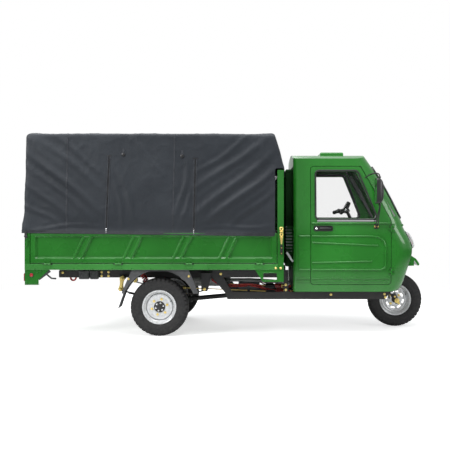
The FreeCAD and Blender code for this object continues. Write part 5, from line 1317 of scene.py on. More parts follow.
def hinge_leaf(shape, place, along, outward, length):
    """A hinge's upper half: its strap with two bolts and its knuckle round the pin's place."""
    along, outward = Vector(along), Vector(outward)
    up = Vector((0.0, 0.0, 1.0))
    turn = Matrix((along, outward, up)).transposed()
    face = place - outward * 0.009
    reach = 0.044
    middle = face + up * (0.01 + reach / 2) + outward * 0.0025
    shape.block(middle, (length, 0.005, reach), 0.0015, turn)
    for shift in (-0.3, 0.3):
        shape.bolt(middle + along * length * shift + outward * 0.0025, outward, 0.01, 0.004)
    third = length / 3
    shape.drum(place - along * (third / 2 - 0.0004), along, third - 0.0008, 0.0078, 0.0012, 20)
    shape.block(face + up * 0.006 + outward * 0.004, (third - 0.002, 0.007, 0.009), 0.001, turn)


def make_boards():
    """The two side boards and the rear board, each riding on its own hinge line."""
    side_xs, rear_ys = hinge_places()
    low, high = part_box("side_board_right")
    board_low = 0.712
    length = high.x - low.x
    height = high.z - board_low
    centres = [x - low.x for x in rib_xs]
    for side, name in ((-1, "right"), (1, "left")):
        start = Vector((low.x, side * board_face_y, board_low))
        board = pressed_board(length, height, centres, rib_lean, board_turn(start, (1, 0, 0), (0, side, 0)))
        for x in side_xs:
            hinge_leaf(board, Vector((x, side * 0.737, hinge_z)), (1, 0, 0), (0, side, 0), hinge_length)
        body = name + "_board"
        board = board.finish("dropside_" + name, "green_paint", body, angle=48.0, weighted=True)
        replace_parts(board, "side_board_" + name)
        studs = Shape()
        for x in centres:
            for shift in (-0.045, 0.045):
                place = start + Vector((x + shift - rib_lean / 2, 0, 0.016))
                studs.drum(place, (0, side, 0), 0.003, 0.006, 0.001, 14)
        studs.finish("dropside_rivets_" + name, "green_paint", body)
    gate_low, gate_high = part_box("tailgate")
    length = gate_high.y - gate_low.y
    step = (length - 2 * board_side_rail) / 3
    centres = [board_side_rail + step * (i + 1) for i in range(2)]
    start = Vector((bed_rear_x, gate_low.y, board_low))
    gate = pressed_board(length, height, centres, 0.0, board_turn(start, (0, 1, 0), (-1, 0, 0)))
    for y in rear_ys:
        hinge_leaf(gate, Vector((bed_rear_x - 0.009, y, hinge_z)), (0, 1, 0), (-1, 0, 0), hinge_length)
    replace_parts(gate.finish("dropside_rear", "green_paint", "rear_board", angle=48.0,
                            weighted=True), "tailgate")


def make_bed_trim():
    """What is fixed to the bed's frame: dark plates that paint the shade in the hinge slots, bolts, rivets
    and the rear struts.
    """
    side_xs, rear_ys = hinge_places()
    slots, lips, rivets, bolts, struts = shapes(5)
    front_x, rear_x = bed_front_x, bed_rear_x
    for side in (-1, 1):
        y = side * board_face_y
        # dark plates on the seam behind each hinge: painted shade standing for the slots
        for x in side_xs:
            slots.block((x, y - side * 0.0005, 0.7035), (0.094, 0.0024, 0.01), 0.0008)
            lips.block((x, y + side * 0.0014, 0.7165), (0.1, 0.005, 0.0034), 0.0012)
        # the post's two pale rivets and the row of rivets on the sill
        for shift in (0.052, 0.005):
            place = Vector((front_x - 0.024 - shift, y, 0.665))
            rivets.lathe([(0.0, 0.011), (0.003, 0.011), (0.006, 0.008), (0.0075, 0.0)], place,
                         (0, side, 0), 20)
        for x in spread(rear_x + 0.1, front_x - 0.35, 12):
            lips.lathe([(0.0, 0.006), (0.002, 0.0055), (0.0035, 0.0)], (x, y, 0.66), (0, side, 0), 12)
        plate_y = side * 0.722
        for x, z in ((rear_x + 0.018, 0.628), (rear_x + 0.118, 0.628), (rear_x + 0.018, 0.528),
                     (rear_x + 0.11, 0.528)):
            bolts.bolt((x, plate_y, z), (0, side, 0), 0.013, 0.006)
        # a pressed ledge across the corner plate, and its folded lower lip
        lips.strip([((x, plate_y, 0.64 - (x - rear_x - 0.095) * 0.12), (0, side, 0))
                    for x in spread(rear_x + 0.088, rear_x + 0.16, 6)], 0.012, 0.006)
        lips.block((rear_x + 0.07, plate_y - side * 0.001, 0.5105), (0.118, 0.008, 0.007), 0.002)
        # bead round the slotted front plate
        slot_x0, slot_x1 = front_x - 0.195, front_x - 0.066
        ring = rounded_box(slot_x0, 0.552, slot_x1, 0.618, 0.01, 4)
        middle = Vector(((slot_x0 + slot_x1) / 2, 0.585))
        around = [middle + (p - middle) * 1.05 for p in ring]
        lips.pipe([(p.x, plate_y, p.y) for p in around], 0.0035, 8, closed=True)
        # struts from the corner plate up to the rail
        struts.strip([((rear_x + 0.13, side * 0.712, 0.56), (0, side, 0)),
                      ((rear_x + 0.235, side * 0.7, 0.64), (0, side, 0))], 0.03, 0.004)
        struts.pipe([(rear_x + 0.155, side * 0.69, 0.64), (rear_x + 0.235, side * 0.65, 0.56),
                     (rear_x + 0.262, side * 0.6, 0.553)], 0.008, 10)
    # the rear board's hinge slots, also dark plates of painted shade
    for y in rear_ys:
        slots.block((rear_x - 0.0005, y, 0.7035), (0.0024, 0.094, 0.01), 0.0008)
    slots.finish("hinge_slot_shade", "black_paint")
    lips.finish("bed_pressings", "green_paint", angle=40.0)
    rivets.finish("post_rivets", "zinc")
    bolts.finish("corner_plate_bolts", "green_paint")
    struts.finish("corner_struts", "grey_plastic")


def make_latch_set():
    """The yellow latch on each front post, with two rings, hook and tail, and the plain rear latches."""
    latch, pads, rear = shapes(3)
    for side in (-1, 1):
        x = bed_front_x - 0.022
        y = side * (board_face_y + 0.002)
        out = Vector((0, side, 0))
        for z, r in ((1.04, 0.0195), (0.985, 0.018)):
            ring = [(0.0, r * 0.42), (0.0, r), (0.003, r * 1.03), (0.007, r * 0.98), (0.0095, r * 0.8),
                    (0.0095, r * 0.58), (0.007, r * 0.42)]
            latch.lathe(ring, (x, y, z), out, 32, closed=True)
        # the hook's two cheeks on their pins, between the rings and below them
        for shift in (-0.0105, 0.0105):
            latch.block((x + shift, y + side * 0.009, 1.012), (0.0045, 0.014, 0.044), 0.0012)
            latch.block((x + shift * 0.9, y + side * 0.008, 0.958), (0.0045, 0.014, 0.034), 0.0012)
        for z in (1.014, 0.962):
            latch.drum((x - 0.015, y + side * 0.01, z), (1, 0, 0), 0.03, 0.0046, 0.001, 14)
        tongue = [(-0.013, 0.0), (-0.011, -0.026), (-0.006, -0.062), (0.006, -0.062),
                  (0.011, -0.026), (0.013, 0.0)]
        latch.plate(tongue, facing((x, y, 0.956), out), 0.007, 0.001)
        pads.block((x, y - side * 0.001, 0.842), (0.023, 0.008, 0.094), 0.002)
        pads.block((x, y + side * 0.004, 0.876), (0.017, 0.008, 0.012), 0.001)
        for z in (0.806, 0.86):
            latch.bolt((x, y + side * 0.002, z), out, 0.009, 0.004)
        place = Vector((bed_rear_x + 0.024, side * (board_face_y + 0.0005), 0.915))
        rear.block(place + Vector((0, side * 0.003, 0)), (0.022, 0.006, 0.085), 0.002)
        rear.drum(place + Vector((0, side * 0.005, 0.03)), (0, side, 0), 0.009, 0.008, 0.001, 16)
        rear.block(place + Vector((0, side * 0.0085, -0.012)), (0.012, 0.006, 0.05), 0.0015)
    latch.finish("post_latches", "zinc")
    pads.finish("latch_pads", "black_plastic")
    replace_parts(rear.finish("rear_latches", "green_paint"), "board_latches")


def make_bed_lamps():
    """The round side reflectors and the tail lamps, with bezels, ribs and screws."""
    rear_x = bed_rear_x
    red, amber, white, rims = shapes(4)
    for side in (-1, 1):
        place = Vector((rear_x + 0.064, side * 0.722, 0.599))
        red.lathe([(0.0, 0.017), (0.004, 0.0165), (0.0058, 0.012), (0.0064, 0.0)], place, (0, side, 0), 36)
        rims.lathe([(0.0, 0.016), (0.0, 0.02), (0.005, 0.0195), (0.0062, 0.018), (0.005, 0.0165),
                    (0.003, 0.016)], place, (0, side, 0), 36, closed=True)
        low, high = 0.53, 0.62
        inner, outer = side * 0.528, side * 0.698
        rims.span((rear_x - 0.012, inner, low), (rear_x, outer, high), 0.006)
        for lens, a, b in ((red, 0.05, 0.4), (amber, 0.42, 0.7), (white, 0.72, 0.95)):
            y0 = outer + (inner - outer) * a
            y1 = outer + (inner - outer) * b
            lens.span((rear_x - 0.0205, y0, low + 0.007), (rear_x - 0.011, y1, high - 0.007), 0.004)
            for y in spread(min(y0, y1) + 0.006, max(y0, y1) - 0.006, 7):
                lens.block((rear_x - 0.0207, y, (low + high) / 2),
                           (0.0024, 0.0022, high - low - 0.024), 0.001)
        for y in (inner + side * 0.003, outer - side * 0.003):
            rims.drum((rear_x - 0.015, y, (low + high) / 2), (-1, 0, 0), 0.003, 0.004, 0.001, 12)
    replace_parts(red.finish("tail_lamp_red", "tail_red"), "tail_lamps")
    amber.finish("tail_lamp_amber", "amber_lens")
    white.finish("tail_lamp_clear", "lamp_lens")
    rims.finish("tail_lamp_cases", "black_plastic")


make_boards()
make_bed_trim()
make_latch_set()
make_bed_lamps()
# Cab

def node_skin(*names):
    """The skin of some CAD nodes together."""
    return Skin(*[nodes[name] for name in names])


def stepped(outline, step):
    """Places in even short steps along an outline, up to its last corner."""
    places = []
    for a, b in zip(outline, outline[1:]):
        count = max(1, int((b - a).length / step))
        places += [a.lerp(b, i / count) for i in range(count)]
    return places


def side_ring(skin, corners, side):
    """Places and normals round a closed outline on the side, from rounded (x, z, radius) corners."""
    outline = rounded_outline(corners, 7)
    return skin.sides(stepped(outline + outline[:1], 0.012), side)


def side_line(skin, side, *corners):
    """Places and normals along an open line on the side, through (x, z) corners."""
    outline = [Vector(c) for c in corners]
    return skin.sides(stepped(outline, 0.012) + outline[-1:], side)


def bead(shape, run, radius, sink, closed=False, segments=10):
    """A round bead that lies on a surface."""
    shape.pipe([p + n * radius * (1 - sink) for p, n in run], radius, segments, closed=closed)


door_outline = ((0.781, 0.495, 0.03), (1.561, 0.495, 0.03), (1.561, 1.125, 0.06), (1.268, 1.648, 0.03),
                (0.781, 1.648, 0.03))
window_outline = ((0.836, 1.14, 0.028), (1.424, 1.14, 0.028), (1.23, 1.598, 0.028), (0.836, 1.598, 0.028))


def grown(outline, amount):
    """A convex outline with every corner moved outwards."""
    middle = sum((Vector(c[:2]) for c in outline), Vector((0.0, 0.0))) / len(outline)
    result = []
    for a, b, r in outline:
        away = Vector((a, b)) - middle
        away = Vector((math.copysign(amount, away.x), math.copysign(amount, away.y)))
        result.append((a + away.x, b + away.y, r + amount))
    return result


def make_side_trim():
    """Door seals, window rubbers and their bright sill strips, pressed lines, locks and handles."""
    for side, name in ((-1, "right"), (1, "left")):
        body = name + "_door"
        door = node_skin("door_" + name)
        frame_trim, rubber, bright = shapes(3)
        # the window: a rubber round the glass, a silver strip and a wiped lip along its sill
        bead(rubber, side_ring(door, grown(window_outline, 0.01), side), 0.0085, 0.45,
             closed=True, segments=8)
        bright.strip(side_line(door, side, (0.842, 1.116), (1.424, 1.116)), 0.018, 0.007)
        rubber.strip(side_line(door, side, (0.845, 1.129), (1.42, 1.129)), 0.01, 0.01)
        # the belt ridge, two slanting creases, the soft edge of the raised panel and two lines below it
        for radius, sink, *line in (
            (0.01, 0.55, (0.79, 1.092), (1.548, 1.092)), (0.0075, 0.68, (0.792, 0.905), (1.434, 0.876)),
            (0.0075, 0.68, (0.792, 0.708), (1.376, 0.722)),
            (0.008, 0.62, (0.792, 0.64), (1.46, 0.64), (1.5, 0.66), (1.508, 0.7), (1.508, 0.87), (1.49, 0.92),
             (1.44, 0.958), (1.38, 0.968), (0.792, 0.968)),
            (0.007, 0.62, (0.795, 0.528), (1.545, 0.528)), (0.007, 0.62, (0.795, 0.556), (1.545, 0.556)),
        ):
            bead(frame_trim, side_line(door, side, *line), radius, sink)
        frame_trim.finish("door_pressings_" + name, "cab_green", body, angle=60.0)
        # the pull handle: a bowed grip in a dish, with its lock
        centre = door.side(0.89, 1.042, side)[0]
        grip = [Vector((x, centre.y + side * bow, 1.043)) for x, bow in
                ((0.862, 0.004), (0.872, 0.016), (0.9, 0.022), (0.94, 0.022), (0.966, 0.016), (0.976, 0.004))]
        handle = Shape()
        handle.pipe(curve_points(grip, 6), 0.0085, 14)
        dish = rounded_box(0.812, 1.02, 0.99, 1.064, 0.012)
        handle.pipe([p + n * 0.003 for p, n in door.sides(dish, side)], 0.0048, 10, closed=True)
        handle.span((0.818, centre.y - side * 0.002, 1.025), (0.984, centre.y + side * 0.005, 1.059), 0.003)
        handle.finish("door_handle_" + name, "black_plastic", body)
        lock = door.side(0.834, 1.042, side)
        barrel = [(0.0, 0.011), (0.006, 0.0105), (0.0075, 0.008), (0.006, 0.006), (0.006, 0.0)]
        bright.lathe(barrel, lock[0], (0, side, 0), 24)
        bright.block(lock[0] + Vector((0, side * 0.0062, 0)), (0.0016, 0.0016, 0.009), 0.0004)
        rubber.finish("window_rubber_" + name, "black_plastic", body)
        bright.finish("window_strip_" + name, "chrome", body)
        # the dark seal in the gap round the door
        seal = Shape()
        shell = node_skin("door_" + name, "cab_side_" + name, "cab_front", "cab_roof", "cab_floor")
        run = side_ring(shell, grown(door_outline, -0.006), side)
        seal.pipe([p - n * 0.02 for p, n in run], 0.0075, 8, closed=True)
        seal.finish("door_seal_" + name, "black_plastic")
        # behind the door: the same lines on the rear quarter
        quarter = Shape()
        cab_side = node_skin("cab_side_" + name)
        for x, z, radius in ((0.668, 0.64, 0.008), (0.668, 0.968, 0.008), (0.64, 0.528, 0.007),
                             (0.64, 0.556, 0.007)):
            bead(quarter, side_line(cab_side, side, (x, z), (0.772, z)), radius, 0.62)
        quarter.finish("quarter_pressings_" + name, "cab_green", angle=60.0)


def make_mirrors():
    """Mirror heads with shells, glass and ball joints, on bent stays with their brackets."""
    for side, name in ((-1, "right"), (1, "left")):
        body = name + "_door"
        shell, glass, bolts = shapes(3)
        x0, y = 1.395, side * 0.705
        low, high = 1.279, 1.529
        middle_z = (low + high) / 2
        front = rounded_box(-0.063, low + 0.002, 0.063, high - 0.002, 0.026, 6)
        rings = []
        centre = Vector((0.0, middle_z))
        for x, scale in ((x0, 0.93), (x0 + 0.0015, 0.985), (x0 + 0.006, 1.0), (x0 + 0.028, 0.985),
                         (x0 + 0.048, 0.9), (x0 + 0.062, 0.74), (x0 + 0.071, 0.5), (x0 + 0.0745, 0.22)):
            rings.append([shell.mesh.verts.new((x, y + p.x * scale, centre.y + (p.y - centre.y) * scale))
                          for p in front])
        shell.join_rings(rings)
        shell.mesh.faces.new(rings[-1])
        inner = [shell.mesh.verts.new((x0 + 0.006, v.co.y, v.co.z)) for v in rings[0]]
        shell.join_rings([inner, rings[0]])
        shell.mesh.faces.new(inner)
        face = [Vector((p.x * 0.92, centre.y + (p.y - centre.y) * 0.92)) for p in front]
        outline = [(p.x * (-side), p.y - centre.y) for p in face]
        glass.plate(outline, facing((x0 + 0.0055, y, centre.y), (-1, 0, 0)), 0.003, 0.0012)
        arm = [(x0 - 0.083, side * 0.56, 1.535), (x0 - 0.05, side * 0.6, 1.56),
               (x0 - 0.01, side * 0.65, 1.575), (x0 + 0.025, side * 0.692, 1.571), (x0 + 0.0375, y, 1.545),
               (x0 + 0.0375, y, 1.5)]
        shell.pipe(curve_points(arm, 6), 0.0068, 12)
        for shift in (0.0, 0.02):
            low_arm = [(x0 + 0.012 + shift, side * 0.596, 1.06), (x0 + 0.014 + shift, side * 0.64, 1.078),
                       (x0 + 0.02 + shift * 0.7, side * 0.672, 1.15),
                       (x0 + 0.0375 + shift * 0.3, side * 0.69, 1.24), (x0 + 0.0375, y, 1.3)]
            shell.pipe(curve_points(low_arm, 6), 0.0052, 10)
        for z, way in ((high - 0.004, 1), (low + 0.004, -1)):
            shell.lathe([(0.0, 0.0), (0.0, 0.01), (0.004, 0.012), (0.016, 0.012), (0.02, 0.009), (0.02, 0.0)],
                        (x0 + 0.0375, y, z), (0, 0, way), 20)
        door = node_skin("door_" + name)
        plate = door.side(x0 + 0.022, 1.062, side)[0]
        shell.block((plate.x, plate.y + side * 0.004, plate.z), (0.044, 0.012, 0.046), 0.004)
        for shift in (-0.014, 0.014):
            bolts.bolt((plate.x + shift, plate.y + side * 0.0098, plate.z), (0, side, 0), 0.011, 0.005)
        shell.finish("mirror_shell_" + name, "black_plastic", body, angle=40.0)
        glass.finish("mirror_glass_" + name, "mirror_glass", body)
        bolts.finish("mirror_bolts_" + name, "zinc", body)


lamp_corners = ((0.305, 0.863, 0.03), (0.485, 0.8425, 0.03), (0.505, 1.0075, 0.03), (0.325, 0.995, 0.03))
lamp_centre = Vector((0.405, 0.925))


def make_headlamps():
    """Each headlamp: a black surround, a reflector bowl and an amber side light under a domed clear cover."""
    bezel, bowl, amber, cover, bulb = shapes(5)
    front = node_skin("headlamps", "cab_front")
    outline = rounded_outline(lamp_corners, 7)
    for side in (-1, 1):
        rings = []
        for scale, lift in ((0.985, -0.002), (0.975, 0.008), (0.94, 0.013), (0.86, 0.0165), (0.66, 0.019),
                            (0.36, 0.02), (0.08, 0.0205)):
            ring = []
            for p in outline:
                at = lamp_centre + (p - lamp_centre) * scale
                hit = front.end(side * at.x, at.y, 1)
                ahead = Vector((0.72, side * 0.6, 0.3)).normalized()
                ring.append(cover.mesh.verts.new(hit[0] + ahead * lift))
            rings.append(ring)
        cover.join_rings(rings)
        cover.mesh.faces.new(rings[-1])
        around = [lamp_centre + (p - lamp_centre) * 1.01 for p in outline]
        bezel.pipe([front.end(side * p.x, p.y, 1)[0] for p in around], 0.006, 10, closed=True)
        for y, z, r, tone in ((0.368, 0.93, 0.048, bowl), (0.462, 0.905, 0.03, amber),
                              (0.462, 0.968, 0.022, amber)):
            place, normal = front.end(side * y, z, 1)
            tone.lathe([(0.0005, 0.0), (0.0008, r * 0.35), (0.0018, r * 0.62), (0.0034, r * 0.84),
                        (0.005, r * 0.96), (0.0058, r), (0.004, r * 1.06), (0.0, r * 1.08)],
                       place, normal, 40)
            bulb.lathe([(0.001, 0.008), (0.006, 0.008), (0.0085, 0.005), (0.009, 0.0)], place, normal, 20)
    bezel.finish("headlamp_bezels", "black_plastic")
    cover.finish("headlamp_covers", "lamp_lens", angle=60.0)
    bowl.finish("headlamp_bowls", "chrome")
    amber.finish("headlamp_turn_lights", "amber_lens")
    bulb.finish("headlamp_bulbs", "lamp_lens")


def make_front_trim():
    """The screen's rubber, the wiper, the nose's grille and its pressed lines."""
    skin = node_skin("cab_front", "cab_roof", "windscreen")
    rubber, metal, dark, green = shapes(4)
    sill_z = 1.15
    rubber.pipe([p + n * 0.004 for p, n in skin.ends(screen_outline())], 0.011, 10, closed=True)
    rubber.finish("screen_rubber", "black_plastic")
    # a single wiper with its pivot, arm and blade
    pivot = skin.end(0.06, sill_z - 0.045, 1)[0]
    cap = [(0.0, 0.0), (0.0, 0.017), (0.01, 0.016), (0.016, 0.012), (0.02, 0.0)]
    metal.lathe(cap, pivot, (1, 0, 0.3), 24)
    arm = []
    for t in spread(0.0, 1.0, 14):
        place, normal = skin.end(0.06 + t * 0.05, sill_z - 0.045 + t * 0.3, 1)
        arm.append(place + normal * (0.016 + 0.01 * math.sin(math.pi * t)))
    metal.pipe(arm, 0.0048, 8)
    metal.finish("wiper_arm", "black_paint")
    blade = skin.ends((0.11 + t * 0.42, sill_z + 0.25 - t * 0.2) for t in spread(-0.5, 0.5, 20))
    dark.strip([(p + n * 0.004, n) for p, n in blade], 0.009, 0.01)
    # the air grille across the nose: slats in a frame
    for z in spread(0.76, 0.84, 6):
        dark.strip(skin.ends((y, z) for y in spread(-0.215, 0.215, 24)), 0.008, 0.006)
    frame_run = skin.ends(rounded_box(-0.232, 0.742, 0.232, 0.858, 0.02))
    dark.pipe([p + n * 0.002 for p, n in frame_run], 0.006, 8, closed=True)
    dark.finish("nose_grille", "black_plastic")
    # pressed lines on the nose
    for z, half in ((1.072, 0.5), (0.7, 0.46)):
        bead(green, skin.ends((y, z) for y in spread(-half, half, 40)), 0.009, 0.6)
    green.finish("cab_pressings", "cab_green", angle=60.0)


def screen_outline():
    """The windscreen's outline from ahead."""
    corners = ((-0.492, 1.143, 0.066), (0.492, 1.143, 0.066), (0.437, 1.647, 0.066), (-0.437, 1.647, 0.066))
    outline = rounded_outline(corners, 7)
    return stepped(outline + outline[:1], 0.03)


def make_roof_vent_trim():
    """Slots in the roof's vent box."""
    slots = Shape()
    low_x, high_x, half = 0.908, 1.15, 0.18
    skin = node_skin("cab_roof")
    for x in spread(low_x + 0.04, high_x - 0.04, 6):
        slots.block((x, 0.0, skin.top(x, 0.0)[0].z), (0.01, half * 1.2, 0.003), 0.001)
    slots.finish("roof_vent_slots", "black_plastic")


def make_rear_wall():
    """On the cab's rear wall: the ribbed duct, its pale brace, the raised frame in painted shade and the
    window's rubber.
    """
    duct, brace, rubber, raised = shapes(4)
    low_z, high_z = 0.776, 1.063
    for z in spread(low_z + 0.012, high_z - 0.012, 10):
        duct.block((0.574, -0.455, z), (0.066, 0.084, 0.013), 0.004)
    duct.span((0.549, -0.488, low_z + 0.004), (0.611, -0.422, high_z - 0.004), 0.006)
    duct.finish("intake_duct", "duct_grey")
    brace.strip([((0.546, -0.56, 0.808), (0, -1, 0)), ((0.606, -0.56, 0.714), (0, -1, 0))], 0.02, 0.006)
    brace.finish("duct_brace", "pale_trim")
    box_low, box_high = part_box("rear_window")
    outline = rounded_box(box_low.y - 0.004, box_low.z - 0.004, box_high.y + 0.004,
                          box_high.z + 0.004, 0.045, 7)
    # the raised frame fills the gap behind the bed; its near-black green is painted shade
    face, wall, reach, bottom, top = 0.54, 0.614, 0.4, 0.655, 1.63
    low, high, margin = box_low.z - 0.03, box_high.z + 0.03, min(reach - 0.02, box_high.y + 0.022)
    raised.span((face, -reach, bottom), (wall, reach, low), 0.01)
    raised.span((face, -reach, high), (wall, reach, top), 0.01)
    for side in (-1, 1):
        raised.span((face, side * margin, low - 0.012), (wall, side * reach, high + 0.012), 0.008)
    for z in spread(bottom + 0.08, low - 0.08, 4):
        raised.block((face - 0.001, 0.0, z), (0.008, 2 * reach - 0.16, 0.018), 0.003)
    raised.finish("rear_wall_shade_frame", "shade_green")
    skin = node_skin("cab_back", "rear_window")
    rubber.pipe([hit[0] for hit in skin.ends(outline, -1)], 0.01, 10, closed=True)
    rubber.finish("rear_window_rubber", "black_plastic")


make_side_trim()
make_mirrors()
for door_name in ("left", "right"):
    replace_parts(bpy.data.objects["mirror_shell_" + door_name], "door_fittings_" + door_name)
make_headlamps()
make_front_trim()
make_roof_vent_trim()
make_rear_wall()
# Chassis

spring_y = 0.43
shock_foot = Vector((-0.735, 0.488, 0.336))
shock_head = Vector((-0.898, 0.488, 0.622))
shackle_top = Vector((-1.09, 0.0, 0.54))
shackle_low = Vector((-1.104, 0.0, 0.435))
rail_outer = 0.375
wheel_centre = Vector((-0.69, 0.0, 0.282))
# The steering axis: its rake, the directions along it and square to it, and its place near the front axle
rake = math.radians(26.0)
fork_up = Vector((-math.sin(rake), 0.0, math.cos(rake)))
fork_ahead = Vector((math.cos(rake), 0.0, math.sin(rake)))
fork_centre = Vector((1.708, 0.0, 0.282)) - fork_ahead * 0.043


def helix(start, stop):
    """A coil spring's line, its first and last turns lying flat."""
    radius, turns, steps, flat_ends = 0.0225, 8.5, 22, 0.75
    axis = (stop - start).normalized()
    side = axis.orthogonal().normalized()
    other = axis.cross(side)
    length = (stop - start).length
    points = []
    for i in range(int(turns * steps) + 1):
        t = i / steps
        inner = max(0.0, min(1.0, (t - flat_ends * 0.5) / (turns - flat_ends)))
        a = 2 * math.pi * t
        points.append(start + axis * inner * length + side * radius * math.cos(a)
                      + other * radius * math.sin(a))
    return points


def make_shocks():
    """Dampers with bright red coils between pressed seats, rubber eyes and bolts at both ends."""
    coil, body, rod, eyes, bolts = shapes(5)
    for side in (-1, 1):
        low, high = (Vector((p.x, side * p.y, p.z)) for p in (shock_foot, shock_head))
        run = high - low
        axis = run.normalized()
        body.lathe([(0.0, 0.0), (0.0, 0.013), (0.003, 0.0165), (0.085, 0.0165), (0.088, 0.019),
                    (0.096, 0.019), (0.1, 0.028), (0.104, 0.029), (0.106, 0.027), (0.106, 0.01)],
                   low + run * 0.04, axis, 28)
        rod.drum(low + run * 0.3, axis, run.length * 0.64, 0.0075, 0.001, 18)
        body.lathe([(0.0, 0.012), (0.0, 0.028), (0.004, 0.0295), (0.01, 0.026), (0.016, 0.018), (0.03, 0.016),
                    (0.032, 0.0)], low + run * 0.895, axis, 28)
        coil.pipe(helix(low + run * 0.365, low + run * 0.885), 0.0058, 12)
        for place in (low, high):
            eyes.lathe([(-0.016, 0.008), (-0.016, 0.017), (-0.013, 0.019), (0.013, 0.019), (0.016, 0.017),
                        (0.016, 0.008)], place, (0, 1, 0), 24, closed=True)
            bolts.bolt(place + Vector((0, side * 0.016, 0)), (0, side, 0), 0.017, 0.008, nut=True)
            bolts.drum(place + Vector((0, -side * 0.02, 0)), (0, side, 0), 0.04, 0.008, 0.001, 14)
        eyes.block(low + Vector((0.014, 0, -0.016)), (0.03, 0.026, 0.022), 0.003)
        eyes.block(high + Vector((0.0, 0, 0.014)), (0.036, 0.026, 0.022), 0.003)
    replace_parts(coil.finish("shock_coils", "bright_red"), "shock_absorbers")
    body.finish("shock_bodies", "black_paint")
    rod.finish("shock_rods", "chrome")
    eyes.finish("shock_eyes", "black_paint")
    bolts.finish("shock_bolts", "zinc")


def dog_bone(top, low, radius, waist):
    """A shackle plate's outline in the side view: two round eyes and a narrower web."""
    run = low - top
    length = run.length
    along = run / length
    across = Vector((along.y, -along.x))
    points = []
    for i in range(13):
        a = math.pi * (1.16 * (i / 12) - 0.58)
        points.append(top - along * radius * math.cos(a) + across * radius * math.sin(a))
    points.append(top + run * 0.35 + across * waist)
    points.append(top + run * 0.65 + across * waist)
    for i in range(13):
        a = math.pi * (0.58 - 1.16 * (i / 12))
        points.append(low + along * radius * math.cos(a) + across * radius * math.sin(a))
    points.append(top + run * 0.65 - across * waist)
    points.append(top + run * 0.35 - across * waist)
    return points


def make_shackles():
    """Zinc dog-bone plates on rubber bushes, with pins and yellow nuts, at the springs' rear."""
    plates, bushes, nuts = shapes(3)
    plate_thickness = 0.005
    top = Vector((shackle_top.x, shackle_top.z))
    low = Vector((shackle_low.x, shackle_low.z))
    for side in (-1, 1):
        for y in (spring_y - 0.0335, spring_y + 0.0285):
            place = Matrix.Translation((0.0, side * y, 0.0)) @ Matrix.Rotation(math.pi / 2, 4, "X")
            outline = [(p.x, p.y) for p in dog_bone(top, low, 0.0215, 0.0125)]
            shift = Matrix.Translation((0.0, 0.0, -plate_thickness / 2))
            plates.plate(outline, place @ shift, plate_thickness, 0.001)
        for pin in (top, low):
            at = Vector((pin.x, side * (spring_y - 0.04), pin.y))
            nuts.drum(at, (0, side, 0), 0.08, 0.0078, 0.001, 16)
            bushes.drum(Vector((pin.x, side * (spring_y - 0.025), pin.y)), (0, side, 0), 0.05,
                        0.0165, 0.002, 24)
            bushes.lathe([(0.0, 0.01), (0.0, 0.0155), (0.0028, 0.015), (0.003, 0.01)],
                         (pin.x, side * (spring_y + 0.0335), pin.y), (0, side, 0), 24, closed=True)
            nuts.bolt((pin.x, side * (spring_y + 0.0355), pin.y), (0, side, 0), 0.016, 0.008, nut=True)
            nuts.bolt((pin.x, side * (spring_y - 0.038), pin.y), (0, -side, 0), 0.016, 0.007)
        # the front eye's bolt
        nuts.bolt((-0.268, side * (spring_y + 0.036), 0.435), (0, side, 0), 0.018, 0.009, nut=True)
    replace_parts(plates.finish("shackle_plates", "zinc", angle=40.0), "spring_shackles")
    bushes.finish("shackle_bushes", "black_plastic")
    nuts.finish("shackle_nuts", "zinc")


def make_axle_fittings():
    """U-bolts over the springs, their plates and nuts, and the brake pipes along the axle."""
    bolts, plates, pipes = shapes(3)
    for side in (-1, 1):
        y = side * spring_y
        for shift in (-0.033, 0.033):
            x = wheel_centre.x + shift
            reach = 0.031
            top = 0.388
            points = [(x, y - reach, 0.226), (x, y - reach, top - 0.012), (x, y - reach * 0.7, top - 0.002),
                      (x, y, top), (x, y + reach * 0.7, top - 0.002), (x, y + reach, top - 0.012),
                      (x, y + reach, 0.226)]
            bolts.pipe(curve_points(points, 5), 0.0058, 10)
            for way in (-1, 1):
                bolts.bolt((x, y + way * reach, 0.236), (0, 0, -1), 0.017, 0.009)
        plates.block((wheel_centre.x, y, 0.2405), (0.1, 0.084, 0.008), 0.002)
        plates.block((wheel_centre.x, y, 0.3905), (0.07, 0.03, 0.006), 0.002)
        inner, outer = side * 0.16, side * 0.52
        line = [(-0.735, inner, 0.315), (-0.737, side * 0.24, 0.318), (-0.737, side * 0.36, 0.318),
                (-0.738, side * 0.46, 0.312), (-0.742, outer, 0.33)]
        pipes.pipe(curve_points(line, 6), 0.0032, 8)
        for y_clip in (0.24, 0.34):
            plates.block((-0.733, side * y_clip, 0.318), (0.012, 0.014, 0.014), 0.002)
    pipes.pipe(curve_points([(-0.735, -0.16, 0.315), (-0.75, -0.05, 0.42), (-0.75, 0.05, 0.42),
                             (-0.735, 0.16, 0.315)], 8), 0.0032, 8)
    bolts.finish("spring_u_bolts", "zinc")
    plates.finish("spring_plates", "black_paint")
    pipes.finish("axle_brake_pipes", "copper")


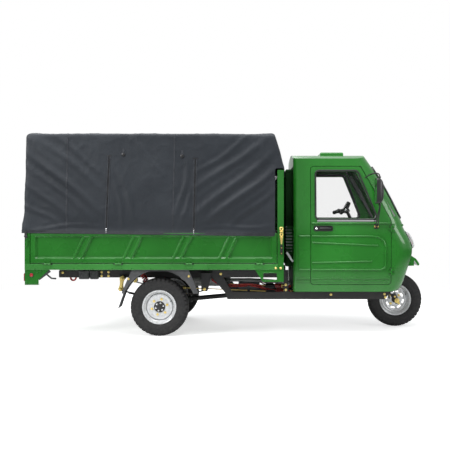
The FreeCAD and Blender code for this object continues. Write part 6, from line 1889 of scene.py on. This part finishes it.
def make_rail_details():
    """Bolts along the rails, the two dark boxes behind, the end caps and a cable clipped inside."""
    bolts, boxes, ribs, caps, cable = shapes(5)
    marks = ((-1.309, 0.598), (-1.239, 0.598), (-1.309, 0.56), (-1.239, 0.56), (-1.7, 0.594), (1.538, 0.377),
             (1.548, 0.345), (0.9995, 0.372), (-0.11, 0.58), (0.545, 0.47), (0.545, 0.42))
    for side in (-1, 1):
        for x, z in marks:
            bolts.bolt((x, side * rail_outer, z), (0, side, 0), 0.015, 0.008)
        for x0, x1 in ((-1.526, -1.425), (-1.415, -1.334)):
            inner, outer = side * (rail_outer + 0.001), side * 0.428
            boxes.span((x0, inner, 0.53), (x1, outer, 0.612), 0.007)
            boxes.span((x0 - 0.003, inner - side * 0.0015, 0.596),
                       (x1 + 0.003, outer + side * 0.0015, 0.614), 0.004)
            for x in spread(x0 + 0.014, x1 - 0.014, 5):
                ribs.block((x, outer, 0.562), (0.005, 0.006, 0.05), 0.002)
            ribs.block(((x0 + x1) / 2, outer + side * 0.001, 0.594), (0.026, 0.008, 0.02), 0.002)
        caps.block((1.588, side * 0.35, 0.36), (0.008, 0.044, 0.066), 0.003)
        caps.block((-1.737, side * 0.35, 0.5795), (0.006, 0.044, 0.066), 0.003)
        line = [(-1.6, side * 0.316, 0.6), (-1.2, side * 0.316, 0.585), (-0.7, side * 0.316, 0.592),
                (-0.3, side * 0.316, 0.575), (-0.13, side * 0.316, 0.48), (0.02, side * 0.316, 0.37),
                (0.3, side * 0.316, 0.358), (0.6, side * 0.316, 0.362)]
        cable.pipe(curve_points(line, 10), 0.007, 10)
        for x, z in ((-1.2, 0.585), (-0.7, 0.592), (0.3, 0.358)):
            caps.block((x, side * 0.316, z), (0.014, 0.018, 0.022), 0.003)
    bolts.finish("rail_bolts", "zinc")
    boxes.finish("rail_boxes", "grey_plastic")
    ribs.finish("rail_box_ribs", "grey_plastic")
    caps.finish("rail_caps", "black_plastic")
    cable.finish("rail_conduit", "black_plastic")


red_pipe_route = ((-0.205, 0.296, 0.525), (-0.11, 0.298, 0.475), (0.02, 0.3, 0.462), (0.18, 0.3, 0.468),
                  (0.285, 0.296, 0.452), (0.36, 0.285, 0.42), (0.52, 0.27, 0.4), (0.655, 0.262, 0.395))


def make_underfloor():
    """What shows between the rails: the battery on its tray, the silencer, gear rods and red pipes."""
    dark, red, alloy, caps, silver = shapes(5)
    # the battery, its tray and its strap
    for side in (-1, 1):
        dark.span((0.055, side * 0.13, 0.372), (0.285, side * 0.285, 0.452), 0.008)
        dark.span((0.045, side * 0.122, 0.362), (0.295, side * 0.293, 0.376), 0.004)
        for x in spread(0.085, 0.255, 6):
            caps.drum((x, side * 0.18, 0.452), (0, 0, 1), 0.006, 0.01, 0.002, 16)
        red.block((0.075, side * 0.255, 0.46), (0.022, 0.022, 0.018), 0.004)
        caps.block((0.265, side * 0.255, 0.46), (0.022, 0.022, 0.018), 0.004)
        caps.strip([((0.17, side * 0.296, 0.366), (0, side, 0)), ((0.17, side * 0.296, 0.452), (0, side, 0))],
                   0.026, 0.003)
        # red pipes from the rear of the tray forwards under the floor
        for drop, out in ((0.0, 0.0), (0.018, 0.012)):
            line = [(x, side * (y - out), z - drop) for x, y, z in red_pipe_route]
            red.pipe(curve_points(line, 10), 0.0072, 12)
        # the grease and air fittings at the front: blocks, unions and a red cover
        dark.span((0.345, side * 0.215, 0.366), (0.44, side * 0.296, 0.408), 0.006)
        dark.drum((0.35, side * 0.256, 0.428), (1, 0, 0), 0.085, 0.02, 0.004, 24)
        red.drum((0.452, side * 0.256, 0.4), (1, 0, 0), 0.07, 0.024, 0.005, 26)
        silver.lathe([(0.0, 0.01), (0.0, 0.026), (0.006, 0.0275), (0.012, 0.026), (0.012, 0.01)],
                     (0.522, side * 0.256, 0.4), (1, 0, 0), 26, closed=True)
        silver.drum((0.534, side * 0.256, 0.4), (1, 0, 0), 0.03, 0.011, 0.002, 18)
        red.span((0.594, side * 0.2, 0.366), (0.654, side * 0.318, 0.408), 0.007)
        for x in (0.602, 0.646):
            silver.bolt((x, side * 0.318, 0.396), (0, side, 0), 0.01, 0.005)
        # rods that reach back along the rails, with forks at their ends
        silver.pipe([(-0.48, side * 0.285, 0.43), (-0.1, side * 0.285, 0.415), (0.345, side * 0.285, 0.395)],
                    0.0055, 10)
        silver.block((-0.485, side * 0.285, 0.43), (0.03, 0.018, 0.022), 0.003)
    # the silencer on the left, its pipe and its tail
    body = [(0.0, 0.0), (0.0, 0.024), (0.01, 0.052), (0.018, 0.06), (0.03, 0.062), (0.3, 0.062),
            (0.312, 0.06), (0.32, 0.052), (0.33, 0.024), (0.33, 0.0)]
    alloy.lathe(body, (-0.44, 0.1, 0.47), (1, 0, 0), 36)
    for x in (-0.4, -0.3, -0.2):
        alloy.lathe([(0.0, 0.06), (0.0, 0.065), (0.01, 0.065), (0.01, 0.06)], (x, 0.1, 0.47), (1, 0, 0),
                    36, closed=True)
    alloy.pipe(curve_points([(-0.12, 0.1, 0.47), (0.05, 0.09, 0.475), (0.3, 0.085, 0.47), (0.5, 0.085, 0.455),
                             (0.66, 0.085, 0.445)], 8), 0.019, 16)
    alloy.pipe(curve_points([(-0.43, 0.1, 0.47), (-0.52, 0.1, 0.48), (-0.58, 0.14, 0.52), (-0.7, 0.2, 0.545),
                             (-0.95, 0.22, 0.53), (-1.15, 0.22, 0.505)], 8), 0.019, 16)
    dark.finish("underfloor_units", "grey_plastic")
    red.finish("underfloor_red_parts", "red_paint")
    alloy.finish("silencer", "engine_alloy")
    caps.finish("battery_fittings", "black_plastic")
    silver.finish("underfloor_rods", "zinc")


def make_fender_trim():
    """A rolled lip round each rear mudguard, its bolts, and the flap's clamp strip."""
    lip, bolts, stay = shapes(3)
    for side in (-1, 1):
        for y in (0.7005, 0.5215):
            line = []
            for i in range(60):
                a = math.radians(26 + 128 * i / 59)
                line.append((wheel_centre.x + 0.3635 * math.cos(a), side * y,
                             wheel_centre.z + 0.3635 * math.sin(a)))
            line = [p for p in line if p[2] < 0.64]
            lip.pipe(line, 0.0042, 10)
        for x in (-0.98, -0.4):
            bolts.bolt((x, side * 0.702, 0.56 if x < -0.7 else 0.585), (0, side, 0), 0.013, 0.006)
        for y in (0.56, 0.64):
            bolts.bolt((-1.03, side * y, 0.43), (-1, 0, 0.2), 0.012, 0.005)
        stay.pipe(curve_points([(-1.04, side * 0.506, 0.42), (-1.0, side * 0.5, 0.405),
                                (-0.955, side * 0.488, 0.392), (-0.9, side * 0.47, 0.4)], 6), 0.006, 10)
    lip.finish("mudguard_lips", "grey_plastic")
    bolts.finish("mudguard_bolts", "zinc")
    stay.finish("mudguard_stays", "black_paint")


def make_fork_trim():
    """Ribbed gaiters, bright stanchion ends, axle nuts and the brake hose on the front fork."""
    up, ahead, centre = fork_up, fork_ahead, fork_centre
    gaiter, chrome, nuts, hose = shapes(4)
    for side in (-1, 1):
        base = centre + ahead * 0.043 + Vector((0, side * 0.118, 0))
        profile = []
        for i in range(9):
            z = 0.112 + i * 0.0205
            profile += [(z, 0.0315), (z + 0.006, 0.0355), (z + 0.012, 0.0355), (z + 0.018, 0.0315)]
        gaiter.lathe(profile, base, up, 28)
        chrome.lathe([(0.086, 0.0242), (0.086, 0.0262), (0.092, 0.0272), (0.106, 0.0272), (0.11, 0.0255),
                      (0.11, 0.0242)], base, up, 28, closed=True)
        nuts.bolt((1.708, side * 0.1515, 0.282), (0, side, 0), 0.03, 0.014, nut=True)
        for reach in (0.045, -0.012):
            nuts.bolt(base + up * reach + Vector((0, side * 0.024, 0)), (0, side, 0), 0.012, 0.005)
        line = [base + up * 0.02 + Vector((-0.028, 0, 0)), base + up * 0.1 + Vector((-0.036, 0, 0)),
                base + up * 0.2 + Vector((-0.04, 0, 0)),
                base + up * 0.285 + Vector((-0.044, -side * 0.01, 0))]
        hose.pipe(curve_points(line, 6), 0.0045, 10)
    gaiter.finish("fork_gaiters", "black_plastic", "steering")
    chrome.finish("fork_rings", "chrome", "steering")
    nuts.finish("fork_nuts", "zinc", "steering")
    hose.finish("fork_brake_pipes", "black_plastic", "steering")


def make_engine_details():
    """Cooling fins, covers, pulleys and a filter on the engine."""
    fins, bolts, dark = shapes(3)
    low, high = Vector((0.69, -0.17, 0.33)), Vector((1.03, 0.17, 0.64))
    for side in (-1, 1):
        for z in spread(0.44, 0.6, 9):
            fins.block(((low.x + high.x) / 2, side * 0.172, z), (0.25, 0.014, 0.006), 0.002)
        for x in spread(low.x + 0.035, high.x - 0.035, 4):
            bolts.bolt((x, side * 0.17, 0.412), (0, side, 0), 0.012, 0.006)
        fins.lathe([(0.0, 0.0), (0.0, 0.05), (0.006, 0.056), (0.014, 0.056), (0.018, 0.048), (0.018, 0.0)],
                   (0.94, side * 0.17, 0.52), (0, side, 0), 40)
    fins.lathe([(0.0, 0.0), (0.0, 0.058), (0.006, 0.062), (0.01, 0.056), (0.016, 0.056), (0.02, 0.062),
                (0.026, 0.058), (0.026, 0.0)], (low.x - 0.004, 0.095, 0.52), (-1, 0, 0), 40)
    dark.lathe([(0.0, 0.0), (0.0, 0.07), (0.008, 0.078), (0.07, 0.078), (0.078, 0.07), (0.078, 0.0)],
               (low.x + 0.2, 0.0, 0.64), (0, 0, 1), 40)
    dark.drum((0.8, -0.176, 0.375), (0, -1, 0), 0.075, 0.036, 0.006, 30)
    fins.finish("engine_fins", "engine_alloy")
    bolts.finish("engine_bolts", "zinc")
    dark.finish("engine_filters", "black_plastic")


make_shocks()
make_shackles()
make_axle_fittings()
make_rail_details()
make_underfloor()
make_fender_trim()
make_fork_trim()
make_engine_details()
# Inside the cab

def lining(shape, skin, rows, direction, thickness):
    """A padded sheet over a grid of sight lines that start at given points, thinner at its border."""
    grid = []
    for row in rows:
        hits = [skin.look(p, direction) for p in row]
        if all(hits):
            grid.append(hits)
    fronts, backs = [], []
    last_row = len(grid) - 1
    for j, row in enumerate(grid):
        front, back = [], []
        last = len(row) - 1
        for i, (place, normal) in enumerate(row):
            border = min(i, last - i, j, last_row - j)
            lift = thickness * (0.45 if border == 0 else 1.0)
            front.append(shape.mesh.verts.new(place + normal * lift))
            back.append(shape.mesh.verts.new(place + normal * 0.0012))
        fronts.append(front)
        backs.append(back)
    shape.close_sheet(fronts, backs)


def grid_points(origin, along, across, columns, rows):
    """Rows of points over a parallelogram."""
    origin, along, across = Vector(origin), Vector(along), Vector(across)
    return [[origin + along * i / (columns - 1) + across * j / (rows - 1) for i in range(columns)]
            for j in range(rows)]


def make_linings():
    """The headliner, pillar covers, door cards and floor mat."""
    head, mat = shapes(2)
    roof = node_skin("cab_roof", "cab_front")
    lining(head, roof, grid_points((0.7, -0.4, 1.45), (0.52, 0, 0), (0, 0.8, 0), 14, 18), (0, 0, 1), 0.01)
    head.finish("headliner", "dark_lining", angle=50.0)
    for side, name in ((-1, "right"), (1, "left")):
        door = node_skin("door_" + name)
        card = Shape()
        out = (0.0, side, 0.0)
        origin = (0.85, side * 0.2, 0.56)
        lining(card, door, grid_points(origin, (0.56, 0, 0), (0, 0, 0.46), 16, 14), out, 0.014)
        grip = [door.look((x, side * 0.2, z), out) for x, z in ((0.9, 0.985), (1.08, 0.985))]
        a, b = (place + normal * 0.014 for place, normal in grip)
        lift, inset = Vector((0, -side * 0.03, 0)), Vector((0.02, 0, 0))
        bow = [a, a + lift + inset, (a + b) / 2 + lift * 1.15, b + lift - inset, b]
        card.pipe(curve_points(bow, 7), 0.01, 12)
        pocket = [door.look((x, side * 0.2, 0.62), out) for x in (0.88, 1.12, 1.36)]
        for z, reach in ((0.6, 0.03), (0.625, 0.036), (0.65, 0.038), (0.675, 0.036)):
            card.pipe([p + n * reach + Vector((0, 0, z - 0.62)) for p, n in pocket], 0.013, 10)
        card.finish("door_card_" + name, "grey_plastic", name + "_door", angle=50.0)
        # the window's dark inner frame, and the pale cover on the screen's pillar
        hits = [door.look((p.x, side * 0.2, p.y), out)
                for p in rounded_outline(grown(window_outline, 0.018), 6)]
        inner = Shape()
        inner.pipe([hit[0] + hit[1] * 0.004 for hit in hits if hit], 0.012, 8, closed=True)
        inner.finish("window_frame_" + name, "dark_lining", name + "_door")
        cover = Shape()
        line = []
        for t in spread(0.0, 1.0, 14):
            x, z = 1.318 + (1.585 - 1.318) * t, 1.61 - (1.61 - 1.15) * t
            half = 0.56 + (0.5985 - 0.56) * t
            line.append((Vector((x, side * (half - 0.032), z)), Vector((0.0, -side, 0.0))))
        cover.strip(line, 0.062, 0.016)
        for t in (0.35, 0.8):
            place = line[0][0].lerp(line[-1][0], t) + Vector((0.0, -side * 0.016, 0.0))
            cover.lathe([(0.0, 0.009), (0.003, 0.008), (0.004, 0.0)], place, (0, -side, 0), 16)
        cover.finish("pillar_cover_" + name, "pillar_grey", angle=50.0)
    floor = node_skin("cab_floor", "wheel_arch")
    lining(mat, floor, grid_points((1.11, -0.36, 1.05), (0.19, 0, 0), (0, 0.72, 0), 10, 22),
           (0, 0, -1), 0.009)
    for y in spread(-0.33, 0.33, 23):
        hits = [floor.look((x, y, 1.05), (0, 0, -1)) for x in spread(1.125, 1.285, 5)]
        if all(hits):
            mat.pipe([h[0] + Vector((0, 0, 0.009)) for h in hits], 0.0035, 6)
    mat.finish("floor_mat", "tyre_rubber", angle=50.0)


def cushion_block(low, high, crown):
    """A rounded, slightly crowned block of even cells, to be blown up as a pad."""
    mesh = bmesh.new()
    low, high = Vector(low), Vector(high)
    size = high - low
    counts = [max(2, round(s / 0.03)) for s in size]
    verts = {}

    def vert(i, j, k):
        key = (i, j, k)
        if key not in verts:
            share = Vector((i / counts[0], j / counts[1], k / counts[2]))
            at = Vector(low[n] + size[n] * share[n] for n in range(3))
            r = min(size) * 0.28
            inner = Vector(min(max(at[n], low[n] + r), high[n] - r) for n in range(3))
            away = at - inner
            if away.length > r:
                at = inner + away.normalized() * r
            u, v = 2 * share.x - 1, 2 * share.y - 1
            bulge = crown * (1 - u * u) * (1 - v ** 4)
            at.z += bulge * share.z
            verts[key] = mesh.verts.new(at)
        return verts[key]

    nx, ny, nz = counts
    for i in range(nx):
        for j in range(ny):
            mesh.faces.new([vert(i, j, 0), vert(i, j + 1, 0), vert(i + 1, j + 1, 0), vert(i + 1, j, 0)])
            mesh.faces.new([vert(i, j, nz), vert(i + 1, j, nz), vert(i + 1, j + 1, nz), vert(i, j + 1, nz)])
    for i in range(nx):
        for k in range(nz):
            mesh.faces.new([vert(i, 0, k), vert(i + 1, 0, k), vert(i + 1, 0, k + 1), vert(i, 0, k + 1)])
            mesh.faces.new([vert(i, ny, k), vert(i, ny, k + 1), vert(i + 1, ny, k + 1), vert(i + 1, ny, k)])
    for j in range(ny):
        for k in range(nz):
            mesh.faces.new([vert(0, j, k), vert(0, j, k + 1), vert(0, j + 1, k + 1), vert(0, j + 1, k)])
            mesh.faces.new([vert(nx, j, k), vert(nx, j + 1, k), vert(nx, j + 1, k + 1), vert(nx, j, k + 1)])
    return mesh


def blown_pad(name, mesh, groove):
    """Blows a closed block up as cloth, caps how far its points move, and presses its sewn channels in."""
    data = bpy.data.meshes.new(name)
    mesh.to_mesh(data)
    mesh.free()
    pad = bpy.data.objects.new(name, data)
    scene.collection.objects.link(pad)
    remesh = pad.modifiers.new("even", "REMESH")
    remesh.mode = "VOXEL"
    remesh.voxel_size = 0.008
    apply_modifiers(pad)
    start = [v.co.copy() for v in pad.data.vertices]
    run_cloth(pad, 20, gravity=0.0, quality=4, mass=0.3, use_pressure=True, uniform_pressure_force=4.0,
              tension_stiffness=12.0, compression_stiffness=12.0, bending_stiffness=0.6)
    apply_modifiers(pad)
    scene.frame_set(1)
    cap = 0.008
    for vert, first in zip(pad.data.vertices, start):
        moved = vert.co - first
        if moved.length > cap:
            vert.co = first + moved.normalized() * cap
    for vert in pad.data.vertices:
        groove(vert)
    return pad


def make_seat():
    """The bench's cushion and backrest: vinyl over foam, with sewn channels and piping, on a steel base."""
    lean = math.atan2(0.07, 0.52)
    width = 0.392
    channels = spread(-0.27, 0.27, 5)

    def press(face):
        def groove(vert):
            if vert.co.z >= face - 0.03:
                nearest = min(abs(vert.co.y - c) for c in channels)
                vert.co.z -= 0.006 * math.exp(-(nearest / 0.007) ** 2)
        return groove

    seat = blown_pad("seat_cushion", cushion_block((0.729, -width, 0.751), (1.08, width, 0.838),
                                                   0.006), press(0.845))
    back = blown_pad("seat_back", cushion_block((0.0, -width, 0.0), (0.505, width, 0.072),
                                                0.004), press(0.072))
    for pad in (seat, back):
        pad.data.materials.clear()
        pad.data.materials.append(materials["seat_vinyl"])
        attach(pad, "chassis")
    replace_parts(seat, "seat")
    # the backrest stands up: its length upwards and its face forwards
    up = Vector((-math.sin(lean), 0.0, math.cos(lean)))
    forward = Vector((math.cos(lean), 0.0, math.sin(lean)))
    turn = Matrix((up, Vector((0.0, 1.0, 0.0)), forward)).transposed().to_4x4()
    back.data.transform(Matrix.Translation((0.73, 0.0, 0.857)) @ turn)
    back.data.flip_normals()
    for pad in (seat, back):
        subdivide(pad)
        smooth_by_angle(pad.data, 60.0)
    piping, base = shapes(2)
    skin = Skin(seat)
    for z in (0.775, 0.826):
        ring = []
        middle = Vector((0.905, 0.0))
        for p in rounded_box(0.735, -0.386, 1.072, 0.386, 0.035, 6):
            away = (p - middle).normalized()
            start = Vector((middle.x + away.x * 0.8, middle.y + away.y * 0.8, z))
            hit = skin.look(start, (-away.x, -away.y, 0.0))
            if hit:
                ring.append(hit[0])
        piping.pipe(ring, 0.0035, 8, closed=True)
    piping.finish("seat_piping", "black_plastic", slot="seat_vinyl")
    # hinges and a latch that hold the cushion on its box
    for y in (-0.25, 0.25):
        base.block((0.745, y, 0.7475), (0.04, 0.06, 0.006), 0.002)
    base.block((1.082, 0.0, 0.742), (0.01, 0.07, 0.018), 0.003)
    base.finish("seat_catches", "black_paint")


def make_controls():
    """On the bar, ribbed grips, levers and pods; on the dashboard, gauges, vents and knobs."""
    up, ahead = fork_up, fork_ahead
    high = fork_centre + up * 1.085
    grips, levers, pods, bar_dial, dials, faces = shapes(6)
    for side in (-1, 1):
        bend = high - ahead * 0.06 + Vector((0, side * 0.195, 0))
        tip = high - ahead * 0.095 + Vector((0, side * 0.32, 0))
        axis = (tip - bend).normalized()
        profile = [(0.0, 0.0), (0.0, 0.0205), (0.004, 0.0215)]
        for i in range(12):
            z = 0.008 + i * 0.0095
            profile += [(z, 0.0182), (z + 0.003, 0.0195), (z + 0.006, 0.0195), (z + 0.008, 0.0182)]
        profile += [(0.124, 0.019), (0.128, 0.0225), (0.133, 0.0225), (0.135, 0.019), (0.135, 0.0)]
        grips.lathe(profile, tip + axis * 0.003, -axis, 24)
        pod = bend - axis * 0.022
        pods.lathe([(0.0, 0.0), (0.0, 0.02), (0.004, 0.024), (0.034, 0.024), (0.038, 0.02),
                    (0.038, 0.0)], pod, axis, 24)
        for shift in (-0.008, 0.01):
            pods.block(pod + axis * (0.018 + shift) - ahead * 0.024, (0.01, 0.01, 0.008), 0.002)
        start = pod + axis * 0.01 + ahead * 0.03
        line = [start, start + axis * 0.03 + ahead * 0.018, start + axis * 0.09 + ahead * 0.02,
                start + axis * 0.15 + ahead * 0.006]
        levers.pipe(curve_points(line, 7), 0.0058, 10)
        levers.block(pod + axis * 0.012 + ahead * 0.026, (0.022, 0.018, 0.016), 0.004)
    place = high + ahead * 0.03
    pods.lathe([(0.0, 0.0), (0.0, 0.052), (0.006, 0.058), (0.034, 0.058), (0.04, 0.054), (0.036, 0.05),
                (0.036, 0.0)], place - up * 0.004, (up * 0.8 - ahead * 0.6), 40)
    look_up = (up * 0.8 - ahead * 0.6).normalized()
    bar_dial.lathe([(0.0, 0.049), (0.0005, 0.0)], place - up * 0.004 + look_up * 0.0366, look_up, 40)
    grips.finish("bar_grips", "tyre_rubber", "steering")
    levers.finish("bar_levers", "chrome", "steering")
    pods.finish("bar_pods", "black_plastic", "steering")
    bar_dial.finish("bar_dial", "pale_trim", "steering")
    # the dashboard's own gauges, vents, switches and glove box
    dash = node_skin("dashboard")
    trims = Shape()
    for y, r in ((-0.1, 0.046), (0.02, 0.036), (0.11, 0.03)):
        place, normal = dash.look((1.2, y, 1.045), (1, 0, 0))
        trims.lathe([(0.0, r), (0.01, r + 0.001), (0.012, r + 0.004), (0.008, r + 0.008), (0.0, r + 0.009)],
                    place, normal, 40, closed=True)
        faces.lathe([(0.002, 0.0), (0.002, r + 0.001)], place, normal, 40)
        for i in range(9):
            a = math.radians(-40 + 260 * i / 8)
            tangent = Vector((0, 1, 0))
            rise = normal.cross(tangent).normalized()
            mark = place + normal * 0.003 + tangent * math.cos(a) * r * 0.82 + rise * math.sin(a) * r * 0.82
            dials.block(mark, (0.0012, 0.0022, 0.0022), 0.0004)
        dials.pipe([place + normal * 0.004, place + normal * 0.004 + Vector((0, r * 0.6, r * 0.3))], 0.001, 6)
    for y in (-0.4, 0.4):
        for z in spread(1.02, 1.064, 5):
            place, normal = dash.look((1.2, y, z), (1, 0, 0))
            trims.block(place + normal * 0.002, (0.006, 0.11, 0.004), 0.0015)
    for y in spread(0.2, 0.32, 4):
        place, normal = dash.look((1.2, y, 1.03), (1, 0, 0))
        trims.block(place + normal * 0.003, (0.01, 0.022, 0.016), 0.002)
    lid = [dash.look((1.2, p.x, p.y), (1, 0, 0)) for p in rounded_box(-0.345, 0.93, -0.15, 0.99, 0.012)]
    trims.pipe([hit[0] for hit in lid if hit], 0.0032, 8, closed=True)
    trims.finish("dash_trims", "black_plastic")
    dials.finish("dash_marks", "pale_trim")
    faces.finish("dash_faces", "black_plastic")


def make_cab_small_parts():
    """Sun visors, the inside mirror, pedals and a parking brake."""
    visors, mirror, glass, pedals, rods = shapes(5)
    roof = node_skin("cab_roof", "cab_front")
    for y in (-0.24, 0.24):
        z = roof.look((1.16, y, 1.45), (0, 0, 1))[0].z
        turn = Matrix.Rotation(math.radians(18), 3, "Y")
        visors.block((1.15, y, z - 0.03), (0.115, 0.3, 0.014), 0.006, turn)
        rods.pipe([(1.195, y - 0.13, z - 0.04), (1.195, y - 0.13, z - 0.002)], 0.004, 8)
    z = roof.look((1.18, 0.0, 1.45), (0, 0, 1))[0].z
    rods.pipe(curve_points([(1.18, 0.0, z - 0.002), (1.178, 0.0, z - 0.03), (1.165, 0.0, z - 0.055)], 5),
              0.005, 10)
    mirror.block((1.16, 0.0, z - 0.068), (0.018, 0.2, 0.052), 0.008)
    glass.block((1.1505, 0.0, z - 0.068), (0.002, 0.184, 0.04), 0.0008)
    floor = node_skin("cab_floor", "wheel_arch")
    for y in (-0.3, -0.2, 0.26):
        z = floor.look((1.24, y, 0.9), (0, 0, -1))[0].z
        turn = Matrix.Rotation(math.radians(-50), 3, "Y")
        pedals.block((1.225, y, z + 0.095), (0.07, 0.06, 0.01), 0.003, turn)
        for shift in (-0.02, 0.0, 0.02):
            rib = (1.22 + shift * 0.64, y, z + 0.101 + shift * 0.77)
            pedals.block(rib, (0.006, 0.052, 0.004), 0.001, turn)
        rods.pipe([(1.23, y, z + 0.088), (1.262, y, z + 0.045), (1.266, y, z - 0.001)], 0.007, 10)
    base = floor.look((1.125, -0.44, 0.9), (0, 0, -1))[0]
    rods.pipe([base, base + Vector((-0.012, 0, 0.1)), base + Vector((-0.035, 0, 0.22))], 0.008, 12)
    pedals.drum(base + Vector((-0.032, 0, 0.205)), (-0.1, 0, 0.52), 0.095, 0.014, 0.004, 18)
    visors.finish("sun_visors", "pillar_grey")
    mirror.finish("inside_mirror", "black_plastic")
    glass.finish("inside_mirror_glass", "mirror_glass")
    pedals.finish("pedals", "tyre_rubber")
    rods.finish("control_rods", "chrome")


make_linings()
make_seat()
make_controls()
make_cab_small_parts()
dress_frame()
set_camera()
set_studio()
make_floor()
